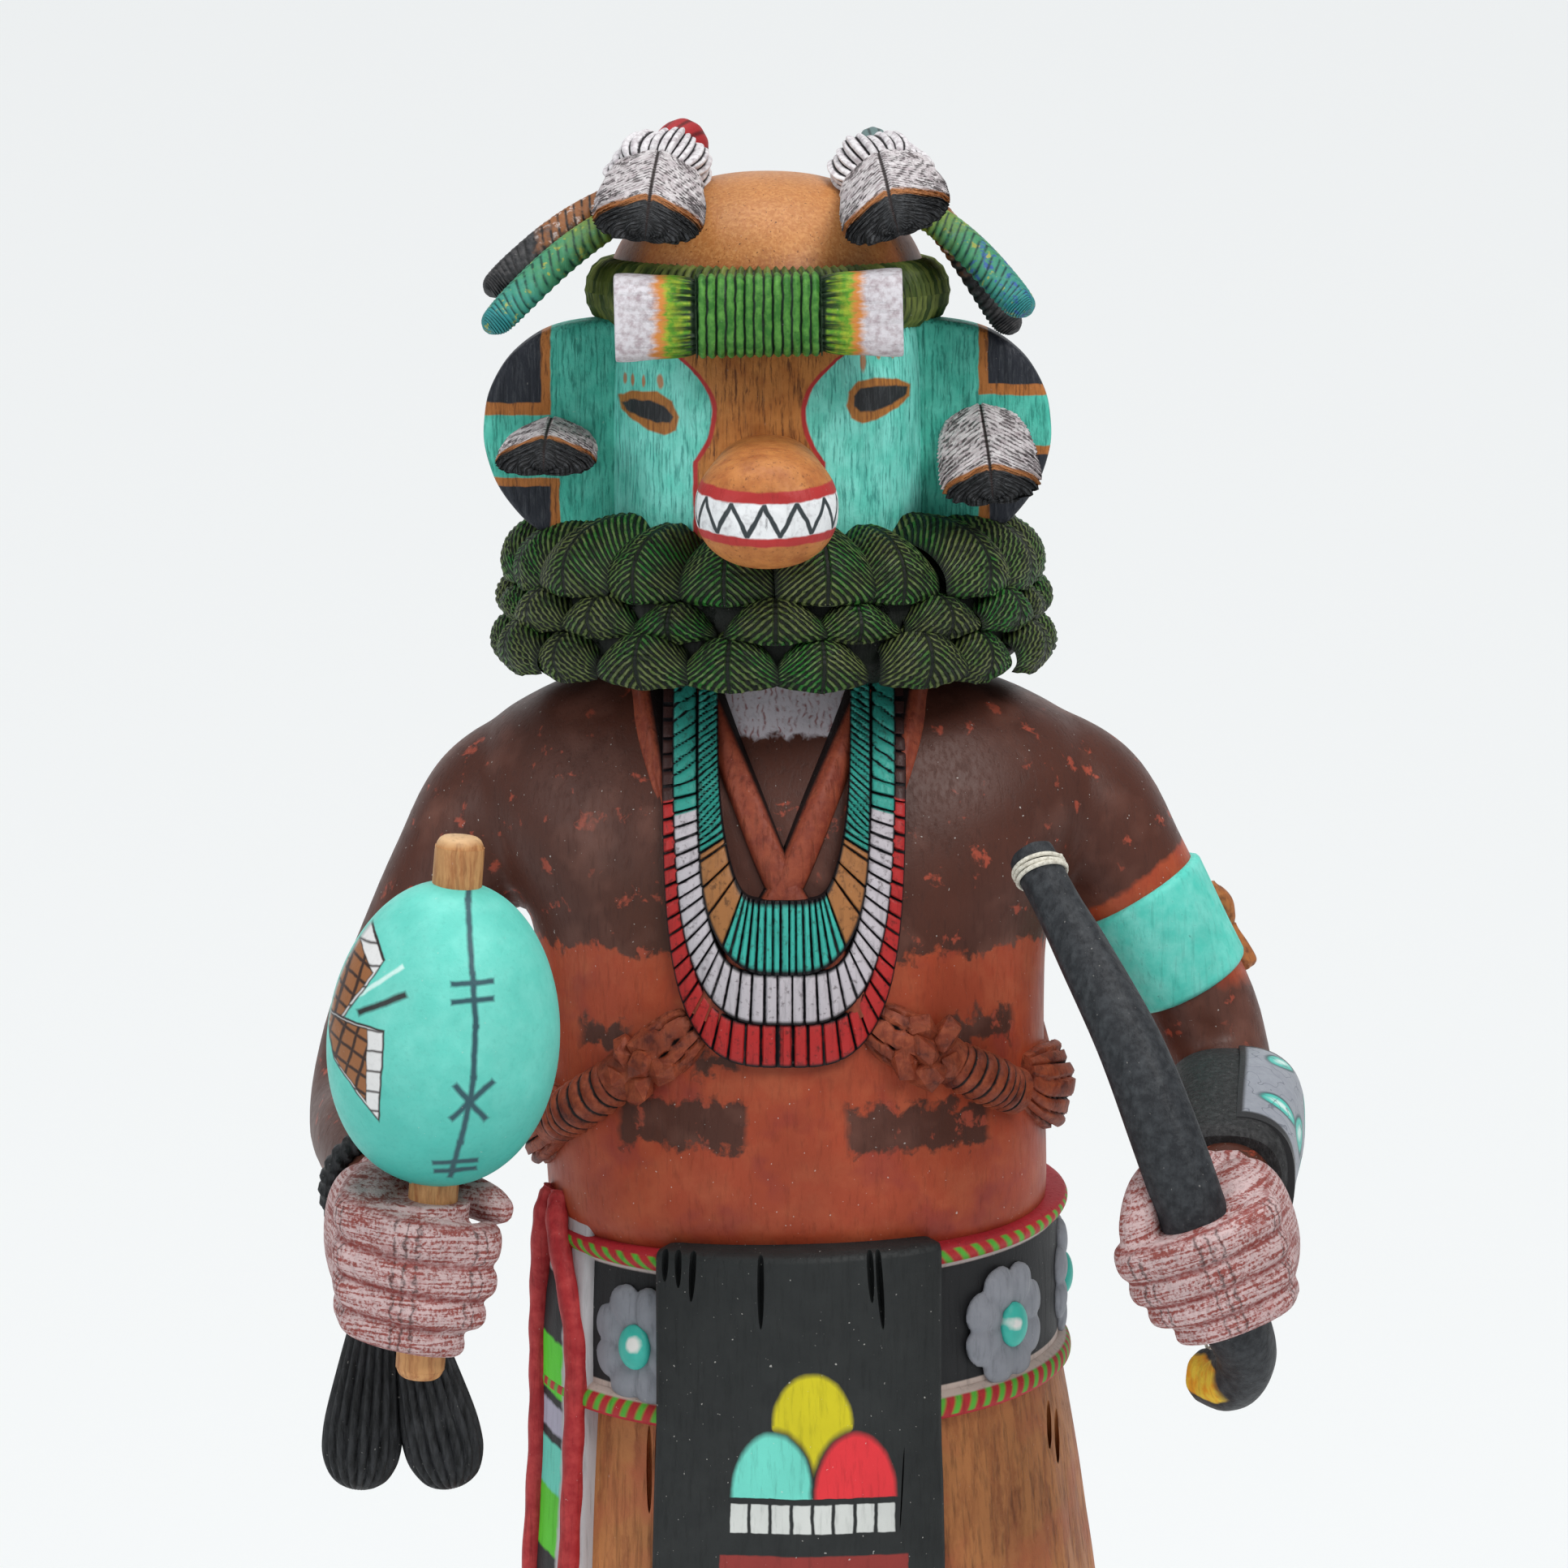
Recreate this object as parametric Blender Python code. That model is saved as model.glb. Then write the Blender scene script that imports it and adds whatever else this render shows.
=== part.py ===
"""A carved and painted wooden katsina doll on a low round base.

The figure is carved from one piece of root wood. Its ear tabs, muzzle, forehead bundle, feathers,
rattle, bow and wrist yarn are separate pieces, seated in it or held by it.
Metres, +Z up. The figure faces -Y. The origin is the centre of the base's underside.
"""

import math

import bmesh
import bpy
from mathutils import Vector

# Driving sizes, in metres
FIGURE_HEIGHT = 0.303
BASE_HEIGHT = 0.016
BASE_MARGIN = 0.015
BASE_EDGE = 0.0025
SEAT_GAP = 0.0003
HANDLE_RADIUS = 0.0033
HANDLE_STUB = 0.0060
GOURD_LENGTH = 0.0410
GOURD_WIDTH = 0.0308
GOURD_DEPTH = 0.0290
BOW_GRIP_RADIUS = 0.0047
BOW_TIP_RADIUS = 0.0032
BOW_END_RADIUS = 0.0024
THREAD_RADIUS = 0.0005
TAB_THICKNESS = 0.0085
EAR_FEATHER_LENGTH = 0.0210
EAR_FEATHER_WIDTH = 0.0132
EAGLE_FEATHER_LENGTH = 0.0310
EAGLE_FEATHER_WIDTH = 0.0146
SIDE_FEATHER_WIDTH = 0.0050
DOWN_RADIUS = 0.0080
TASSEL_LENGTH = 0.0350
TASSEL_RADIUS = 0.0053
YARN_RADIUS = 0.0015

# The figure is a free form, so its pose and carving are shares of its height
CARVED_UNITS = 303
UNIT = FIGURE_HEIGHT / CARVED_UNITS
SOLE = BASE_HEIGHT + SEAT_GAP

X_AXIS = Vector((1, 0, 0))
Y_AXIS = Vector((0, 1, 0))
Z_AXIS = Vector((0, 0, 1))

# Heights of the figure's main levels, in carving units above the sole
HEM = 70
BELT_LOW = 130.5
BELT_TOP = 155.0
RUFF_LOW = 234
RUFF_TOP = 258
MASK_LOW = 250
YARN_LEVEL = 286.5
CROWN = CARVED_UNITS

# Horizontal stations from the waist to the neck: height, centre x and y, half width, half depth
TORSO = [
    (126, 2.6, -2.5, 34.5, 27.0),
    (150, 2.2, -2.8, 34.6, 27.6),
    (160, 1.9, -3.0, 35.4, 28.4),
    (172, 1.5, -3.2, 35.6, 29.0),
    (186, 1.2, -3.2, 35.6, 28.8),
    (198, 0.9, -2.8, 36.6, 28.0),
    (208, 0.5, -2.2, 41.0, 27.0),
    (217, 0.2, -1.2, 44.0, 25.0),
    (225, 0.0, 0.0, 41.5, 22.0),
    (230, -0.2, 0.2, 34.0, 19.0),
    (234, -0.6, 0.0, 24.0, 16.5),
    (240, -1.0, -0.5, 17.5, 15.0),
    (254, -1.6, -1.5, 17.0, 16.0),
]
TORSO_POWER = 2.35
TORSO_SIDES = 24

# The ruff's ring and the mask's case and crown: centre x and y, half width, half depth
RUFF = (-1.4, -2.2, 37.2, 33.6)
MASK = (-2.3, -1.5, 22.8, 24.5)


def at(x, y, z):
    """A point in carving units: x and y from the base's centre, z above the sole."""
    return Vector((x * UNIT, y * UNIT, SOLE + z * UNIT))


def paint(name, colour, roughness, metallic=0.0):
    """A plain painted finish for one piece."""
    finish = bpy.data.materials.new(name)
    finish.use_nodes = True
    shader = finish.node_tree.nodes["Principled BSDF"]
    shader.inputs["Base Color"].default_value = (*colour, 1)
    shader.inputs["Roughness"].default_value = roughness
    shader.inputs["Metallic"].default_value = metallic
    finish.diffuse_color = (*colour, 1)
    return finish


def place(name, bm):
    """An object from a closed bmesh: faces point out and are triangles, so that every one is flat."""
    bmesh.ops.recalc_face_normals(bm, faces=bm.faces)
    bmesh.ops.triangulate(bm, faces=bm.faces)
    mesh = bpy.data.meshes.new(name)
    bm.to_mesh(mesh)
    bm.free()
    mesh.shade_smooth()
    mesh.set_sharp_from_angle(angle=math.radians(40))
    item = bpy.data.objects.new(name, mesh)
    bpy.context.scene.collection.objects.link(item)
    return item


def loft(name, rings):
    """A closed skin over rings of points, with a flat cap on the first and the last."""
    bm = bmesh.new()
    loops = [[bm.verts.new(point) for point in ring] for ring in rings]
    for low, high in zip(loops, loops[1:]):
        for i in range(len(low)):
            j = (i + 1) % len(low)
            bm.faces.new((low[i], low[j], high[j], high[i]))
    bm.faces.new(loops[0])
    bm.faces.new(loops[-1])
    return place(name, bm)


def oval(centre, across, over, half_width, half_height, sides, power=2.0):
    """A ring of points: an ellipse at power 2, squarer above it."""
    ring = []
    for i in range(sides):
        angle = 2 * math.pi * i / sides
        c = math.cos(angle)
        s = math.sin(angle)
        wide = half_width * math.copysign(abs(c) ** (2 / power), c)
        high = half_height * math.copysign(abs(s) ** (2 / power), s)
        ring.append(centre + across * wide + over * high)
    return ring


def level(z, x, y, half_width, half_depth, sides, power=2.0):
    """A horizontal oval, in carving units."""
    centre = at(x, y, z)
    return oval(centre, X_AXIS, Y_AXIS, half_width * UNIT, half_depth * UNIT, sides, power)


def eased(stations, count):
    """Stations read at even steps from a smooth curve through the given ones."""
    found = []
    last = len(stations) - 1
    for k in range(count):
        t = k * last / (count - 1)
        i = min(int(t), last - 1)
        f = t - i
        near = [stations[max(i - 1, 0)], stations[i], stations[i + 1], stations[min(i + 2, last)]]
        found.append([
            0.5 * (2 * b + (c - a) * f + (2 * a - 5 * b + 4 * c - d) * f ** 2
                   + (3 * b - a - 3 * c + d) * f ** 3)
            for a, b, c, d in zip(*near)
        ])
    return found


def between(stations, value):
    """The station at a value of the first column, read between its neighbours."""
    for low, high in zip(stations, stations[1:]):
        if value <= high[0]:
            share = max(0.0, (value - low[0]) / (high[0] - low[0]))
            return [a + (b - a) * share for a, b in zip(low, high)]
    return list(stations[-1])


def tube(name, path, sizes, sides, ups, power=2.0, grow=0.0):
    """A solid along a path. Sizes are half widths and half heights, and ups say which way is up."""
    rings = []
    last = len(path) - 1
    for i, point in enumerate(path):
        ahead = (path[min(i + 1, last)] - path[max(i - 1, 0)]).normalized()
        up = ups[i] if isinstance(ups, list) else ups
        across = ahead.cross(up).normalized()
        over = across.cross(ahead).normalized()
        wide, high = sizes[i]
        centre = point
        if i == 0:
            centre = point - ahead * grow
        elif i == last:
            centre = point + ahead * grow
        rings.append(oval(centre, across, over, wide + grow, high + grow, sides, power))
    return loft(name, rings)


def carved_tube(name, stations, count, sides, ups, power=2.0, extra=0.0):
    """A tube from stations in carving units: x, y, z, half width, half height."""
    rows = eased(stations, count)
    path = [at(*row[:3]) for row in rows]
    sizes = [((row[3] + extra) * UNIT, (row[4] + extra) * UNIT) for row in rows]
    return tube(name, path, sizes, sides, ups, power)


def chest(x, z, lift=0.0):
    """The point of the torso's front at x and z, raised by lift, all in carving units."""
    _, cx, cy, wide, deep = between(TORSO, z)
    share = min(0.999, abs(x - cx) / wide)
    return at(x, cy - (deep + lift) * (1 - share ** TORSO_POWER) ** (1 / TORSO_POWER), z)


def around(degrees, z, lift=0.0):
    """The point of the torso's side at an angle from the front, positive towards +X."""
    _, cx, cy, wide, deep = between(TORSO, z)
    s = math.sin(math.radians(degrees))
    c = math.cos(math.radians(degrees))
    x = cx + (wide + lift) * math.copysign(abs(s) ** (2 / TORSO_POWER), s)
    y = cy - (deep + lift) * math.copysign(abs(c) ** (2 / TORSO_POWER), c)
    return at(x, y, z)


def away(point):
    """The horizontal direction from the torso's axis to a point."""
    return Vector((point.x, point.y, 0)).normalized()


# Legs, moccasins and kilt
FOOT_HALF_LENGTH = 20
LEFT_FOOT = (18.5, -7)
RIGHT_FOOT = (-13, 0)


def leg(name, foot):
    x, y = foot
    stations = [
        (x, y + 2, 5, 8.2, 8.6),
        (x, y + 2, 17, 7.4, 7.8),
        (x, y + 2.5, 34, 9.6, 10.2),
        (x, y + 1.5, 48, 10.6, 11.0),
        (x * 0.95, y * 0.6 + 0.5, 64, 10.2, 10.6),
        (x * 0.90, y * 0.3, 84, 12.5, 13.0),
    ]
    return carved_tube(name, stations, 7, 10, Y_AXIS)


def moccasin(name, foot):
    """A soft shoe with a flat sole: each ring is a dome on a straight base line."""
    x, y = foot
    stations = [(12, 4.0, 7), (9, 6.6, 12), (2, 7.6, 14), (-6, 7.6, 12.5), (-15, 8.2, 9.5),
                (-22, 7.6, 7.5), (-26.5, 4.6, 5)]
    sides = 9
    rings = []
    for ahead, half_width, height in stations:
        ring = []
        for i in range(sides):
            angle = math.pi * i / (sides - 1)
            ring.append(at(x + half_width * math.cos(angle), y + ahead, height * math.sin(angle) ** 0.7))
        rings.append(ring)
    return loft(name, rings)


KILT = [(HEM, 5.4, -1.5, 41.2, 33.0), (102, 5.0, -2.0, 39.4, 31.8), (118, 4.2, -2.4, 37.9, 30.4),
        (BELT_LOW + 2, 3.2, -2.6, 36.0, 29.0)]
KILT_SIDES = 24
FOLD_DEPTH = 0.7
FOLDS = 12


def kilt():
    """A knee-length kilt with shallow hanging folds that fade towards the belt."""
    rings = []
    for z, x, y, wide, deep in KILT:
        fold = FOLD_DEPTH * (BELT_LOW + 2 - z) / (BELT_LOW - HEM)
        ring = []
        for i in range(KILT_SIDES):
            angle = 2 * math.pi * i / KILT_SIDES
            swell = fold * math.cos(FOLDS * angle)
            ring.append(at(x + (wide + swell) * math.cos(angle), y + (deep + swell) * math.sin(angle), z))
        rings.append(ring)
    return loft("kilt", rings)


# Belt with its rolled edges, flower plates, front flap and hip sash
BELT = (2.7, -2.6, 36.4, 30.0)
BELT_TILT = (0.03, 0.11)
BELT_PROFILE = [(0.0, 1.0), (1.4, 1.8), (3.0, 1.1), (3.6, 0.1), (21.2, -0.3), (22.2, 0.9), (23.6, 1.2),
                (24.5, 0.0)]
BELT_SIDES = 26
PLATE_ANGLES = [52, 95, 137, 179, 221, 321]
PLATE_LEVEL = BELT_LOW + 10.6
PLATE_RADIUS = 7.9
PLATE_RISE = 1.0
STONE_RADIUS = 2.5
STONE_RISE = 2.2
PETALS = 8
PETAL_NOTCH = 0.82
FLAP_FROM = -29.6
FLAP_TO = 28.4
SASH_FROM = -82
SASH_TO = -54


def belt_point(degrees, z, lift):
    """A point off the belt's oval, which is tilted: higher behind and on the figure's left."""
    x, y, wide, deep = BELT
    px = x + (wide + lift) * math.sin(math.radians(degrees))
    py = y - (deep + lift) * math.cos(math.radians(degrees))
    return at(px, py, z + BELT_TILT[0] * px + BELT_TILT[1] * (py - y + deep))


def belt():
    rings = [[belt_point(360 * i / BELT_SIDES, BELT_LOW + rise, out) for i in range(BELT_SIDES)]
             for rise, out in BELT_PROFILE]
    return loft("belt", rings)


def flower_plate(name, degrees):
    """An eight-petalled plate with a domed stone, square to the belt."""
    centre = belt_point(degrees, PLATE_LEVEL, 0)
    out = (belt_point(degrees, PLATE_LEVEL, 1) - centre).normalized()
    across = out.cross(Z_AXIS).normalized()
    rings = []
    for rise in (-3.0, PLATE_RISE):
        ring = []
        for i in range(2 * PETALS):
            reach = PLATE_RADIUS * (1.0 if i % 2 else PETAL_NOTCH) * UNIT
            angle = math.pi * (i + 0.5) / PETALS
            bend = -reach * reach * math.cos(angle) ** 2 / (2 * BELT[3] * UNIT)
            ring.append(centre + out * (rise * UNIT + bend)
                        + across * reach * math.cos(angle) + Z_AXIS * reach * math.sin(angle))
        rings.append(ring)
    plate = loft(name, rings)
    stone = [oval(centre + out * rise * UNIT, across, Z_AXIS, r * UNIT, r * UNIT, 8)
             for rise, r in ((0, STONE_RADIUS), (STONE_RISE, STONE_RADIUS * 0.7))]
    return [plate, loft(name + "_stone", stone)]


def hanging_panel(name, stations, start, stop, columns, thickness):
    """A panel that hangs round the hips: stations give height and lift off the belt's oval."""
    rings = []
    for z, lift in stations:
        ring = []
        for layer, order in ((thickness, 1), (-4.5, -1)):
            row = []
            for i in range(columns):
                degrees = start + (stop - start) * i / (columns - 1)
                row.append(belt_point(degrees, z, lift + layer))
            ring += row[::order]
        rings.append(ring)
    return loft(name, rings)


def front_flap():
    """The black cloth panel that passes over the belt and hangs to the hem."""
    stations = [(HEM + 3, 4.4), (100, 3.4), (122, 2.4), (BELT_LOW, 1.6),
                (BELT_TOP - 1.2, 1.6), (BELT_TOP + 1.3, 0.2)]
    return hanging_panel("front_flap", stations, FLAP_FROM, FLAP_TO, 7, 1.6)


SASH_LINE = [(HEM - 14, 4.4), (HEM + 6, 3.6), (102, 2.2), (124, 1.0), (BELT_LOW + 10, 0.8),
             (BELT_TOP + 2, -0.6)]


def hip_sash():
    """The broad sash on the figure's right hip, with its two corded edges that meet at the top."""
    panel = hanging_panel("sash", SASH_LINE, SASH_FROM, SASH_TO, 5, 0.9)
    cords = []
    for number, (low, high) in enumerate(((-77, -72), (-57, -67))):
        path = []
        for z, lift in [(HEM - 16, 4.6)] + SASH_LINE[1:-1] + [(BELT_TOP, 0.8), (BELT_TOP + 4.5, -0.6)]:
            share = max(0.0, (z - BELT_LOW - 10) / (BELT_TOP - BELT_LOW - 5.5))
            path.append(belt_point(low + (high - low) * share, z, lift + 1.0))
        cords.append(tube(f"sash_cord_{number}", path, [(1.7 * UNIT, 1.5 * UNIT)] * len(path), 6, X_AXIS))
    return [panel] + cords


# Neck ruff: three stepped rows of fir leaves round one collar, each row half a leaf on from the last
LEAVES = 18
LEAF_COLUMNS = 4
LEAF_SHARES = (0.0, 0.3, 1.0, 0.3)
RUFF_RINGS = [
    # Height and share of the ring along a leaf's ridge, then between two leaves
    (RUFF_TOP, 0.60, RUFF_TOP, 0.60),
    (255.4, 0.88, 254.8, 0.84),
    (250.6, 1.00, 250.8, 0.93),
    (245.0, 1.03, 248.8, 0.94),
    (245.8, 0.96, 248.6, 0.92),
]
RUFF_ROW_DROPS = [
    # Drop of each row below the first, and what it adds to the first row's shares
    (0.0, 0.0),
    (6.0, -0.005),
    (11.8, -0.06),
]


def ruff():
    """A collar whose rows end in ridged leaf tips, drawn up between the leaves."""
    x, y, wide, deep = RUFF
    columns = LEAF_COLUMNS * LEAVES
    angles = [2 * math.pi * i / columns for i in range(columns)]
    rings = []
    for row, (drop, more) in enumerate(RUFF_ROW_DROPS):
        for ridge_z, ridge_r, notch_z, notch_r in RUFF_RINGS[2 * min(row, 1):]:
            ring = []
            for i, angle in enumerate(angles):
                share = LEAF_SHARES[(i + row * LEAF_COLUMNS // 2) % LEAF_COLUMNS]
                z = ridge_z + (notch_z - ridge_z) * share - drop
                r = ridge_r + (notch_r - ridge_r) * share + more
                ring.append(at(x + wide * r * math.cos(angle), y + deep * r * math.sin(angle), z))
            rings.append(ring)
    rings.append([at(x + wide * 0.5 * math.cos(angle), y + deep * 0.5 * math.sin(angle), RUFF_LOW)
                  for angle in angles])
    return loft("ruff", rings)


# Mask: case, crown and the ring of green yarn between them
def mask_case():
    x, y, wide, deep = MASK
    profile = [(MASK_LOW, 0.97), (MASK_LOW + 6, 1.0), (270, 1.0), (283, 0.97), (288, 0.86)]
    return loft("mask_case", [level(z, x, y, wide * r, deep * r, 24, 2.3) for z, r in profile])


def crown():
    x, y, wide, deep = MASK
    start = YARN_LEVEL - 2
    rings = []
    for step in (0.0, 0.22, 0.42, 0.6, 0.76, 0.9):
        angle = step * math.pi / 2
        share = math.cos(angle) ** 0.85
        z = start + (CROWN - start) * math.sin(angle) / math.sin(0.9 * math.pi / 2)
        rings.append(level(z, x, y, wide * share, deep * 0.97 * share, 20))
    return loft("crown", rings)


def yarn_ring():
    x, y, wide, deep = MASK
    around_ring = 26
    around_tube = 6
    bm = bmesh.new()
    loops = []
    for i in range(around_ring):
        angle = 2 * math.pi * i / around_ring
        loop = []
        for k in range(around_tube):
            turn = 2 * math.pi * k / around_tube
            reach = 3.2 * math.cos(turn) - 0.7
            point = at(x + (wide + reach) * math.cos(angle), y + (deep + reach) * math.sin(angle),
                       YARN_LEVEL + 4.4 * math.sin(turn))
            loop.append(bm.verts.new(point))
        loops.append(loop)
    for a, b in zip(loops, loops[1:] + loops[:1]):
        for k in range(around_tube):
            m = (k + 1) % around_tube
            bm.faces.new((a[k], a[m], b[m], b[k]))
    return place("yarn_ring", bm)


# Necklaces: three flat strands, each a U on the chest
NECK_TOP = 236
STRANDS = [
    # Half width, outer and inner edge at the bottom, half widths of the strand at the top
    ("outer", 15.0, 183.6, 188.8, 1.0, 1.7),
    ("middle", 12.9, 188.4, 196.0, 1.8, 2.3),
    ("inner", 10.2, 195.6, 206.2, 1.5, 2.9),
]
STRAND_POWER = 3.0


def strand(name, half_width, low, high, half_top, lift):
    """One strand: a flat band that widens towards the bottom of its U."""
    count = 13
    middle_low = (low + high) / 2
    half_low = (high - low) / 2
    rings = []
    for i in range(count):
        angle = math.pi * (i / (count - 1) - 0.5)
        s = math.sin(angle)
        c = max(math.cos(angle), 0.0)
        x = half_width * math.copysign(abs(s) ** (2 / STRAND_POWER), s)
        z = NECK_TOP - (NECK_TOP - middle_low) * c ** (2 / STRAND_POWER)
        half = half_top + (half_low - half_top) * c ** 2
        side = math.copysign(abs(s) ** 1.5, s)
        fall = c ** 0.8
        inner = chest(x - side * half, z + fall * half, lift)
        outer = chest(x + side * half, z - fall * half, lift)
        behind_in = chest(x - side * half, z + fall * half, -4.0)
        behind_out = chest(x + side * half, z - fall * half, -4.0)
        rings.append([inner, outer, behind_out, behind_in])
    return loft(f"strand_{name}", rings)


# Crossed shoulder straps, with a tied hank on each side of the chest
STRAP_CROSSING = 206
STRAP_SINK = 1.2


def front_strap(name, side, sag):
    """The strap from one side of the neck, across the breastbone, to the other side's hank."""
    stations = [
        (-10.5, 232, 2.2, 1.6), (-5.0, 218, 2.2, 1.7), (0, STRAP_CROSSING, 2.2, 1.8), (7, 195, 2.6, 1.6),
        (12, 188, 3.8, 2.0), (16, 185, 4.4, 2.2), (19.0, 184, 5.0, 4.2), (21.6, 182.5, 3.8, 3.0),
        (24.0, 181, 4.3, 3.8), (28.0, 178.6, 4.2, 3.8), (30.5, 177.0, 3.9, 3.0),
    ]
    rows = eased(stations, 13)
    path = [chest(side * row[0], row[1] - sag * (row[0] / 30) ** 2, -STRAP_SINK) for row in rows]
    sizes = [(row[2] * UNIT, (row[3] + STRAP_SINK) * UNIT) for row in rows]
    return tube(name, path, sizes, 7, [away(point) for point in path], 2.6)


def hank_tuft(name, side, sag):
    """The cut ends of the tied hank, spread over the ribs."""
    path = [around(side * degrees, z - sag)
            for degrees, z in ((64, 177.8), (71, 176.6), (79, 175.4), (87, 174.6))]
    sizes = [(3.4, 2.6), (4.8, 3.4), (6.0, 4.0), (5.8, 3.6)]
    sizes = [(a * UNIT, b * UNIT) for a, b in sizes]
    return tube(name, path, sizes, 9, [away(point) for point in path], 2.4)


def back_strap(name, side):
    """The same strap behind: from under the arm up to the opposite shoulder."""
    rows = eased([(84, 176), (120, 186), (155, 200), (190, 214), (212, 229)], 8)
    path = [around(side * degrees, z, -STRAP_SINK) for degrees, z in rows]
    sizes = [(3.0 * UNIT, (1.6 + 0.3 * side + STRAP_SINK) * UNIT)] * len(path)
    return tube(name, path, sizes, 5, [away(point) for point in path], 2.2)


# Arms: stations from the shoulder to the wrist
LEFT_ARM = [
    (32, 1, 217, 12.6, 12.0), (41.2, 1, 212.8, 12.9, 11.6),
    (48.2, 0.5, 204, 11.0, 9.6), (54.2, 0.5, 194, 9.8, 8.5),
    (59.6, 1, 184, 9.0, 7.9), (62.0, 0, 175.5, 8.6, 7.6), (62.4, -9, 171.5, 8.2, 7.7),
    (62.0, -22, 171.5, 8.0, 7.8), (60.8, -36, 169.0, 7.0, 6.8), (59.8, -48, 165.5, 6.4, 6.2),
]
RIGHT_ARM = [
    (-32.4, 1, 216.5, 12.6, 12.0), (-40, 1, 212.3, 12.9, 11.6),
    (-46.6, 1, 203.4, 11.0, 9.6), (-52.2, 1.5, 193, 9.8, 8.5),
    (-57.2, 2, 182, 9.0, 7.9), (-59.6, 1, 173.5, 8.6, 7.6), (-59.4, -8, 169.5, 8.2, 7.7),
    (-57.6, -22, 169.5, 8.0, 7.7), (-55.4, -36, 168.0, 7.0, 6.8), (-53.2, -48, 165.5, 6.4, 6.2),
]
ARM_STEPS = 12
BAND_TIE = [(60.6, 4.0, 201.2, 1.4, 1.6), (62.2, 4.4, 197.2, 1.9, 2.0), (63.4, 4.4, 195.0, 1.2, 1.4),
            (65.2, 4.2, 189.6, 2.3, 2.2)]


def arm_band(name, first, last, extra, sides=11):
    """A band round the left arm between two of its evenly read stations."""
    rows = eased(LEFT_ARM, 2 * ARM_STEPS)[first:last]
    path = [at(*row[:3]) for row in rows]
    sizes = [((row[3] + extra) * UNIT, (row[4] + extra) * UNIT) for row in rows]
    return tube(name, path, sizes, sides, X_AXIS)


# Bow and rattle handle: their lines decide where the fists close
BOW = [
    (33.4, -40.0, 212.6), (36.8, -45.6, 206.6), (40.3, -50.0, 200.3), (46.2, -56.4, 189.0),
    (51.0, -60.4, 177.0), (55.4, -61.6, 164.8), (59.6, -60.0, 154.0), (62.4, -55.0, 146.4),
    (61.6, -47.0, 141.6), (58.4, -39.6, 140.4),
]
# Share of the way from the tip's radius to the grip's, and from the tip's to the lower end's when below 0
BOW_SPREAD = [0.0, 0.0, 0.35, 0.8, 1.0, 1.0, 1.0, 0.8, -0.6, -1.0]
BOW_RINGS = 13
STRING_SIDES = (Vector((0, 1, 0)), Vector((-0.5, 0, 1)))
STRING_INSET = 3.0
COIL_SIDES = 10
BOW_GRIP = 5
HANDLE_LOW = (-48.2, -61.0, 151.0)
GOURD_LOW = (-46.9, -61.6, 171.6)
HANDLE_LEAN = (at(-42.2, -63.4, 218.4) - at(-48.9, -60.6, 146.0)).normalized()
FINGER_SHARE = 0.53
FINGER_START = -42
FINGER_STOPS = (196, 194, 184, 172)
FINGER_STEPS = 6
LEFT_THUMB = [(60, -47, 168.5, 4.0, 4.0), (54, -53, 171.0, 3.6, 3.6), (48.4, -58.5, 169.4, 3.0, 3.0),
              (47.2, -62.5, 163.8, 2.5, 2.5)]
RIGHT_THUMB = [(-54, -47, 168.0, 4.0, 3.8), (-47, -52.5, 169.0, 3.2, 3.0), (-41.5, -55.5, 169.4, 2.8, 2.6),
               (-37.6, -58.0, 168.8, 2.2, 2.1)]


def fist(name, middle, axis, reach, wrist, side, pitch, thumb):
    """A closed hand round a rod: four curled fingers, a thumb, the palm and the back of the hand.

    Reach is the fingers' half width and half depth, measured to their centre lines.
    """
    out = (X_AXIS * side - axis * axis.dot(X_AXIS * side)).normalized()
    front = axis.cross(out).normalized()
    if front.y > 0:
        front = -front
    wide, deep = (share * UNIT for share in reach)
    finger = FINGER_SHARE * pitch * UNIT
    pieces = []
    for k in range(4):
        stop = FINGER_STOPS[k]
        path = []
        for step in range(FINGER_STEPS):
            degrees = FINGER_START + (stop - FINGER_START) * step / (FINGER_STEPS - 1)
            turn = math.radians(degrees)
            sink = (0.17 * math.sin(turn) + 0.07 * degrees / 180) * pitch * UNIT
            path.append(middle + axis * ((1.5 - k) * pitch * UNIT - sink)
                        + out * wide * math.cos(turn) + front * deep * math.sin(turn))
        sizes = [(finger, finger)] * (FINGER_STEPS - 1) + [(finger * 0.72, finger * 0.72)]
        pieces.append(tube(f"{name}_finger_{k}", path, sizes, 6, axis))
    half_palm = 2.0 * pitch * UNIT
    palm = [oval(middle + axis * rise, out, front, wide, deep, 10) for rise in (-half_palm, half_palm)]
    pieces.append(loft(f"{name}_palm", palm))
    knuckles = middle + out * 0.72 * wide - front * 0.2 * deep
    heel = knuckles * 0.45 + wrist * 0.55 + out * 0.8 * UNIT
    back = [wrist, heel, knuckles + front * 2.4 * UNIT]
    sizes = [(6.2 * UNIT, 6.4 * UNIT), (6.6 * UNIT, 1.9 * pitch * UNIT), (3.6 * UNIT, 1.8 * pitch * UNIT)]
    pieces.append(tube(f"{name}_back", back, sizes, 10, axis, 2.4))
    pieces.append(carved_tube(f"{name}_thumb", thumb, 5, 7, X_AXIS))
    return pieces


def bow_line():
    """The stave's centre line and its radius at each ring."""
    rows = eased([list(point) + [spread] for point, spread in zip(BOW, BOW_SPREAD)], BOW_RINGS)
    radii = []
    for row in rows:
        share = row[3]
        reach = BOW_GRIP_RADIUS - BOW_TIP_RADIUS if share > 0 else BOW_TIP_RADIUS - BOW_END_RADIUS
        radii.append(BOW_TIP_RADIUS + reach * share)
    return [at(*row[:3]) for row in rows], radii


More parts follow.
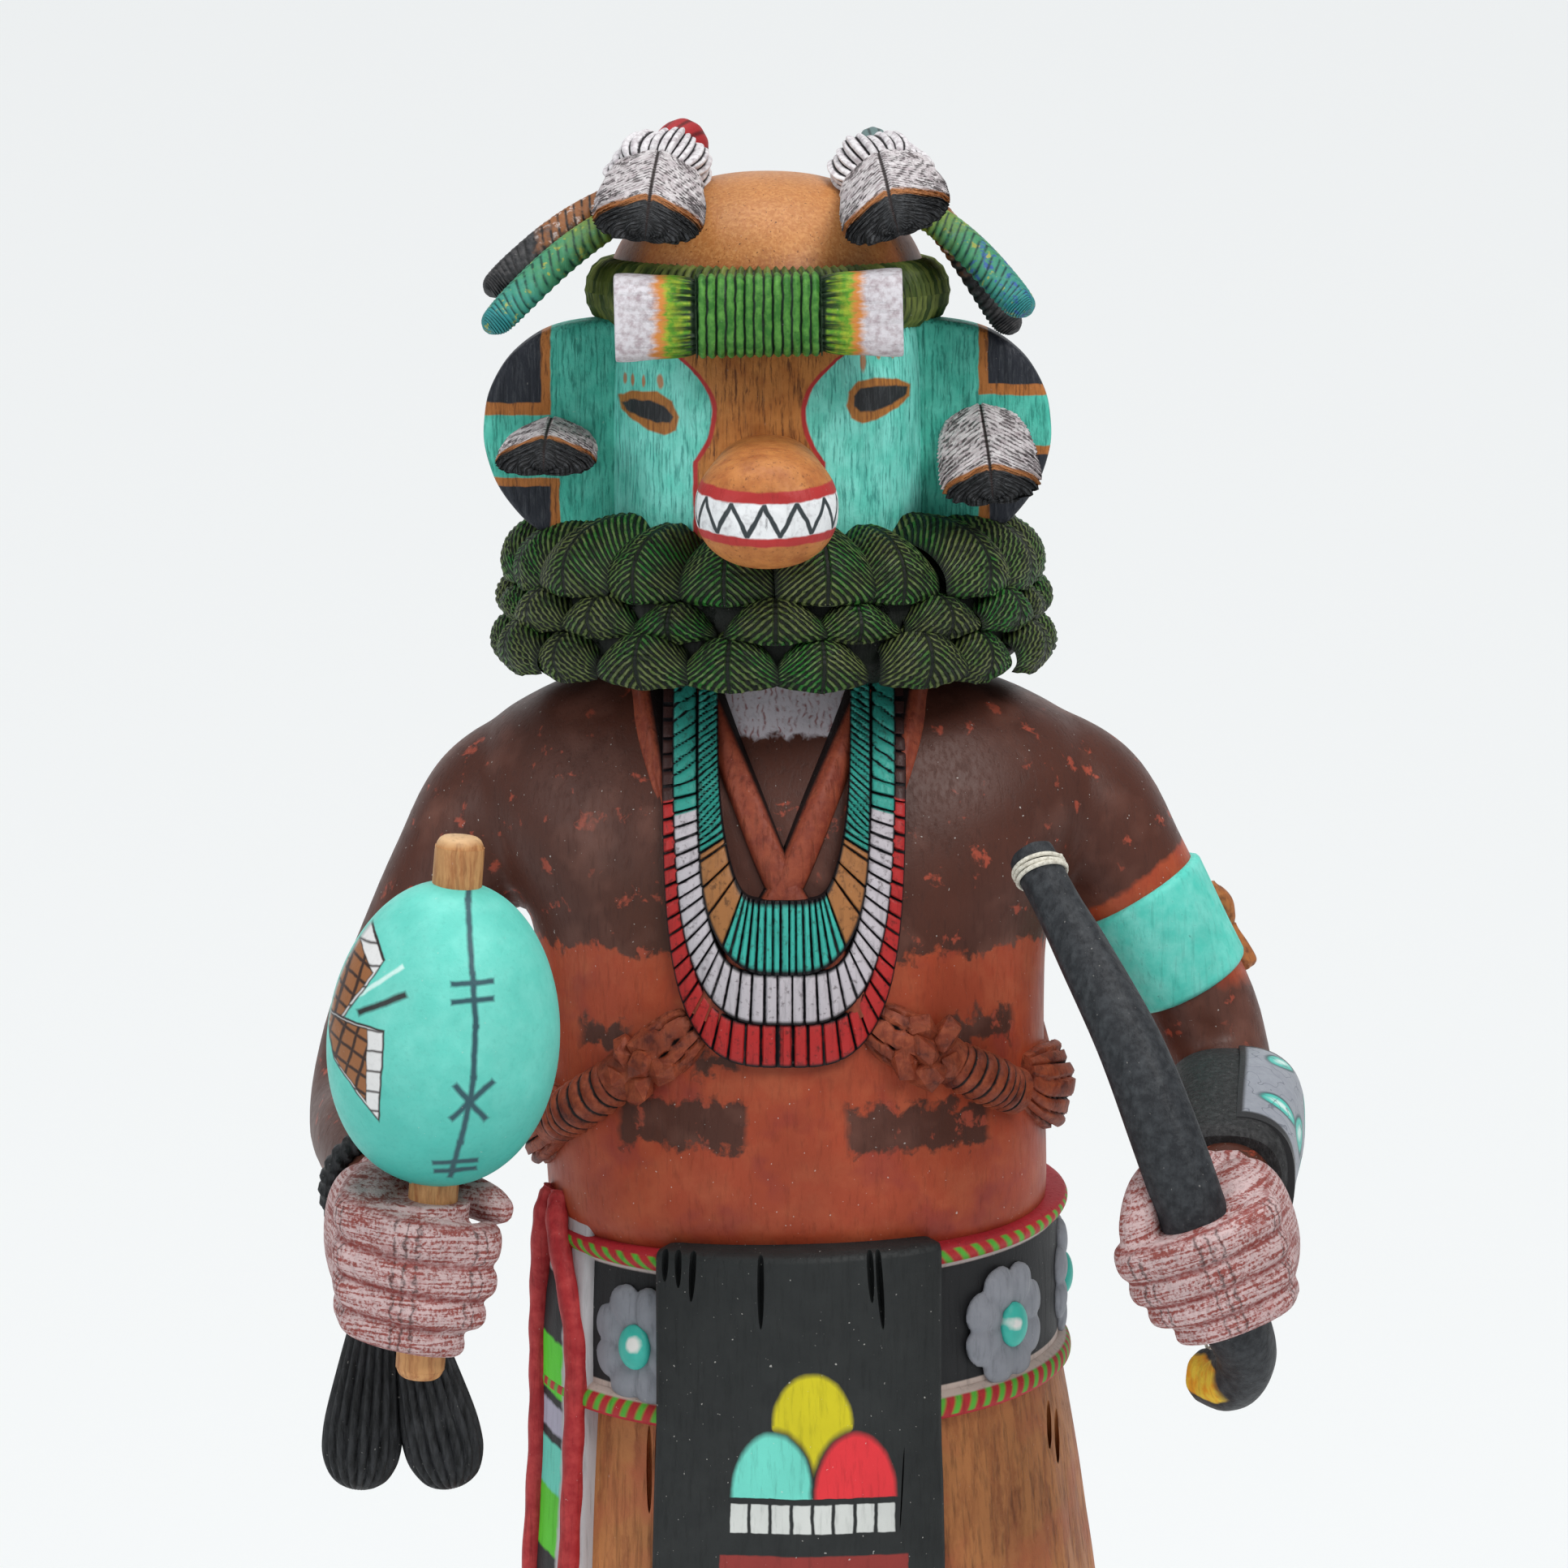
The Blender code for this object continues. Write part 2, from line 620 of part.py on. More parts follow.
def bow_stave(name, grow=0.0):
    """A stout bent stave, thickest at the grip and tapering to both tips."""
    path, radii = bow_line()
    return tube(name, path, [(radius, radius) for radius in radii], 8, X_AXIS, 2.0, grow)


def bow_string():
    """The taut thread behind the stave, wound round both tips."""
    path, radii = bow_line()
    coils = []
    ends = []
    for number, (tip, inner) in enumerate(((0, 1), (-1, -2))):
        ahead = (path[inner] - path[tip]).normalized()
        over = (STRING_SIDES[number] - ahead * ahead.dot(STRING_SIDES[number])).normalized()
        across = ahead.cross(over).normalized()
        inside = (max(radii[tip], radii[inner]) + SEAT_GAP) / math.cos(math.pi / COIL_SIDES)
        middle = path[tip] + ahead * STRING_INSET * UNIT
        loops = []
        for rise, reach in ((-1.2, 0), (-1.5, 1), (-0.5, 2), (0.6, 2), (1.5, 1), (1.2, 0)):
            ring = inside + reach * THREAD_RADIUS * 0.9
            loops.append(oval(middle + ahead * rise * UNIT, across, over, ring, ring, COIL_SIDES))
        coils.append(ring_solid(f"string_coil_{number}", loops))
        ends.append(middle + over * (inside + THREAD_RADIUS * 1.1))
    line = tube("string_line", ends, [(THREAD_RADIUS, THREAD_RADIUS)] * 2, 6, X_AXIS)
    return coils[0], [coils[1], line]


def ring_solid(name, loops):
    """A closed ring: each loop goes all round, and the last joins the first."""
    bm = bmesh.new()
    made = [[bm.verts.new(point) for point in loop] for loop in loops]
    for a, b in zip(made, made[1:] + made[:1]):
        for i in range(len(a)):
            j = (i + 1) % len(a)
            bm.faces.new((a[i], a[j], b[j], b[i]))
    return place(name, bm)


def handle_end(top):
    low = at(*HANDLE_LOW)
    if top:
        return at(*GOURD_LOW) + HANDLE_LEAN * (GOURD_LENGTH + HANDLE_STUB)
    return low - HANDLE_LEAN * HANDLE_STUB


def rattle_handle(name, grow=0.0):
    """A round stick that runs through the gourd, its ends slightly worn."""
    low, high = handle_end(False), handle_end(True)
    span = (high - low).length
    path = [low + HANDLE_LEAN * span * share for share in (0, 0.02, 0.98, 1)]
    end = HANDLE_RADIUS * (1 if grow else 0.86)
    sizes = [(end, end), (HANDLE_RADIUS, HANDLE_RADIUS), (HANDLE_RADIUS, HANDLE_RADIUS), (end, end)]
    return tube(name, path, sizes, 12, X_AXIS, 2.0, grow)


def rattle_gourd(name):
    """An egg on the stick, fuller below its middle."""
    low = at(*GOURD_LOW)
    across = HANDLE_LEAN.cross(Y_AXIS).normalized()
    over = across.cross(HANDLE_LEAN)
    rings = []
    steps = 7
    least = (HANDLE_RADIUS + 2 * SEAT_GAP) / GOURD_WIDTH * 2
    for i in range(steps + 1):
        t = i / steps
        angle = math.pi * t
        share = max(math.sin(angle) ** 0.92 * (1 + 0.05 * math.cos(angle)), least + 0.06)
        rise = GOURD_LENGTH * (0.5 - 0.5 * math.cos(angle))
        rings.append(oval(low + HANDLE_LEAN * rise, across, over, GOURD_WIDTH / 2 * share,
                          GOURD_DEPTH / 2 * share, 14))
    return loft(name, rings)


# Wrist yarn: a cord round the right wrist with two fluted tassels
WRIST_STATION = (-54.3, -42.0, 167.0)
TASSELS = [((-54.6, -43.6, 160.5), (-58.2, -45.0, 126.0)), ((-53.0, -43.6, 160.0), (-45.2, -45.2, 126.4))]
TASSEL_SHAPE = [(0.0, 0.36), (0.35, 0.62), (0.7, 0.98), (0.86, 1.0), (0.96, 0.68), (1.0, 0.34)]
FLUTES = 6


def wrist_cord(name, grow=0.0):
    """A ring of yarn that lies on the wrist, square to the forearm."""
    centre = at(*WRIST_STATION)
    ahead = (at(*RIGHT_ARM[-1][:3]) - at(*RIGHT_ARM[-3][:3])).normalized()
    across = ahead.cross(Z_AXIS).normalized()
    over = across.cross(ahead).normalized()
    loops = []
    for k in range(5):
        turn = 2 * math.pi * k / 5
        reach = 6.9 * UNIT + (YARN_RADIUS + grow) * math.cos(turn) + YARN_RADIUS * 0.4
        rise = (YARN_RADIUS + grow) * 1.2 * math.sin(turn)
        loops.append(oval(centre + ahead * rise, across, over, reach, reach, 10))
    return ring_solid(name, loops)


def tassel(name, number, grow=0.0):
    """A fluted teardrop of yarn that hangs from the wrist cord."""
    start, end = (at(*point) for point in TASSELS[number])
    down = (end - start).normalized()
    across = down.cross(Y_AXIS).normalized()
    over = across.cross(down).normalized()
    rings = []
    for share, spread in TASSEL_SHAPE:
        ring = []
        for i in range(2 * FLUTES):
            angle = math.pi * i / FLUTES
            radius = TASSEL_RADIUS * spread * (1.0 if i % 2 else 0.88) + grow
            ring.append(start + down * TASSEL_LENGTH * share
                        + across * radius * math.cos(angle) + over * radius * 0.9 * math.sin(angle))
        rings.append(ring)
    return loft(name, rings)


# Ear tabs, muzzle and forehead bundle
TAB_OUTLINE = [(20.0, 251.5), (29.5, 252.6), (35.6, 257.2), (38.8, 263.4), (39.3, 269.4), (37.6, 275.2),
               (33.6, 279.8), (28.0, 282.4), (20.0, 283.2)]
TAB_MIDDLE_Y = -8.0
TAB_EDGE = 0.8


def ear_tab(name, side, grow=0.0):
    """A thick D-shaped board on the side of the mask, its edges eased."""
    x = MASK[0]
    half = TAB_THICKNESS / 2
    flat = half - TAB_EDGE * UNIT
    middle = at(x + side * 27, 0, 267)
    rings = []
    for depth, shrink in ((-half, TAB_EDGE), (-flat, 0), (flat, 0), (half, TAB_EDGE)):
        ring = []
        for across, z in TAB_OUTLINE:
            point = at(x + side * across, TAB_MIDDLE_Y, z)
            outward = point - middle
            outward.y = 0
            outward.normalize()
            point += outward * (grow - shrink * UNIT)
            point.y += depth + math.copysign(grow, depth)
            ring.append(point)
        rings.append(ring)
    return loft(name, rings)


MUZZLE = [(-18, 262.4, 7.0, 5.6), (-27, 262.4, 7.4, 6.0), (-36, 261.4, 8.6, 6.9), (-43, 260.2, 9.6, 7.8),
          (-48.5, 259.4, 9.3, 7.5), (-51.8, 259.0, 7.2, 5.8), (-53.4, 258.8, 4.0, 3.2)]


def muzzle(name, grow=0.0):
    """A short round snout that swells towards the mouth and rounds off in front."""
    x = MASK[0]
    path = [at(x, y, z) for y, z, _, _ in MUZZLE]
    sizes = [(wide * UNIT, high * UNIT) for _, _, wide, high in MUZZLE]
    return tube(name, path, sizes, 14, Z_AXIS, 2.15, grow)


BUNDLE_CENTRE = (-3.4, -32.6, 285.0)
BUNDLE = [(-19.4, 5.6, 4.0), (-18.6, 6.0, 4.4), (-11.5, 5.5, 4.2), (-8.6, 4.9, 4.0), (-8.2, 5.5, 4.8),
          (8.2, 5.5, 4.8), (8.6, 4.9, 4.0), (11.5, 5.5, 4.2), (18.6, 6.0, 4.4), (19.4, 5.6, 4.0)]


def forehead_bundle(name, grow=0.0):
    """Husks laid across the brow, wound tight in the middle and flat at both ends."""
    x, y, z = BUNDLE_CENTRE
    path = [at(x + along, y, z + 0.02 * along) for along, _, _ in BUNDLE]
    sizes = [(deep * UNIT, high * UNIT) for _, high, deep in BUNDLE]
    return tube(name, path, sizes, 12, Z_AXIS, 3.2, grow)


# Feathers: ridged blades, each with a start, a direction and a roll
def blade(name, start, ahead, length, width, roll=0.0, grow=0.0, ridge=0.18, thick=0.11):
    """A feather carved as a shallow roof: a ridge along its middle, thin edges and a round tip."""
    ahead = ahead.normalized()
    across = ahead.cross(Z_AXIS).normalized()
    over = across.cross(ahead).normalized()
    turn = math.radians(roll)
    across, over = (across * math.cos(turn) + over * math.sin(turn),
                    over * math.cos(turn) - across * math.sin(turn))
    shape = [(0.0, 0.62), (0.3, 0.9), (0.74, 1.0), (0.9, 0.82), (0.975, 0.5), (1.0, 0.24)]
    rings = []
    last = len(shape) - 1
    for i, (share, spread) in enumerate(shape):
        centre = start + ahead * (length * share)
        if i in (0, last):
            centre = centre + ahead * (grow if i else -grow)
        half = width / 2 * spread
        rise = ridge * width * (0.35 + 0.65 * spread)
        drop = thick * width
        edge = half + grow
        lip = drop / 2 + grow
        profile = ((-edge, -lip), (-edge, lip), (0, rise + grow), (edge, lip), (edge, -lip),
                   (0, rise - drop * 1.3 - grow))
        rings.append([centre + across * a + over * b for a, b in profile])
    return loft(name, rings)


# Where each feather starts, then its direction and roll, or where it ends
EAR_FEATHERS = {
    "right": ((-32.0, -9.5, 270.6), (-0.03, -0.88, -0.46), 0),
    "left": ((27.2, -9.5, 272.4), (0.06, -0.76, -0.66), -6),
}
EAGLE = {
    "right": ((-17.4, -5.5, 304.4), (-0.04, -0.95, -0.28), 4),
    "left": ((13.6, -5.5, 304.2), (0.06, -0.95, -0.25), -16),
}
DOWN = {
    "right": ((-15.9, -0.5, 305.2), (-18.0, -9.0, 302.2)),
    "left": ((12.0, -0.5, 304.6), (14.4, -9.0, 301.8)),
}
BARRED = {
    "right": ((-20.5, -5.5, 301.6), (-40.6, -18.5, 288.2)),
    "left": ((17.0, -5.0, 301.2), (31.6, -14.5, 281.4)),
}
PARROT = {
    "right": ((-20.4, -11.6, 298.4), (-40.2, -25.8, 282.4)),
    "left": ((17.4, -11.6, 298.8), (33.0, -24.6, 284.6)),
}
CREST = {
    "right": ((-16.8, -3.0, 305.6), (-14.2, 7.0, 310.0)),
    "left": ((13.0, -3.0, 305.0), (12.2, 7.0, 309.0)),
}


def ear_feather(name, side, grow=0.0):
    start, ahead, roll = EAR_FEATHERS[side]
    return blade(name, at(*start), Vector(ahead), EAR_FEATHER_LENGTH, EAR_FEATHER_WIDTH, roll, grow)


def eagle_feather(name, side, grow=0.0):
    start, ahead, roll = EAGLE[side]
    return blade(name, at(*start), Vector(ahead), EAGLE_FEATHER_LENGTH, EAGLE_FEATHER_WIDTH, roll, grow)


def narrow_feather(name, ends, grow=0.0):
    """A long thin feather, oval in section, that bends down slightly to a blunt tip."""
    start, end = (at(*point) for point in ends)
    half = SIDE_FEATHER_WIDTH / 2
    path = []
    for share in (0, 0.35, 0.82, 1):
        path.append(start.lerp(end, share) + Z_AXIS * (1.6 * UNIT * math.sin(math.pi * share)))
    sizes = [(half * a, half * 0.72 * a) for a in (0.82, 1.0, 1.0, 0.72)]
    return tube(name, path, sizes, 8, Z_AXIS, 2.3, grow)


def crest_feather(name, side, grow=0.0):
    """The short rounded feather that points up and back behind the down."""
    start, end = (at(*point) for point in CREST[side])
    path = [start.lerp(end, share) for share in (0, 0.5, 0.82, 1)]
    sizes = [(a * UNIT, b * UNIT) for a, b in ((1.8, 1.6), (2.3, 2.0), (2.0, 1.8), (0.9, 0.8))]
    return tube(name, path, sizes, 8, X_AXIS, 2.0, grow)


def down_tuft(name, side, grow=0.0):
    """A ruffle of down at the root of the feathers, lobed all round."""
    start, end = (at(*point) for point in DOWN[side])
    ahead = (end - start).normalized()
    across = ahead.cross(Z_AXIS).normalized()
    over = across.cross(ahead).normalized()
    span = (end - start).length
    rings = []
    lobes = 7
    last = 3
    for i, (share, spread) in enumerate(((-0.12, 0.44), (0.18, 0.84), (0.7, 1.0), (1.0, 0.84))):
        centre = start + ahead * span * share
        if i in (0, last):
            centre = centre + ahead * (grow if i else -grow)
        ring = []
        for k in range(2 * lobes):
            angle = math.pi * k / lobes
            radius = DOWN_RADIUS * spread * (1.0 if k % 2 else 0.9) + grow
            ring.append(centre + across * radius * math.cos(angle) + over * radius * 0.86 * math.sin(angle))
        rings.append(ring)
    return loft(name, rings)


def base_disc():
    """A low turned disc, wide enough for both feet, its top edge rounded by a bevel."""
    reach_x = (abs(RIGHT_FOOT[0]) + abs(LEFT_FOOT[0])) / 2 + 8.2
    reach_y = FOOT_HALF_LENGTH + 7.0
    half_width = reach_x * UNIT + BASE_MARGIN
    half_depth = reach_y * UNIT + BASE_MARGIN
    rings = [oval(Vector((0, 0, z)), X_AXIS, Y_AXIS, half_width - inset, half_depth - inset, 28)
             for z, inset in ((0, 0.0006), (0.0006, 0), (BASE_HEIGHT - BASE_EDGE, 0),
                              (BASE_HEIGHT - BASE_EDGE * 0.3, BASE_EDGE * 0.3), (BASE_HEIGHT, BASE_EDGE))]
    return loft("base", rings)


def group(name, items):
    """Puts helper shapes in a collection of their own, left out of the render."""
    holder = bpy.data.collections.new(name)
    bpy.context.scene.collection.children.link(holder)
    for item in items:
        bpy.context.scene.collection.objects.unlink(item)
        holder.objects.link(item)
        item.hide_render = True
        item.display_type = "WIRE"
    return holder


def combine(item, operation, name, items):
    """Joins helper shapes to an object, or cuts them from it."""
    change = item.modifiers.new(name, "BOOLEAN")
    change.operation = operation
    change.solver = "EXACT"
    change.operand_type = "COLLECTION"
    change.collection = group(f"{item.name}_{name}", items)


def lighten(item, share):
    """Collapses the slivers that the joins leave, down to a share of the faces."""
    change = item.modifiers.new("lighten", "DECIMATE")
    change.ratio = share


def finish(item, material):
    item.data.materials.append(material)
    return item


def carved_figure():
    """Everything carved from the one piece of wood, before its seats are cut."""
    parts = [leg("leg_left", LEFT_FOOT), leg("leg_right", RIGHT_FOOT),
             moccasin("moccasin_left", LEFT_FOOT), moccasin("moccasin_right", RIGHT_FOOT),
             kilt(), belt(), front_flap(), *hip_sash()]
    for number, degrees in enumerate(PLATE_ANGLES):
        parts += flower_plate(f"plate_{number}", degrees)
    parts += [ruff(), mask_case(), crown(), yarn_ring()]
    for name, half_width, low, high, half_top, lift in STRANDS:
        parts.append(strand(name, half_width, low, high, half_top, lift))
    for name, side, sag in (("left", 1, 0.3), ("right", -1, 5.0)):
        parts += [front_strap(f"strap_{name}", side, sag), hank_tuft(f"tuft_{name}", side, sag),
                  back_strap(f"back_strap_{name}", side)]
    parts.append(carved_tube("arm_left", LEFT_ARM, ARM_STEPS, 10, X_AXIS))
    parts.append(carved_tube("arm_right", RIGHT_ARM, ARM_STEPS, 10, X_AXIS))
    parts.append(arm_band("arm_band", 5, 10, 0.9))
    parts.append(carved_tube("band_tie", BAND_TIE, 4, 6, Y_AXIS))
    parts.append(arm_band("bow_guard", 17, 21, 0.9))
    bow = [at(*point) for point in BOW]
    axis = (bow[BOW_GRIP - 1] - bow[BOW_GRIP + 1]).normalized()
    left_middle = bow[BOW_GRIP] - axis * 5.6 * UNIT - X_AXIS * 0.5 * UNIT
    right_middle = at(*HANDLE_LOW) + HANDLE_LEAN * 10.0 * UNIT - X_AXIS * 1.8 * UNIT
    left_wrist = at(*LEFT_ARM[-1][:3])
    right_wrist = at(*RIGHT_ARM[-1][:3])
    parts += fist("left_fist", left_middle, axis, (9.0, 6.2), left_wrist, 1, 3.9, LEFT_THUMB)
    parts += fist("right_fist", right_middle, HANDLE_LEAN, (8.5, 5.6), right_wrist, -1, 4.8, RIGHT_THUMB)
    torso = loft("figure", [level(*row, TORSO_SIDES, TORSO_POWER) for row in TORSO])
    combine(torso, "UNION", "carving", parts)
    return torso


def seats():
    """Cutters for the sockets and bores in the figure, each a grown copy of what sits there."""
    cutters = [bow_stave("bow_bore", SEAT_GAP), rattle_handle("handle_bore", SEAT_GAP),
               muzzle("muzzle_seat", SEAT_GAP), forehead_bundle("bundle_seat", SEAT_GAP),
               wrist_cord("cord_groove", SEAT_GAP), tassel("tassel_room_0", 0, SEAT_GAP),
               tassel("tassel_room_1", 1, SEAT_GAP)]
    for name, side in (("right", -1), ("left", 1)):
        cutters += [ear_tab(f"tab_seat_{name}", side, SEAT_GAP),
                    down_tuft(f"down_seat_{name}", name, SEAT_GAP),
                    eagle_feather(f"eagle_room_{name}", name, SEAT_GAP),
                    narrow_feather(f"barred_room_{name}", BARRED[name], SEAT_GAP),
                    narrow_feather(f"parrot_room_{name}", PARROT[name], SEAT_GAP)]
    return cutters


def build():
    for item in list(bpy.data.objects):
        bpy.data.objects.remove(item)
    wood = paint("bare_wood", (0.42, 0.22, 0.09), 0.6)
    skin = paint("body_paint", (0.24, 0.055, 0.03), 0.5)
    turquoise = paint("turquoise_paint", (0.06, 0.55, 0.45), 0.55)
    brown = paint("brown_paint", (0.42, 0.16, 0.04), 0.5)
    green = paint("green_paint", (0.06, 0.18, 0.03), 0.6)
    black = paint("black_paint", (0.02, 0.022, 0.024), 0.6)
    white = paint("white_paint", (0.72, 0.68, 0.66), 0.7)
    red = paint("red_paint", (0.45, 0.03, 0.03), 0.6)
    grey = paint("grey_paint", (0.25, 0.32, 0.36), 0.6)
    parrot = paint("parrot_paint", (0.08, 0.35, 0.3), 0.6)
    thread = paint("cotton_thread", (0.8, 0.78, 0.72), 0.9)

    finish(base_disc(), wood)
    figure = finish(carved_figure(), skin)
    lighten(figure, 0.54)
    combine(figure, "DIFFERENCE", "seats", seats())
    finish(muzzle("muzzle"), brown)
    finish(forehead_bundle("forehead_bundle"), green)

    for name, side in (("right", -1), ("left", 1)):
        tab = finish(ear_tab(f"ear_tab_{name}", side), turquoise)
        combine(tab, "DIFFERENCE", "socket", [ear_feather(f"ear_socket_{name}", name, SEAT_GAP)])
        finish(ear_feather(f"ear_feather_{name}", name), white)
        down = finish(down_tuft(f"down_{name}", name), white)
        combine(down, "DIFFERENCE", "sockets", [
            eagle_feather(f"eagle_socket_{name}", name, SEAT_GAP),
            narrow_feather(f"barred_socket_{name}", BARRED[name], SEAT_GAP),
            narrow_feather(f"parrot_socket_{name}", PARROT[name], SEAT_GAP),
            crest_feather(f"crest_socket_{name}", name, SEAT_GAP),
        ])
        lighten(down, 0.7)
        finish(eagle_feather(f"eagle_feather_{name}", name), white)
        finish(narrow_feather(f"barred_feather_{name}", BARRED[name]), black)
        finish(narrow_feather(f"parrot_feather_{name}", PARROT[name]), parrot)
        finish(crest_feather(f"crest_feather_{name}", name), red if name == "right" else grey)

    gourd = finish(rattle_gourd("rattle_gourd"), turquoise)
    combine(gourd, "DIFFERENCE", "bore", [rattle_handle("gourd_bore", SEAT_GAP)])
    lighten(gourd, 0.8)
    finish(rattle_handle("rattle_handle"), wood)
    finish(bow_stave("bow_stave"), black)
    string, rest = bow_string()
    string.name = "bow_string"
    combine(string, "UNION", "rest", rest)
    finish(string, thread)
    cord = finish(wrist_cord("wrist_tassels"), black)
    combine(cord, "UNION", "tassels", [tassel("tassel_0", 0), tassel("tassel_1", 1)])
    lighten(cord, 0.85)


build()
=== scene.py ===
"""The looks of the carved katsina doll: its finer carving and its paint, piece by piece."""

import math

import bpy
from mathutils import Matrix, Vector


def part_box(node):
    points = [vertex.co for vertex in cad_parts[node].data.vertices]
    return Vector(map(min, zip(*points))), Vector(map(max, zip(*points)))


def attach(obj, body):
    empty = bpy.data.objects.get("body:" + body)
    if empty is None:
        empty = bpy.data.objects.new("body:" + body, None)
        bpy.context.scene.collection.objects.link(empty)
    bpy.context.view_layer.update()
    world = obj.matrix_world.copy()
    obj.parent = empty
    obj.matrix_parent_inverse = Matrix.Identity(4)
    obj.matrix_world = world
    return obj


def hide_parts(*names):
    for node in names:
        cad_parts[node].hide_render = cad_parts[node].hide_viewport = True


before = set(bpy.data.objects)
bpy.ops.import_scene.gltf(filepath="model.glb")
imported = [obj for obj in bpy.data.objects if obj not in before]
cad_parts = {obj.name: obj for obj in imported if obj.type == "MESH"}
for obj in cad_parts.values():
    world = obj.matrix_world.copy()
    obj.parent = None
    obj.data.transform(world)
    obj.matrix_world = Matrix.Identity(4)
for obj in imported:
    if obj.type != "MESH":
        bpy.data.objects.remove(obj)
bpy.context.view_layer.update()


# Base. A low turned disc of bare root wood with an eased top edge, sanded and waxed. The doll's
# soles stand on it. Carving units, used all through, are shares of the doll's height.
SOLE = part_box("figure")[0].z
UNIT = (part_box("figure")[1].z - SOLE) / 303
BASE_EASE = 0.0022


def at(x, y, z):
    """A place in carving units: x and y from the base's centre, z above the soles."""
    return Vector((x * UNIT, y * UNIT, SOLE + z * UNIT))


def in_units(place):
    """The carving units of a place, the reverse of at."""
    return (place - at(0, 0, 0)) / UNIT


class Nodes:
    """Shorthand for a node tree: each method adds nodes and gives back what they put out."""

    def __init__(self, tree):
        self.tree = tree

    def step(self, kind, *sources, **settings):
        made = self.tree.nodes.new("ShaderNode" + kind)
        for name, value in settings.items():
            setattr(made, name, value)
        for socket, source in zip(made.inputs, sources):
            self.give(socket, source)
        return made

    def give(self, socket, source):
        if isinstance(source, bpy.types.NodeSocket):
            self.tree.links.new(source, socket)
        elif source is not None:
            if socket.type == "RGBA":
                source = (*source, 1)
            socket.default_value = source

    def calc(self, operation, *sources):
        return self.step("Math", *sources, operation=operation).outputs[0]

    def ramp(self, value, low, high):
        return self.step("MapRange", value, low, high, 0.0, 1.0).outputs[0]

    def within(self, value, low, high, soft=0.12):
        rising = self.ramp(value, low - soft, low + soft)
        return self.calc("MINIMUM", rising, self.ramp(value, high + soft, high - soft))

    def both(self, *masks):
        found = masks[0]
        for mask in masks[1:]:
            found = self.calc("MULTIPLY", found, mask)
        return found

    def any_of(self, *masks):
        found = masks[0]
        for mask in masks[1:]:
            found = self.calc("MAXIMUM", found, mask)
        return found

    def noise(self, place, scale, detail=3.0):
        made = self.step("TexNoise", place)
        made.inputs["Scale"].default_value = scale
        made.inputs["Detail"].default_value = detail
        made.inputs["Roughness"].default_value = 0.6
        return made.outputs[0]

    def over(self, below, colour, mask, mode="MIX"):
        mix = self.step("Mix", data_type="RGBA", blend_type=mode)
        for number, source in ((0, mask), (6, below), (7, colour)):
            self.give(mix.inputs[number], source)
        return mix.outputs[2]

    def stripes(self, value, pitch, share, soft=0.1):
        """Lines across a value, one each pitch, of a share of its width."""
        wave = self.calc("PINGPONG", self.calc("DIVIDE", value, pitch), 0.5)
        return self.ramp(wave, share / 2 + soft, share / 2 - soft)

    def area(self, a, b, corners, soft=0.1):
        """The inside of a convex outline, its corners listed anticlockwise."""
        least = None
        for (a0, b0), (a1, b1) in zip(corners, corners[1:] + corners[:1]):
            length = math.hypot(a1 - a0, b1 - b0)
            along_a, along_b = (a1 - a0) / length, (b1 - b0) / length
            part = self.calc("MULTIPLY_ADD", a, -along_b, along_b * a0 - along_a * b0)
            depth = self.calc("MULTIPLY_ADD", b, along_a, part)
            least = depth if least is None else self.calc("MINIMUM", least, depth)
        return self.ramp(least, -soft, soft)

    def stroke(self, a, b, start, end, width):
        """A straight brush stroke."""
        run = Vector(end) - Vector(start)
        side = Vector((run.y, -run.x)).normalized() * width / 2
        corners = [Vector(start) + side, Vector(end) + side, Vector(end) - side, Vector(start) - side]
        return self.area(a, b, [tuple(corner) for corner in corners], width * 0.25)

    def oval(self, a, b, centre, reach, tilt=0.0, soft=0.06):
        """A filled oval, its long side turned by tilt degrees."""
        c, s = math.cos(math.radians(tilt)), math.sin(math.radians(tilt))
        da = self.calc("SUBTRACT", a, centre[0])
        db = self.calc("SUBTRACT", b, centre[1])
        p = self.calc("MULTIPLY_ADD", db, s / reach[0], self.calc("MULTIPLY", da, c / reach[0]))
        q = self.calc("MULTIPLY_ADD", db, c / reach[1], self.calc("MULTIPLY", da, -s / reach[1]))
        far = self.calc("SQRT", self.calc("MULTIPLY_ADD", p, p, self.calc("MULTIPLY", q, q)))
        return self.ramp(far, 1 + soft, 1 - soft)


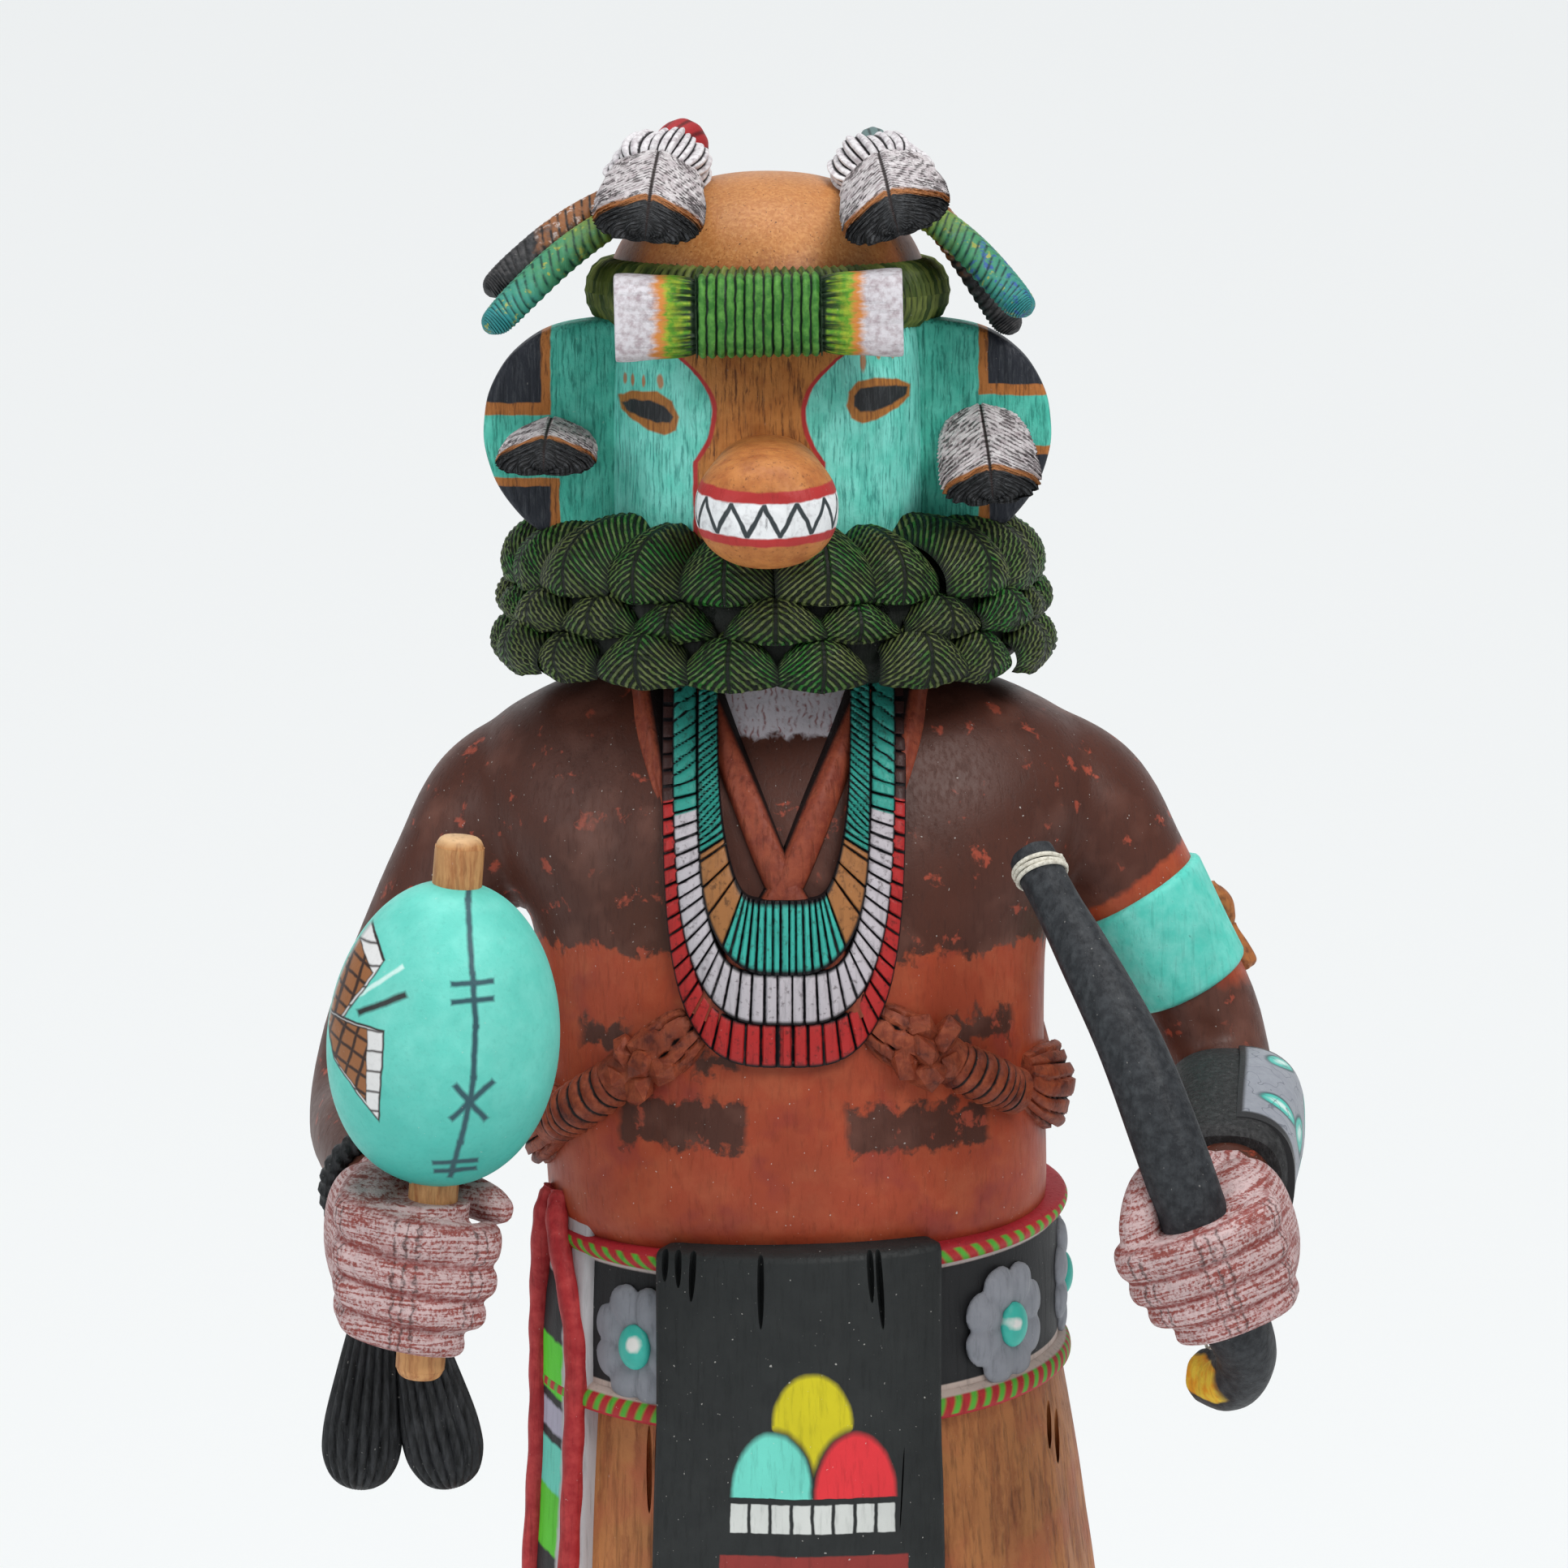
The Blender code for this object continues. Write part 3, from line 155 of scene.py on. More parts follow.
def aged_paint():
    """Thin paint on carved wood: fibres show through, the tone drifts, and pale dust has settled."""
    tree = bpy.data.node_groups.new("aged_paint", "ShaderNodeTree")
    for name, kind in (("Place", "Vector"), ("Lie", "Vector"), ("Paint", "Color"), ("Fibres", "Float"),
                       ("Drift", "Float"), ("Dust", "Float")):
        tree.interface.new_socket(name, in_out="INPUT", socket_type="NodeSocket" + kind)
    for name, kind in (("Paint", "Color"), ("Roughness", "Float"), ("Height", "Float")):
        tree.interface.new_socket(name, in_out="OUTPUT", socket_type="NodeSocket" + kind)
    n = Nodes(tree)
    given = tree.nodes.new("NodeGroupInput")
    taken = tree.nodes.new("NodeGroupOutput")
    laid = n.step("VectorMath", given.outputs["Place"], given.outputs["Lie"], operation="MULTIPLY").outputs[0]
    fibre = n.noise(laid, 1500, 5.0)
    streak = n.both(n.ramp(fibre, 0.52, 0.72), given.outputs["Fibres"])
    drift = n.calc("SUBTRACT", n.noise(given.outputs["Place"], 110, 5.0), 0.5)
    tone = n.calc("MULTIPLY_ADD", drift, given.outputs["Drift"], 1.0)
    tone = n.both(tone, n.calc("MULTIPLY_ADD", streak, -0.6, 1.0))
    shaded = n.step("VectorMath", given.outputs["Paint"], None, None, tone, operation="SCALE").outputs[0]
    dust = n.both(n.ramp(n.noise(given.outputs["Place"], 1900, 1.0), 0.76, 0.79), given.outputs["Dust"])
    n.give(taken.inputs["Paint"], n.over(shaded, (0.72, 0.7, 0.66), dust))
    n.give(taken.inputs["Roughness"], n.calc("MULTIPLY_ADD", fibre, 0.3, 0.4))
    fine = n.calc("MULTIPLY", n.noise(given.outputs["Place"], 2600, 2.0), 0.25)
    n.give(taken.inputs["Height"], n.calc("MULTIPLY_ADD", streak, -1.0, fine))
    return tree


AGED_PAINT = aged_paint()


class Finish(Nodes):
    """One painted finish. x, y and z are the place on the doll in carving units, with a slight waver
    that makes each edge look brushed by hand."""

    def __init__(self, name, waver=0.3):
        self.material = bpy.data.materials.new(name)
        self.material.use_nodes = True
        super().__init__(self.material.node_tree)
        self.place = self.step("TexCoord").outputs["Object"]
        raised = self.step("VectorMath", self.place, (0, 0, SOLE), operation="SUBTRACT").outputs[0]
        units = self.step("VectorMath", raised, None, None, 1 / UNIT, operation="SCALE").outputs[0]
        shake = self.step("TexNoise", units)
        shake.inputs["Scale"].default_value = 0.45
        shake_colour = shake.outputs["Color"]
        shift = self.step("VectorMath", shake_colour, (0.5, 0.5, 0.5), operation="SUBTRACT").outputs[0]
        shift = self.step("VectorMath", shift, None, None, 4 * waver, operation="SCALE").outputs[0]
        self.units = self.step("VectorMath", units, shift, operation="ADD").outputs[0]
        self.x, self.y, self.z = self.step("SeparateXYZ", self.units).outputs

    def mottled(self, below, colour, low, high, scale, detail=3.0):
        """A colour laid in patches: none where the noise is under low, all where it is over high."""
        return self.over(below, colour, self.ramp(self.noise(self.units, scale, detail), low, high))

    def streaked(self, stretch, scale, detail):
        """Noise drawn out where the stretch is small."""
        drawn = self.step("VectorMath", self.units, stretch, operation="MULTIPLY").outputs[0]
        return self.noise(drawn, scale, detail)

    def wave(self, value):
        """A half at whole numbers, falling to nothing halfway between them."""
        return self.calc("PINGPONG", self.calc("ADD", value, 0.5), 0.5)

    def round_and_along(self):
        """How far round (0 to 1) and how far along (0 to 1) the piece's own skin."""
        found = self.step("SeparateXYZ", self.step("UVMap", uv_map="UVMap").outputs[0]).outputs
        return found[0], found[1]

    def mark(self, name):
        return self.step("Attribute", attribute_name=name).outputs["Fac"]

    def done(self, paint, fibres=0.5, drift=0.5, dust=0.15, bump=0.3, lie=(1, 1, 0.09), gloss=None,
             cuts=None):
        """Ages the paint, feeds the shader, and gives back the material. Cuts are shallow grooves."""
        shader = self.tree.nodes["Principled BSDF"]
        aged = self.step("Group", node_tree=AGED_PAINT)
        for name, source in (("Place", self.place), ("Lie", lie), ("Paint", paint), ("Fibres", fibres),
                             ("Drift", drift), ("Dust", dust)):
            self.give(aged.inputs[name], source)
        self.give(shader.inputs["Base Color"], aged.outputs["Paint"])
        rough = aged.outputs["Roughness"]
        if gloss is not None:
            rough = self.calc("ADD", rough, gloss)
        self.give(shader.inputs["Roughness"], rough)
        shader.inputs["Specular IOR Level"].default_value = 0.28
        relief = self.step("Bump")
        relief.inputs["Strength"].default_value = bump
        relief.inputs["Distance"].default_value = 0.0005
        self.give(relief.inputs["Height"], aged.outputs["Height"])
        if cuts is not None:
            carved = self.step("Bump")
            carved.invert = True
            carved.inputs["Strength"].default_value = 0.9
            carved.inputs["Distance"].default_value = 0.0007
            self.give(carved.inputs["Height"], cuts)
            self.give(relief.inputs["Normal"], carved.outputs[0])
        self.give(shader.inputs["Normal"], relief.outputs[0])
        return self.material


def deselect():
    bpy.ops.object.select_all(action="DESELECT")


def set_on_doll(piece, material, slot, *solids):
    """Gives a finished piece its paint and its place, instead of the frame's plain solids."""
    piece.data.materials.clear()
    piece.data.materials.append(material)
    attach(piece, "root")
    if solids:
        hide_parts(*solids)


base_low, base_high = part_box("base")
base_size = base_high - base_low
deselect()
bpy.ops.mesh.primitive_cylinder_add(vertices=128, radius=0.5, depth=1, location=(0, 0, 0))
turned_base = bpy.context.object
turned_base.name = "turned_base"
bpy.ops.transform.resize(value=tuple(base_size))
bpy.ops.transform.translate(value=tuple((base_low + base_high) / 2))
bpy.ops.object.transform_apply(location=True, rotation=True, scale=True)
ease = turned_base.modifiers.new("ease", "BEVEL")
ease.width = BASE_EASE
ease.segments = 5
bpy.ops.object.modifier_apply(modifier=ease.name)
bpy.ops.object.shade_smooth_by_angle(angle=math.radians(50))

f = Finish("waxed_root_wood")
ring_tone = f.noise(f.step("VectorMath", f.place, (1, 0.12, 1), operation="MULTIPLY").outputs[0], 260, 6.0)
wood = f.over((0.46, 0.25, 0.1), (0.3, 0.14, 0.05), f.ramp(ring_tone, 0.42, 0.62))
set_on_doll(turned_base, f.done(wood, 0.7, 0.5, 0.05, 0.25, (1, 0.08, 1), -0.1), "bare_wood", "base")


# Body. The torso, the arms and the legs are one length of root wood, rasped smooth and rubbed with
# earth paints: dark brown over the shoulders, red-oxide below, with a few dark daubs.
TORSO = [
    (126, 2.6, -2.5, 34.5, 27.0), (138, 2.4, -2.7, 34.5, 27.3), (150, 2.2, -2.8, 34.6, 27.6),
    (160, 1.9, -3.0, 35.4, 28.4), (172, 1.5, -3.2, 35.6, 29.0), (186, 1.2, -3.2, 35.6, 28.8),
    (198, 0.9, -2.8, 36.6, 28.0), (208, 0.5, -2.2, 41.0, 27.0), (217, 0.2, -1.2, 44.0, 25.0),
    (225, 0.0, 0.0, 41.5, 22.0), (230, -0.2, 0.2, 34.0, 19.0), (234, -0.6, 0.0, 24.0, 16.5),
    (240, -1.0, -0.5, 17.5, 15.0), (254, -1.6, -1.5, 17.0, 16.0),
]
TORSO_POWER = 2.35
LEFT_ARM = [
    (32, 1, 217, 12.6, 12.0), (41.2, 1, 212.8, 12.9, 11.6), (48.2, 0.5, 204, 11.0, 9.6),
    (54.2, 0.5, 194, 9.8, 8.5), (59.6, 1, 184, 9.0, 7.9), (62.0, 0, 175.5, 8.6, 7.6),
    (62.4, -9, 171.5, 8.2, 7.7), (62.0, -22, 171.5, 8.0, 7.8), (60.8, -36, 169.0, 7.0, 6.8),
    (59.8, -48, 165.5, 6.4, 6.2),
]
RIGHT_ARM = [
    (-32.4, 1, 216.5, 12.6, 12.0), (-40, 1, 212.3, 12.9, 11.6), (-46.6, 1, 203.4, 11.0, 9.6),
    (-52.2, 1.5, 193, 9.8, 8.5), (-57.2, 2, 182, 9.0, 7.9), (-59.6, 1, 173.5, 8.6, 7.6),
    (-59.4, -8, 169.5, 8.2, 7.7), (-57.6, -22, 169.5, 8.0, 7.7), (-55.4, -36, 168.0, 7.0, 6.8),
    (-53.2, -48, 165.5, 6.4, 6.2),
]
LEFT_FOOT = (18.5, -7)
RIGHT_FOOT = (-13, 0)
RED_OXIDE = (0.35, 0.055, 0.021)
EARTH_BROWN = (0.078, 0.025, 0.016)
WARM_SPOT = (0.42, 0.075, 0.04)
# Half-dry daubs of dark paint on the belly: centre x and z, half width and half height
DAUBS = [(-14.0, 173.4, 8.8, 3.4), (18.4, 172.8, 9.8, 3.1), (-24.8, 184.8, 3.4, 1.5), (27.2, 185.8, 4.6, 2.2),
         (-9.2, 182.2, 3.2, 1.1)]


def read(stations, share):
    """The station at a share of the way along, on a smooth curve through the given ones."""
    t = max(0.0, min(1.0, share)) * (len(stations) - 1)
    i = min(int(t), len(stations) - 2)
    f = t - i
    near = [stations[max(i - 1, 0)], stations[i], stations[i + 1], stations[min(i + 2, len(stations) - 1)]]
    return [0.5 * (2 * b + (c - a) * f + (2 * a - 5 * b + 4 * c - d) * f ** 2
                   + (3 * b - a - 3 * c + d) * f ** 3) for a, b, c, d in zip(*near)]


def between(stations, value):
    """The station at a value of the first column."""
    for low, high in zip(stations, stations[1:]):
        if value <= high[0]:
            share = max(0.0, (value - low[0]) / (high[0] - low[0]))
            return [a + (b - a) * share for a, b in zip(low, high)]
    return list(stations[-1])


def rounded(turn, power=2.0):
    """A point on a unit oval at a share of a turn: an ellipse at power 2, squarer above it."""
    c, s = math.cos(2 * math.pi * turn), math.sin(2 * math.pi * turn)
    return math.copysign(abs(c) ** (2 / power), c), math.copysign(abs(s) ** (2 / power), s)


def wrap(name, turns, length, spot):
    """A grid wrapped into one closed skin: spot(u, v) places its points, u once round, v end to end."""
    deselect()
    bpy.ops.mesh.primitive_grid_add(x_subdivisions=turns, y_subdivisions=length, size=1, location=(0, 0, 0))
    skin = bpy.context.object
    skin.name = name
    for corner in skin.data.vertices:
        corner.co = spot(corner.co.x + 0.5, corner.co.y + 0.5)
    bpy.ops.object.mode_set(mode="EDIT")
    bpy.ops.mesh.select_all(action="SELECT")
    bpy.ops.mesh.remove_doubles(threshold=2e-6)
    bpy.ops.mesh.fill_holes(sides=0)
    bpy.ops.mesh.select_all(action="SELECT")
    bpy.ops.mesh.normals_make_consistent(inside=False)
    bpy.ops.object.mode_set(mode="OBJECT")
    bpy.ops.object.shade_smooth_by_angle(angle=math.radians(45))
    return skin


def limb(name, turns, length, stations, up, power=2.0, extra=0.0, relief=None, part=(0.0, 1.0)):
    """A rod along a smooth line of stations, each with its place, half width and half height."""
    def spot(u, v):
        share = part[0] + (part[1] - part[0]) * v
        row = read(stations, share)
        ahead = at(*read(stations, share + 0.01)[:3]) - at(*read(stations, share - 0.01)[:3])
        middle = at(*row[:3])
        raised = up(middle) if callable(up) else up
        across = ahead.normalized().cross(raised).normalized()
        over = across.cross(ahead.normalized())
        wide, high = rounded(u, power)
        swell = extra + (relief(u, v) if relief else 0.0)
        return middle + (across * wide * (row[3] + swell) + over * high * (row[4] + swell)) * UNIT
    return wrap(name, turns, length, spot)


def join(name, pieces):
    deselect()
    for piece in pieces:
        piece.select_set(True)
    bpy.context.view_layer.objects.active = pieces[0]
    bpy.ops.object.join()
    pieces[0].name = name
    return pieces[0]


def carve_as_one(name, pieces, grit, passes):
    """Overlapping pieces become one skin, with their joins blended as a rasp would."""
    block = join(name, pieces)
    remesh = block.modifiers.new("remesh", "REMESH")
    remesh.mode = "VOXEL"
    remesh.voxel_size = grit * UNIT
    bpy.ops.object.modifier_apply(modifier=remesh.name)
    if passes:
        rub = block.modifiers.new("rub", "SMOOTH")
        rub.factor = 0.6
        rub.iterations = passes
        bpy.ops.object.modifier_apply(modifier=rub.name)
    bpy.ops.object.shade_smooth()
    return block


X_AXIS = Vector((1, 0, 0))
Y_AXIS = Vector((0, 1, 0))
Z_AXIS = Vector((0, 0, 1))
TORSO_ROWS = [read(TORSO, i / 130) for i in range(131)]


def torso_spot(u, v):
    z, x, y, wide, deep = read(TORSO, v)
    a, b = rounded(u, TORSO_POWER)
    waist = 0.9 + 0.1 * max(0.0, min(1.0, (z - 150) / 8))
    return at(x + wide * waist * a, y + deep * waist * b, z)


def shoe_spot(foot):
    """A soft shoe: each section is a dome on a straight sole."""
    stations = [(12.5, 1.0, 4), (12, 4.0, 7), (9, 6.6, 12), (2, 7.6, 14), (-6, 7.6, 12.5), (-15, 8.2, 9.5),
                (-22, 7.6, 7.5), (-26.0, 5.2, 5.2), (-26.9, 2.0, 3.0)]

    def spot(u, v):
        ahead, half, height = read(stations, v)
        if u < 0.75:
            turn = math.pi * u / 0.75
            return at(foot[0] + half * math.cos(turn), foot[1] + ahead, height * math.sin(turn) ** 0.7)
        return at(foot[0] + half * (8 * (u - 0.75) - 1), foot[1] + ahead, 0)
    return spot


body = carve_as_one("body", [
    wrap("torso", 96, 100, torso_spot),
    limb("left_arm", 48, 80, LEFT_ARM, X_AXIS),
    limb("right_arm", 48, 80, RIGHT_ARM, X_AXIS),
], 1.15, 4)

f = Finish("rubbed_body_paint", 0.5)
ragged = f.calc("MULTIPLY_ADD", f.noise(f.units, 0.35, 6.0), 9.0, -4.5)
height = f.calc("ADD", f.z, ragged)
warm = f.noise(f.units, 0.16, 5.0)
skin = f.over(RED_OXIDE, (0.4, 0.085, 0.035), f.ramp(warm, 0.45, 0.7))
skin = f.mottled(skin, (0.26, 0.035, 0.025), 0.55, 0.75, 0.09)
side = f.calc("ABSOLUTE", f.calc("SUBTRACT", f.x, 1.0))
# The arms stay dark below the chest's edge, but for a red strip above the band on the left one
slope = f.calc("MULTIPLY_ADD", f.x, -0.7, f.z)
strip = f.both(f.ramp(slope, 169.8, 168.9), f.ramp(f.x, 41.5, 42), f.ramp(f.z, 188, 190))
arm = f.both(f.ramp(side, 40.5, 41.5), f.calc("SUBTRACT", 1.0, strip))
dark = f.any_of(f.both(f.ramp(height, 196.2, 197.2), f.calc("SUBTRACT", 1.0, strip)), arm)
for x, z, half_width, half_height in DAUBS:
    spot = f.area(f.x, height, [(x - half_width, z - half_height), (x + half_width, z - half_height),
                                (x + half_width, z + half_height), (x - half_width, z + half_height)], 0.5)
    dark = f.any_of(dark, f.both(spot, f.ramp(f.y, -8, -12)))
warm_spots = f.both(f.ramp(f.noise(f.units, 0.28, 4.0), 0.62, 0.68), 0.75)
brown = f.over(EARTH_BROWN, WARM_SPOT, warm_spots)
brown = f.mottled(brown, (0.15, 0.06, 0.043), 0.5, 0.75, 0.1, 2.0)
skin = f.over(skin, brown, dark)
throat_edge = f.calc("ADD", f.z, f.calc("MULTIPLY", ragged, 0.5))
throat = f.both(f.ramp(throat_edge, 225.6, 226.4), f.within(f.x, -11.5, 11.0, 0.4), f.ramp(f.y, -10, -12))
chalk = f.over((0.62, 0.57, 0.62), (0.3, 0.12, 0.12), f.stripes(f.x, 0.9, 0.3, 0.15))
skin = f.over(skin, f.mottled((0.62, 0.57, 0.62), chalk, 0.45, 0.6, 0.8), throat)
BODY_FINISH = f.done(skin, 0.35, 0.6, 0.5, 0.2, (1, 1, 0.2), -0.1)
set_on_doll(body, BODY_FINISH, "body_paint", "figure")

legs = []
for side_name, (x, y) in (("left", LEFT_FOOT), ("right", RIGHT_FOOT)):
    shin = [(x, y + 2, 9, 7.9, 8.2), (x, y + 2, 17, 7.4, 7.8), (x, y + 2.5, 34, 9.6, 10.2),
            (x, y + 1.5, 48, 10.6, 11.0), (x * 0.95, y * 0.6 + 0.5, 64, 10.2, 10.6),
            (x * 0.90, y * 0.3, 84, 12.5, 13.0)]
    legs.append(limb(f"{side_name}_leg", 48, 60, shin, Y_AXIS))
set_on_doll(join("legs", legs), BODY_FINISH, "body_paint")

f = Finish("moccasin_paint", 0.4)
hide = f.mottled((0.3, 0.085, 0.035), (0.2, 0.05, 0.025), 0.4, 0.65, 0.3, 4.0)
hide = f.over(hide, (0.62, 0.57, 0.5), f.ramp(f.z, 1.8, 1.4))
hide = f.over(hide, (0.03, 0.02, 0.02), f.within(f.z, 1.6, 2.2, 0.15))
SHOE_FINISH = f.done(hide, 0.3, 0.5, 0.2)
shoes = [wrap("shoe", 64, 64, shoe_spot(foot)) for foot in (LEFT_FOOT, RIGHT_FOOT)]
anklets = []
for x, y in (LEFT_FOOT, RIGHT_FOOT):
    cuff = [(x, y + 2, 13.2, 7.8, 8.2), (x, y + 2, 14.0, 8.6, 9.0), (x, y + 2, 17.5, 8.6, 9.0),
            (x, y + 2, 18.3, 7.4, 7.8)]
    anklets.append(limb("anklet", 48, 16, cuff, Y_AXIS))
set_on_doll(join("moccasins", shoes), SHOE_FINISH, "body_paint")
f = Finish("anklet_paint", 0.3)
fringe = f.over((0.05, 0.4, 0.33), (0.03, 0.03, 0.03), f.stripes(f.x, 1.6, 0.35))
set_on_doll(join("anklets", anklets), f.done(fringe, 0.2, 0.4), "turquoise_paint")


# Kilt. Carved on the same block from belt to knee, with shallow folds and a few knife slits, and
# stained golden brown so that the wood's grain shows.
HEM = 70
BELT_LOW = 130.5
BELT_TOP = 155.0
# How much the belt rises towards the doll's left and towards its back
BELT_TILT = (0.03, 0.11)
KILT = [(HEM, 5.4, -1.5, 41.2, 33.0), (85, 5.2, -1.8, 40.4, 32.5), (102, 5.0, -2.0, 39.4, 31.8),
        (118, 4.2, -2.4, 37.9, 30.4), (BELT_LOW + 2, 3.2, -2.6, 36.0, 29.0)]
FOLDS = 12
KILT_SLITS = [(-18.8, 123.6, 6.4), (-17.6, 124.2, 7.2), (38.6, 124.0, 6.6), (37.4, 126.0, 5.0)]


def knife_cuts(piece, cuts, y, half_width=0.42, depth=1.7):
    """Cuts narrow slits into a front face: each has its place x and z, its half length and its lean."""
    blades = []
    for x, z, half_length, *lean in cuts:
        deselect()
        bpy.ops.mesh.primitive_uv_sphere_add(segments=10, ring_count=12, radius=1, location=(0, 0, 0))
        blade = bpy.context.object
        bpy.ops.transform.resize(value=(half_width * UNIT, depth * UNIT, half_length * UNIT))
        bpy.ops.object.transform_apply(location=True, rotation=True, scale=True)
        turn = Matrix.Rotation(math.radians(lean[0] if lean else 0), 4, "Y")
        blade.data.transform(Matrix.Translation(at(x, y(x, z), z)) @ turn)
        blades.append(blade)
    cutter = join("cutter", blades)
    cut = piece.modifiers.new("slits", "BOOLEAN")
    cut.operation = "DIFFERENCE"
    cut.solver = "EXACT"
    cut.object = cutter
    bpy.context.view_layer.objects.active = piece
    bpy.ops.object.modifier_apply(modifier=cut.name)
    bpy.data.objects.remove(cutter)


def kilt_spot(u, v):
    z, x, y, wide, deep = read(KILT, v)
    fold = 0.7 * (BELT_LOW + 2 - z) / (BELT_LOW - HEM)
    turn = 2 * math.pi * u
    swell = fold * (math.cos(FOLDS * turn) + 0.35 * math.cos(31 * turn + 2 * v))
    px, py = x + (wide + swell) * math.cos(turn), y + (deep + swell) * math.sin(turn)
    under_belt = max(0.0, (z - 112) / (BELT_LOW + 2 - 112))
    return at(px, py, z + under_belt * (BELT_TILT[0] * px + BELT_TILT[1] * max(0.0, py - y + deep)))


def kilt_front(x, z):
    """How far forward the kilt's face is at x and z."""
    _, cx, cy, wide, deep = between(KILT, z)
    return cy - deep * math.sqrt(max(0.0, 1 - ((x - cx) / wide) ** 2))


kilt = wrap("kilt", 186, 56, kilt_spot)
knife_cuts(kilt, KILT_SLITS, kilt_front)
f = Finish("golden_brown_stain", 0.4)
grain = f.streaked((1, 1, 0.09), 0.55, 7.0)
stain = f.over((0.46, 0.18, 0.06), (0.27, 0.085, 0.028), f.ramp(grain, 0.45, 0.68))
stain = f.mottled(stain, (0.44, 0.12, 0.05), 0.52, 0.68, 0.06)
set_on_doll(kilt, f.done(stain, 0.8, 0.5, 0.12, 0.35, (1, 1, 0.06), -0.05), "body_paint")


# Belt. Carved in the block: a black strap between two rolled trims, tilted as it was cut, with
# eight-petalled metal-grey plates and turquoise stones carved on it and picked out in paint. Each
# stone has a painted highlight.
BELT = (2.7, -2.6, 36.4, 30.0)
BELT_PROFILE = [(0.0, -0.6), (0.0, 1.0), (0.5, 1.7), (1.4, 1.9), (2.4, 1.7), (3.0, 1.2), (3.6, 0.3),
                (4.2, 0.0), (9.0, 0.0), (15.0, -0.1), (20.6, -0.3), (21.2, -0.2), (22.0, 0.7), (22.8, 1.2),
                (23.6, 1.2), (24.3, 0.6), (24.5, -1.0)]
PLATE_ANGLES = [52, 95, 137, 179, 221, 321]
PLATE_LEVEL = BELT_LOW + 10.6
PLATE_RADIUS = 7.9
FLOWER_RADIUS = 7.1
PETALS = 8
TRIM_RED = (0.45, 0.025, 0.03)
TRIM_GREEN = (0.1, 0.42, 0.04)


def belt_spot(degrees, z, lift):
    """A place off the belt's oval, which is higher behind and on the doll's left."""
    x, y, wide, deep = BELT
    px = x + (wide + lift) * math.sin(math.radians(degrees))
    py = y - (deep + lift) * math.cos(math.radians(degrees))
    return at(px, py, z + BELT_TILT[0] * px + BELT_TILT[1] * (py - y + deep))


def strap_spot(u, v):
    rise, lift = read(BELT_PROFILE, v)
    return belt_spot(360 * u, BELT_LOW + rise, lift)


def mark(piece, name, measure):
    """Notes a value at each of the piece's points, for its paint to follow."""
    note = piece.data.attributes.new(name, "FLOAT", "POINT")
    for value, corner in zip(note.data, piece.data.vertices):
        value.value = measure(corner.co)


def smooth_outside(piece):
    """Turns each face's front outwards and shades the piece smooth."""
    bpy.context.view_layer.objects.active = piece
    bpy.ops.object.mode_set(mode="EDIT")
    bpy.ops.mesh.select_all(action="SELECT")
    bpy.ops.mesh.normals_make_consistent(inside=False)
    bpy.ops.object.mode_set(mode="OBJECT")
    bpy.ops.object.shade_smooth()


def belt_rise(place):
    x = place.x / UNIT
    y = place.y / UNIT
    return (place.z - SOLE) / UNIT - BELT_LOW - BELT_TILT[0] * x - BELT_TILT[1] * (y - BELT[1] + BELT[3])


belt = wrap("belt", 220, 56, strap_spot)
mark(belt, "rise", belt_rise)
f = Finish("belt_paint", 0.15)
turn, _ = f.round_and_along()
rise = f.mark("rise")
length = f.calc("MULTIPLY", turn, 209)
lean = f.calc("MULTIPLY_ADD", rise, -0.35, length)
high_lean = f.calc("MULTIPLY_ADD", rise, 0.9, length)
hatch = f.over(TRIM_RED, TRIM_GREEN, f.stripes(lean, 2.4, 0.42))
high_hatch = f.over(TRIM_RED, TRIM_GREEN, f.stripes(high_lean, 2.6, 0.4))
paint = f.over((0.018, 0.019, 0.021), (0.58, 0.47, 0.42), f.ramp(rise, 4.5, 4.3))
paint = f.over(paint, hatch, f.ramp(rise, 3.1, 2.9))
paint = f.over(paint, (0.45, 0.02, 0.03), f.ramp(rise, 0.75, 0.6))
paint = f.over(paint, (0.55, 0.47, 0.45), f.ramp(rise, 20.9, 21.1))
paint = f.over(paint, high_hatch, f.ramp(rise, 21.6, 21.8))
paint = f.over(paint, (0.4, 0.02, 0.03), f.ramp(rise, 23.8, 24.0))
set_on_doll(belt, f.done(paint, 0.4, 0.3, 0.3, 0.3), "black_paint")

petals = []
for number in range(PETALS):
    turn = 2 * math.pi * (number + 0.5) / PETALS
    deselect()
    bpy.ops.mesh.primitive_uv_sphere_add(segments=20, ring_count=12, radius=1, location=(0, 0, 0))
    petal = bpy.context.object
    for corner in petal.data.vertices:
        corner.co.y *= 0.86 + 0.28 * corner.co.x
    bpy.ops.transform.resize(value=(3.0, 2.95, 1.15))
    bpy.ops.transform.translate(value=(5.0, 0, 0.1))
    bpy.ops.object.transform_apply(location=True, rotation=True, scale=True)
    petal.data.transform(Matrix.Rotation(turn, 4, "Z"))
    petals.append(petal)
deselect()
bpy.ops.mesh.primitive_cylinder_add(vertices=32, radius=3.4, depth=3.4, location=(0, 0, -1.2))
bpy.ops.object.transform_apply(location=True, rotation=True, scale=True)
petals.append(bpy.context.object)
flower = join("flower", petals)
remesh = flower.modifiers.new("remesh", "REMESH")
remesh.mode = "VOXEL"
remesh.voxel_size = 0.42
bpy.ops.object.modifier_apply(modifier=remesh.name)

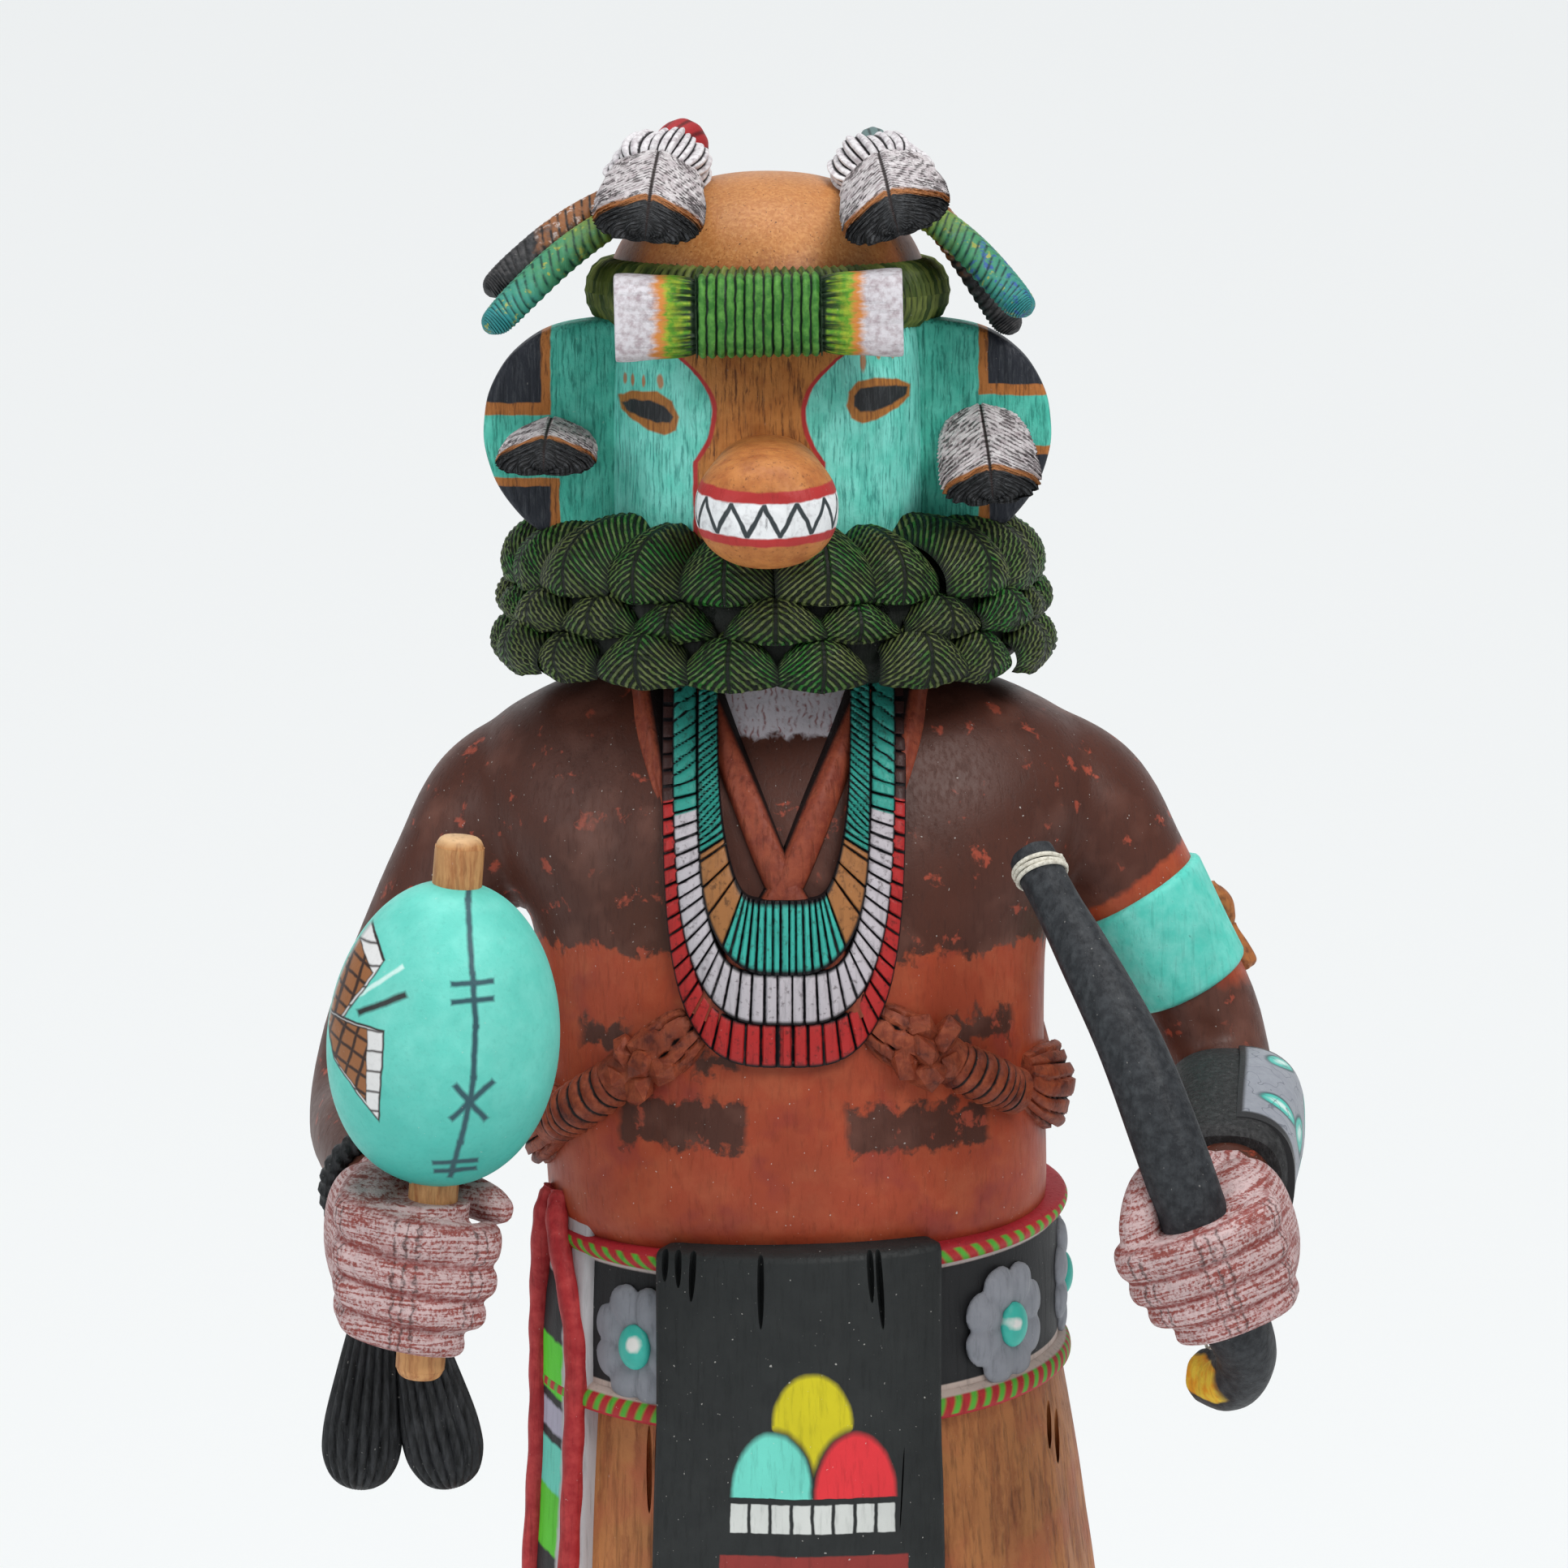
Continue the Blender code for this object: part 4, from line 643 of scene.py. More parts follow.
flowers = []
stones = []
for degrees in PLATE_ANGLES:
    middle = belt_spot(degrees, PLATE_LEVEL, 0)
    out = (belt_spot(degrees, PLATE_LEVEL, 1) - middle).normalized()
    across = out.cross(Z_AXIS).normalized()
    plate = flower.copy()
    plate.data = flower.data.copy()
    bpy.context.scene.collection.objects.link(plate)
    for corner in plate.data.vertices:
        a, b, c = corner.co * (PLATE_RADIUS / FLOWER_RADIUS)
        bend = -a * a / (2 * BELT[3])
        corner.co = middle + (across * a + Z_AXIS * b + out * (c * 0.95 + bend + 0.1)) * UNIT
    flowers.append(plate)
    deselect()
    bpy.ops.mesh.primitive_uv_sphere_add(segments=28, ring_count=18, radius=1, location=(0, 0, 0))
    stone = bpy.context.object
    for corner in stone.data.vertices:
        a, b, c = corner.co
        corner.co = middle + (across * 2.7 * a + Z_AXIS * 3.2 * b + out * (c * 1.5 + 0.9)) * UNIT
    stones.append(stone)
bpy.data.objects.remove(flower)
plates = join("belt_plates", flowers)
smooth_outside(plates)
f = Finish("plate_grey", 0.2)
grey = f.over((0.22, 0.235, 0.27), (0.32, 0.33, 0.37), f.noise(f.units, 0.5, 3.0))
set_on_doll(plates, f.done(grey, 0.4, 0.3, 0.2, 0.3), "grey_paint")
settings = join("belt_stones", stones)
smooth_outside(settings)
f = Finish("stone_turquoise", 0.2)
stone_paint = f.over((0.03, 0.42, 0.35), (0.08, 0.6, 0.5), f.noise(f.units, 0.4, 2.0))
# A painted highlight, near white, a little above and in front of each stone's middle.
for degrees in PLATE_ANGLES:
    glint = in_units(belt_spot(degrees, PLATE_LEVEL, 0))
    painted_highlight_spot = (glint.x, glint.y - 1, glint.z + 0.3)
    near = f.step("VectorMath", f.units, painted_highlight_spot, operation="DISTANCE").outputs["Value"]
    stone_paint = f.over(stone_paint, (0.85, 0.85, 0.82), f.ramp(near, 1.9, 1.6))
set_on_doll(settings, f.done(stone_paint, 0.1, 0.3, 0.1, 0.15, gloss=-0.15), "turquoise_paint")


# Front flap. The end of the black breechcloth, carved as a panel that passes over the belt and
# hangs to the hem, with knife slits for its gathers and a painted cloud pattern in three colours.
HIP_RADIUS = 36
FLAP_FROM = -31.6
FLAP_TO = 29.4
FLAP_LINE = [(HEM + 3, 4.4), (86, 4.0), (100, 3.4), (112, 2.9), (122, 2.4), (BELT_LOW, 1.8), (143, 1.7),
             (BELT_TOP - 1.6, 1.7), (BELT_TOP + 0.6, 1.4), (BELT_TOP + 1.3, 0.2)]
FLAP_SLITS = [(-14.6, 154.4, 3.6), (-12.6, 153.6, 4.6, 3), (-3.2, 151.8, 6.2), (13.2, 152.0, 6.6, -4),
              (11.9, 153.8, 4.6, -3), (-16.4, 154.5, 3.0, 2)]
FLAP_CRACKS = [(16.2, 120.5, 8.5, 3), (14.3, 108.0, 6.0, 8), (18.8, 96.0, 7.0, -2), (-11.0, 88.0, 7.0, 2)]


def slab(u, wide, high, corner):
    """A point on a rounded rectangle of half sizes wide and high, u once round from its right side."""
    flats = (2 * (high - corner), 2 * (wide - corner))
    arc = math.pi / 2 * corner
    gone = (u % 1.0) * (2 * sum(flats) + 4 * arc)
    for turn in range(5):
        even = turn % 2
        normal = ((1, 0), (0, 1), (-1, 0), (0, -1))[turn % 4]
        tangent = (-normal[1], normal[0])
        reach = (high if even else wide)
        side = (wide if even else high)
        if gone < flats[even]:
            slide = corner - side + gone
            return normal[0] * reach + tangent[0] * slide, normal[1] * reach + tangent[1] * slide
        gone -= flats[even]
        if gone < arc:
            c, s = math.cos(gone / corner), math.sin(gone / corner)
            n_part, t_part = reach - corner + corner * c, side - corner + corner * s
            return normal[0] * n_part + tangent[0] * t_part, normal[1] * n_part + tangent[1] * t_part
        gone -= arc
    return wide, 0.0


def hanging(name, turns, length, stations, start, stop, thickness, behind, narrow=None, wave=None):
    """A carved panel round the hips: stations give its height and its lift off the belt's oval."""
    middle = (start + stop) / 2
    half = math.radians((stop - start) / 2) * HIP_RADIUS

    def spot(u, v):
        z, lift = read(stations, v)
        across, layer = slab(u, half, (thickness + behind) / 2, 0.9)
        draw = narrow(v) if narrow else 1.0
        degrees = middle + math.degrees(across / HIP_RADIUS) * draw
        ripple = wave(across, v) if wave and layer > 0 else 0.0
        return belt_spot(degrees, z, lift + layer + (thickness - behind) / 2 + ripple)
    return wrap(name, turns, length, spot)


def flap_draw(v):
    return 1.0 if v < 0.9 else 1.0 - 0.11 * ((v - 0.9) / 0.1) ** 2


def flap_front(x, z):
    """How far forward the flap's face is at x and z."""
    lift = 1.6 + read(FLAP_LINE, 0.5)[1] if z < BELT_LOW - 6 else 3.2
    return BELT[1] - (BELT[3] + lift) * math.sqrt(1 - ((x - BELT[0]) / (BELT[2] + lift)) ** 2)


flap = hanging("front_flap", 140, 80, FLAP_LINE, FLAP_FROM, FLAP_TO, 1.6, 4.5, flap_draw,
               lambda across, v: 0.18 * math.sin(across * 0.5 + 1) * (1 - 0.5 * v))
knife_cuts(flap, FLAP_SLITS, flap_front, 0.5, 1.6)
knife_cuts(flap, FLAP_CRACKS, flap_front, 0.13, 0.9)
f = Finish("flap_paint", 0.12)
f.z = f.calc("ADD", f.z, 1.0)
front = f.ramp(f.y, -20, -22)
black = f.over((0.01, 0.012, 0.013), (0.028, 0.031, 0.031), f.noise(f.units, 0.25, 6.0))
yellow_top = f.oval(f.x, f.z, (3.9, 132.9), (5.5, 7.4))
yellow_corners = [(3.9, 125.7), (9.5, 132.6), (9.5, 133.2), (-1.7, 133.2), (-1.7, 132.6)]
yellow_point = f.area(f.x, f.z, yellow_corners, 0.08)
yellow = f.any_of(f.both(yellow_top, f.ramp(f.z, 132.6, 132.8)), yellow_point)
cloud = f.over(black, (0.62, 0.54, 0.012), yellow)
for x, colour in ((-1.6, (0.16, 0.66, 0.55)), (9.9, (0.72, 0.035, 0.045))):
    dome = f.both(f.oval(f.x, f.z, (x, 123.0), (5.6, 8.9)), f.ramp(f.z, 122.95, 123.05))
    gap = f.oval(f.x, f.z, (x, 123.0), (6.3, 9.7))
    cloud = f.over(cloud, black, f.both(gap, f.ramp(f.z, 122.7, 122.9)))
    cloud = f.over(cloud, colour, dome)
tile = f.both(f.within(f.x, -7.4, 15.7, 0.05), f.within(f.z, 118.1, 122.1, 0.08))
tile = f.both(tile, f.calc("SUBTRACT", 1.0, f.stripes(f.calc("ADD", f.x, 7.75), 2.92, 0.17, 0.03)))
cloud = f.over(cloud, (0.62, 0.64, 0.62), tile)
bar = f.both(f.within(f.x, -8.9, 17.2, 0.1), f.within(f.z, 109.0, 114.9))
cloud = f.over(cloud, (0.26, 0.035, 0.03), bar)
paint = f.over(black, cloud, front)
set_on_doll(flap, f.done(paint, 0.35, 0.4, 0.5, 0.35, (1, 1, 0.12)), "black_paint")


# Hip sash. The woven sash's broad end on the right hip, carved as one panel with two raised edge
# cords that meet at the belt, and painted in short bands of colour between them.
SASH_FROM = -82
SASH_TO = -54
SASH_LINE = [(HEM - 14, 4.4), (HEM + 6, 3.6), (102, 2.2), (124, 1.0), (BELT_LOW + 10, 0.8),
             (BELT_TOP + 2, -0.6)]
SASH_BANDS = [(150.5, (0.02, 0.02, 0.022)), (141.0, (0.1, 0.62, 0.03)), (133.0, (0.02, 0.02, 0.022)),
              (131.5, (0.4, 0.38, 0.48)), (127.5, (0.02, 0.02, 0.022)), (126.0, (0.14, 0.62, 0.5)),
              (119.0, (0.1, 0.55, 0.03)), (110.0, (0.02, 0.02, 0.022)), (104.0, (0.5, 0.48, 0.5)),
              (96.0, (0.1, 0.55, 0.03)), (88.0, (0.45, 0.03, 0.03)), (76.0, (0.02, 0.02, 0.022)),
              (66.0, (0.14, 0.62, 0.5))]

sash = hanging("hip_sash", 90, 70, SASH_LINE, SASH_FROM, SASH_TO, 0.9, 4.5)
f = Finish("sash_paint", 0.25)
slant = f.calc("MULTIPLY_ADD", f.x, 0.45, f.calc("ADD", f.z, 16.0))
woven = (0.55, 0.5, 0.5)
for top, colour in SASH_BANDS:
    woven = f.over(woven, colour, f.ramp(slant, top + 0.25, top - 0.25))
woven = f.over(woven, (0.5, 0.48, 0.5), f.ramp(f.y, -17.0, -17.6))
set_on_doll(sash, f.done(woven, 0.4, 0.3, 0.2, 0.3), "red_paint")

cords = []
for low, high in ((-77, -72), (-57, -67)):
    stations = []
    for z, lift in [(HEM - 14, 4.4)] + SASH_LINE[1:-1] + [(BELT_TOP, 0.8), (BELT_TOP + 4.5, -0.6)]:
        share = max(0.0, (z - BELT_LOW - 10) / (BELT_TOP - BELT_LOW - 5.5))
        place = in_units(belt_spot(low + (high - low) * share, z, lift + 1.0))
        stations.append((*place, 1.75, 1.6))
    cords.append(limb("sash_cord", 20, 110, stations, X_AXIS, 2.2,
                      relief=lambda u, v: 0.08 * math.sin(90 * v + 3 * math.cos(2 * math.pi * u))))
f = Finish("cord_red", 0.3)
red = f.mottled((0.36, 0.02, 0.025), (0.5, 0.05, 0.05), 0.4, 0.7, 0.5, 5.0)
set_on_doll(join("sash_cords", cords), f.done(red, 0.5, 0.5, 0.3, 0.35), "red_paint")


# Neck ruff. Three stepped rows of fir leaves, carved out of the block round the neck: each leaf has
# a ridge, a midrib and slanted veins cut with a small gouge, then green paint wiped over black. The
# cuts stay near black, partly the black ground and partly painted shade. The vein ridges carry a
# painted highlight, painted shade darkens the leaf edges and tips, and the collar between the leaves
# is painted near black as shade.
RUFF = (-1.4, -2.2, 37.2, 33.6)
LEAVES = 18
VEIN_PITCH = 0.92
VEIN_SLANT = 4.6
# Each row's turn in leaves, and its centre line in reach and height
LEAF_ROWS = [
    (0.0, [(0.62, 255.0), (0.76, 254.8), (0.88, 253.8), (0.96, 251.8), (0.99, 249.2), (0.975, 245.9)]),
    (0.45, [(0.82, 245.7), (0.92, 245.5), (0.98, 245.0), (1.01, 244.0), (1.015, 242.8), (0.98, 241.2)]),
    (0.05, [(0.84, 241.2), (0.94, 240.9), (1.005, 240.1), (1.035, 238.7), (1.035, 236.9), (0.99, 234.6)]),
]
CORE_PROFILE = [(0.5, 234.2), (0.78, 234.0), (0.92, 236.2), (0.955, 239), (0.945, 245), (0.9, 249.4),
                (0.74, 253.4), (0.6, 254.6), (0.3, 255.0)]


def leaf_width(v):
    """The leaf's half width along its length: it swells, then closes to a broad rounded tip."""
    swell = 0.62 + 0.38 * math.sin(math.pi * min(v, 0.7) / 1.4)
    return 6.7 * swell * math.sqrt(max(0.0, 1 - max(0.0, (v - 0.82) / 0.18) ** 2.4))


def mark_skin(piece, name, measure):
    """Notes a value by how far round and along the piece's skin each corner of a face lies."""
    spots = [tuple(spot.uv) for spot in piece.data.uv_layers.active.data]
    note = piece.data.attributes.new(name, "FLOAT", "CORNER")
    for value, spot in zip(note.data, spots):
        value.value = measure(*spot)


def leaf(row, number):
    shift, line = LEAF_ROWS[row]
    x, y, wide, deep = RUFF
    jitter = math.sin(number * 2.4 + row * 1.7)
    turn = 2 * math.pi * (number + shift + 0.07 * jitter) / LEAVES
    veins = sum(math.hypot((b[0] - a[0]) * deep, b[1] - a[1]) for a, b in zip(line, line[1:])) / VEIN_PITCH

    def ridge(v):
        reach, z = read(line, v)
        reach += 0.008 * jitter
        return at(x + wide * reach * math.cos(turn), y + deep * reach * math.sin(turn), z + 0.25 * jitter)

    side = Vector((-wide * math.sin(turn), deep * math.cos(turn), 0)).normalized()

    def spot(u, v):
        top = u < 0.5
        s = 4 * u - 1 if top else 3 - 4 * u
        middle = ridge(v)
        ahead = (ridge(v + 0.03) - ridge(v - 0.03)).normalized()
        out = ahead.cross(side).normalized()
        if out.dot(middle - at(x, y, 225)) < 0:
            out = -out
        near = abs(s)
        rise = 1.5 * (1 - near ** 2) - 0.9 * near ** 2 + 0.3 * jitter - 0.4 * math.exp(-(near * 9) ** 2)
        if top:
            groove = abs(math.sin(math.pi * (veins * v + 3 * jitter - near * VEIN_SLANT)))
            rise -= 0.4 * max(0.0, 1 - groove / 0.7) * min(1.0, near * 6) * min(1.0, (1 - near) * 5)
        else:
            rise -= 1.5 * (1 - near ** 3)
        width = leaf_width(v) * (1 + 0.05 * jitter)
        scallop = 0.5 * math.cos(2 * math.pi * near * 2.5) * max(0.0, v - 0.8)
        droop = 0.22 * near ** 2 * width + scallop
        return middle + (side * s * width + out * rise) * UNIT - Z_AXIS * droop * UNIT
    piece = wrap("leaf", 26, 54, spot)
    mark_skin(piece, "vein", lambda u, v: v * veins + 3 * jitter)
    return piece


def core_spot(u, v):
    share, z = read(CORE_PROFILE, v)
    x, y, wide, deep = RUFF
    return at(x + wide * share * math.cos(2 * math.pi * u), y + deep * share * math.sin(2 * math.pi * u), z)


leaves = [leaf(row, number) for row in range(3) for number in range(LEAVES)]
collar = wrap("collar", 72, 30, core_spot)
# The collar's mark sets it apart, so that it is painted near black as shade between the leaves.
mark_skin(collar, "vein", lambda u, v: -100)
ruff = join("ruff_leaves", leaves + [collar])
f = Finish("leaf_green", 0.1)
around, along = f.round_and_along()
turned = f.calc("ABSOLUTE", f.calc("SUBTRACT", around, 0.5))
near = f.calc("ABSOLUTE", f.calc("MULTIPLY_ADD", turned, -4.0, 1.0))
vein = f.calc("MULTIPLY_ADD", near, -VEIN_SLANT, f.mark("vein"))
vein = f.calc("ADD", f.calc("MULTIPLY_ADD", f.noise(f.units, 0.3, 2.0), 0.4, -0.2), vein)
ridge = f.calc("PINGPONG", vein, 0.5)
rough_edge = f.calc("MULTIPLY_ADD", f.noise(f.units, 1.3, 3.0), 0.3, ridge)
valley = f.ramp(rough_edge, 0.46, 0.3)
valley = f.any_of(f.both(valley, f.ramp(near, 0.0, 0.08)), f.ramp(near, 0.07, 0.03))
green = f.mottled((0.085, 0.12, 0.03), (0.014, 0.14, 0.016), 0.42, 0.6, 0.12)
# A painted highlight: lighter green on the tops of the vein ridges.
crest = f.both(f.ramp(ridge, 0.3, 0.48), f.ramp(f.noise(f.units, 0.7, 4.0), 0.42, 0.62))
green = f.over(green, (0.2, 0.22, 0.1), f.both(crest, 0.8))
green = f.over(green, (0.012, 0.03, 0.008), f.both(f.ramp(f.noise(f.units, 0.45, 3.0), 0.5, 0.66), 0.7))
# Painted shade: near black along each leaf's side edges and at its tip, where it dips under.
green = f.over(green, (0.01, 0.02, 0.008), f.any_of(f.ramp(near, 0.85, 0.98), f.ramp(along, 0.975, 0.995)))
# Near black in the gouge cuts and the midrib, partly the black ground and partly painted shade, and painted
# shade over the collar where it shows between the leaves.
paint = f.over(green, (0.003, 0.006, 0.003), f.any_of(valley, f.ramp(f.mark("vein"), -50, -60)))
set_on_doll(ruff, f.done(paint, 0.3, 0.6, 0.12, 0.4, cuts=valley), "green_paint")


# Necklaces. Three flat strands carved as a U on the chest and grooved between the beads: red coral
# outside, turquoise and shell in the middle, and turquoise that widens to a fan inside.
NECK_TOP = 236
STRAND_POWER = 3.8
STRANDS = [
    # Half width, outer and inner edge at the bottom, half width of the strand at its top, and its lift
    ("outer", 15.9, 181.9, 188.1, 0.9, 1.7),
    ("middle", 13.7, 187.9, 195.0, 1.7, 2.3),
    ("inner", 10.5, 194.8, 204.9, 1.4, 2.9),
]


def chest(x, z, lift=0.0):
    """The torso's front at x and z, raised by lift."""
    _, cx, cy, wide, deep = between(TORSO_ROWS, z)
    share = min(0.999, abs(x - cx) / wide)
    return at(x, cy - (deep + lift) * (1 - share ** TORSO_POWER) ** (1 / TORSO_POWER), z)


def even_angles(half_width, depth):
    """Angles along a strand's line whose places lie at even distances, and the line's length."""
    raw = [math.pi * (i / 900 - 0.5) for i in range(901)]
    spots = [Vector((half_width * math.copysign(abs(math.sin(a)) ** (2 / STRAND_POWER), math.sin(a)),
                     depth * max(math.cos(a), 0.0) ** (2 / STRAND_POWER))) for a in raw]
    gone = [0.0]
    for a, b in zip(spots, spots[1:]):
        gone.append(gone[-1] + (b - a).length)
    even = []
    k = 0
    for i in range(301):
        while k < 899 and gone[k + 1] < gone[-1] * i / 300:
            k += 1
        even.append((raw[k + 1] if i else raw[0],))
    return even, gone[-1]


def strand(name, half_width, low, high, half_top, lift, lines, slant_from):
    """One strand: lines are the distances of its grooves from the bottom, the same on both sides."""
    middle_low = (low + high) / 2
    half_low = (high - low) / 2
    angles, length = even_angles(half_width, NECK_TOP - middle_low)

    def half_at(angle):
        return half_top + (half_low - half_top) * max(math.cos(angle), 0.0) ** 2

    def run(u, v):
        """Distance from the bottom, slanted with the grooves in the upper part."""
        along = abs(v - 0.5) * length
        across = slab(u, 1.0, 1.0, 0.35)[0]
        tilt = max(0.0, min(1.0, (along - slant_from) / 3))
        return along - 0.55 * tilt * across * half_at(read(angles, v)[0])

    def gap(u, v):
        along = run(u, v)
        return min(abs(along - line) for line in lines)

    def spot(u, v):
        angle = read(angles, v)[0]
        s, c = math.sin(angle), max(math.cos(angle), 0.0)
        x = half_width * math.copysign(abs(s) ** (2 / STRAND_POWER), s)
        z = NECK_TOP - (NECK_TOP - middle_low) * c ** (2 / STRAND_POWER)
        half = half_at(angle)
        across, layer = slab(u, 1.0, 1.0, 0.35)
        side = math.copysign(abs(s) ** 1.5, s)
        fall = c ** 0.8
        rise = -0.6 + 1.6 * layer
        if layer > 0:
            groove = 0.7 * max(0.0, 1 - gap(u, v) / 0.3)
            rise = lift - 0.9 + (1.0 + 0.3 * (1 - across ** 2) - groove) * layer
        return chest(x - side * half * across, z + fall * half * across, rise)
    piece = wrap(f"{name}_strand", 28, round(length / 0.22), spot)
    mark_skin(piece, "gap", gap)
    mark_skin(piece, "run", run)
    mark_skin(piece, "edge", lambda u, v: abs(slab(u, 1.0, 1.0, 0.35)[0]))
    return piece


def bead_finish(name, zones):
    """Beads painted in zones of distance from the bottom, each with its groove lines in black."""
    f = Finish(name, 0.15)
    gap, run, edge = f.mark("gap"), f.mark("run"), f.mark("edge")
    chips = f.noise(f.units, 1.2, 5.0)
    paint = zones[0][1]
    for start, colour in zones[1:]:
        paint = f.over(paint, colour, f.ramp(run, start - 0.1, start + 0.1))
    paint = f.over(paint, (0.03, 0.012, 0.01), f.both(f.ramp(chips, 0.56, 0.68), 0.6))
    line = f.ramp(f.calc("MULTIPLY_ADD", f.noise(f.units, 1.0, 2.0), 0.16, gap), 0.32, 0.2)
    paint = f.over(paint, (0.006, 0.006, 0.008), line)
    paint = f.over(paint, (0.006, 0.006, 0.008), f.ramp(edge, 0.8, 0.93))
    return f.done(paint, 0.5, 0.4, 0.1, 0.3, gloss=-0.08)


TURQUOISE_BEAD = (0.035, 0.33, 0.27)
even_lines = [2.15 * (i + 0.5) for i in range(30)]
shell_lines = [1.8 * (i + 0.5) for i in range(36)]
fan_lines = [1.05 * (i + 0.5) for i in range(8)] + [11.4, 14.4, 17.4, 18.4]
fan_lines += [19.3 + 0.92 * i for i in range(40)]
strand_paints = {
    "outer": (even_lines, 90, "red_paint", [(0, (0.42, 0.022, 0.022)), (42.4, (0.05, 0.02, 0.018))]),
    "middle": (shell_lines, 36, "white_paint", [(0, (0.52, 0.48, 0.52)), (33.0, TURQUOISE_BEAD)]),
    "inner": (fan_lines, 19, "turquoise_paint", [(0, (0.045, 0.42, 0.35)), (7.9, (0.36, 0.15, 0.05)),
                                                 (18.4, TURQUOISE_BEAD)]),
}
for strand_name, *sizes in STRANDS:
    lines, slant_from, slot, zones = strand_paints[strand_name]
    beads = strand(strand_name, *sizes, lines, slant_from)
    set_on_doll(beads, bead_finish(f"{strand_name}_beads", zones), slot)


# Shoulder straps. Two red-brown hide straps carved across the chest and back. Each ends under the
# arm in a hank that is knotted, bound with cord and cut off in a tuft.
STRAP_STATIONS = [(-10.5, 232, 2.2, 1.6), (-5.0, 218, 2.4, 1.7), (0, 206, 2.5, 1.8), (7, 195, 2.7, 1.6),
                  (11, 189, 3.2, 1.8)]
TIE_STATIONS = [(18.0, 233, 2.4, 1.5), (17.3, 227, 2.1, 1.4), (16.4, 221.5, 1.5, 0.9), (15.4, 216, 0.7, 0.1)]
STRIP_STATIONS = [(12.0, 188.3, 3.0, 0.8), (13.4, 187.2, 3.8, 1.8), (15.4, 185.6, 4.2, 2.8),
                  (18.0, 184.2, 4.0, 3.0)]
# The knot's lumps: place along the strap and across it, lift, and half sizes
KNOT_LUMPS = [(17.6, 2.4, 1.9, 2.9, 2.2, 2.0), (17.5, -2.2, 2.0, 2.8, 2.1, 2.0),
              (20.4, 2.9, 2.2, 3.0, 2.4, 2.1), (21.0, -2.2, 2.4, 2.8, 2.5, 2.1),
              (19.2, 0.3, 3.0, 2.6, 2.0, 2.0), (22.6, 0.7, 2.4, 2.1, 2.3, 2.0)]
HANK_STATIONS = [(17.0, 184.8, 3.0, 2.6), (19.4, 183.6, 3.6, 3.0), (21.6, 182.5, 3.6, 2.8),
                 (23.0, 181.5, 3.5, 3.0), (25.6, 180.0, 3.7, 3.4), (28.4, 178.4, 3.7, 3.4),
                 (30.0, 177.4, 3.5, 2.9), (31.6, 176.6, 3.6, 2.9)]
TUFT_LINE = [(60, 178.4, 3.2, 2.4), (65, 177.6, 4.4, 3.0), (71, 176.7, 5.6, 3.7), (79, 175.5, 6.5, 4.2),
             (85, 174.8, 6.6, 3.9), (88, 174.5, 5.8, 2.6)]
CORD_FROM = 0.42
CORD_TO = 0.9
CORD_TURNS = 7
# How far a strap reaches down into the body, and the depth of the cuts in its strips and cord
STRAP_SUNK = 1.2
STRIP_DEPTH = 0.9
CORD_DEPTH = 0.5


def around(degrees, z, lift=0.0):
    """The torso's side at an angle from its front, positive towards the doll's left."""
    _, cx, cy, wide, deep = between(TORSO_ROWS, z)
    s, c = math.sin(math.radians(degrees)), math.cos(math.radians(degrees))
    x = cx + (wide + lift) * math.copysign(abs(s) ** (2 / TORSO_POWER), s)
    return at(x, cy - (deep + lift) * math.copysign(abs(c) ** (2 / TORSO_POWER), c), z)


def away(place):
    return Vector((place.x, place.y, 0)).normalized()


def strap_rows(stations, side, sag, place):
    rows = []
    for a, z, wide, high in stations:
        spot = in_units(place(side * a, z - sag(a), -STRAP_SUNK))
        rows.append((*spot, wide, high + STRAP_SUNK))
    return rows


def strip_cut(u, v):
    """Narrow cuts along the strap part it into strips."""
    return -STRIP_DEPTH * (1 - min(1.0, abs(math.sin(math.pi * 11 * u + 0.5 * math.sin(5 * v))) / 0.35))


def cord_cut(u, v):
    """Turns of cord over the middle of the hank."""
    if CORD_FROM < v < CORD_TO:
        turns = CORD_TURNS * (v - CORD_FROM) / (CORD_TO - CORD_FROM)
        lap = abs(math.sin(math.pi * turns + 0.25 * math.sin(4 * math.pi * u)))
        return -CORD_DEPTH * (1 - lap ** 0.6)
    return -0.15


def tuft_cut(u, v):
    """The cut ends spread, with deep grooves between them."""
    lap = abs(math.sin(math.pi * 15 * u + 0.9 * math.sin(7 * v) * math.sin(9 * u)))
    jag = 0.5 * math.sin(41 * u + 3) * v
    return (min(1.0, lap / 0.5) - 1 + jag) * (0.4 + 0.6 * v)


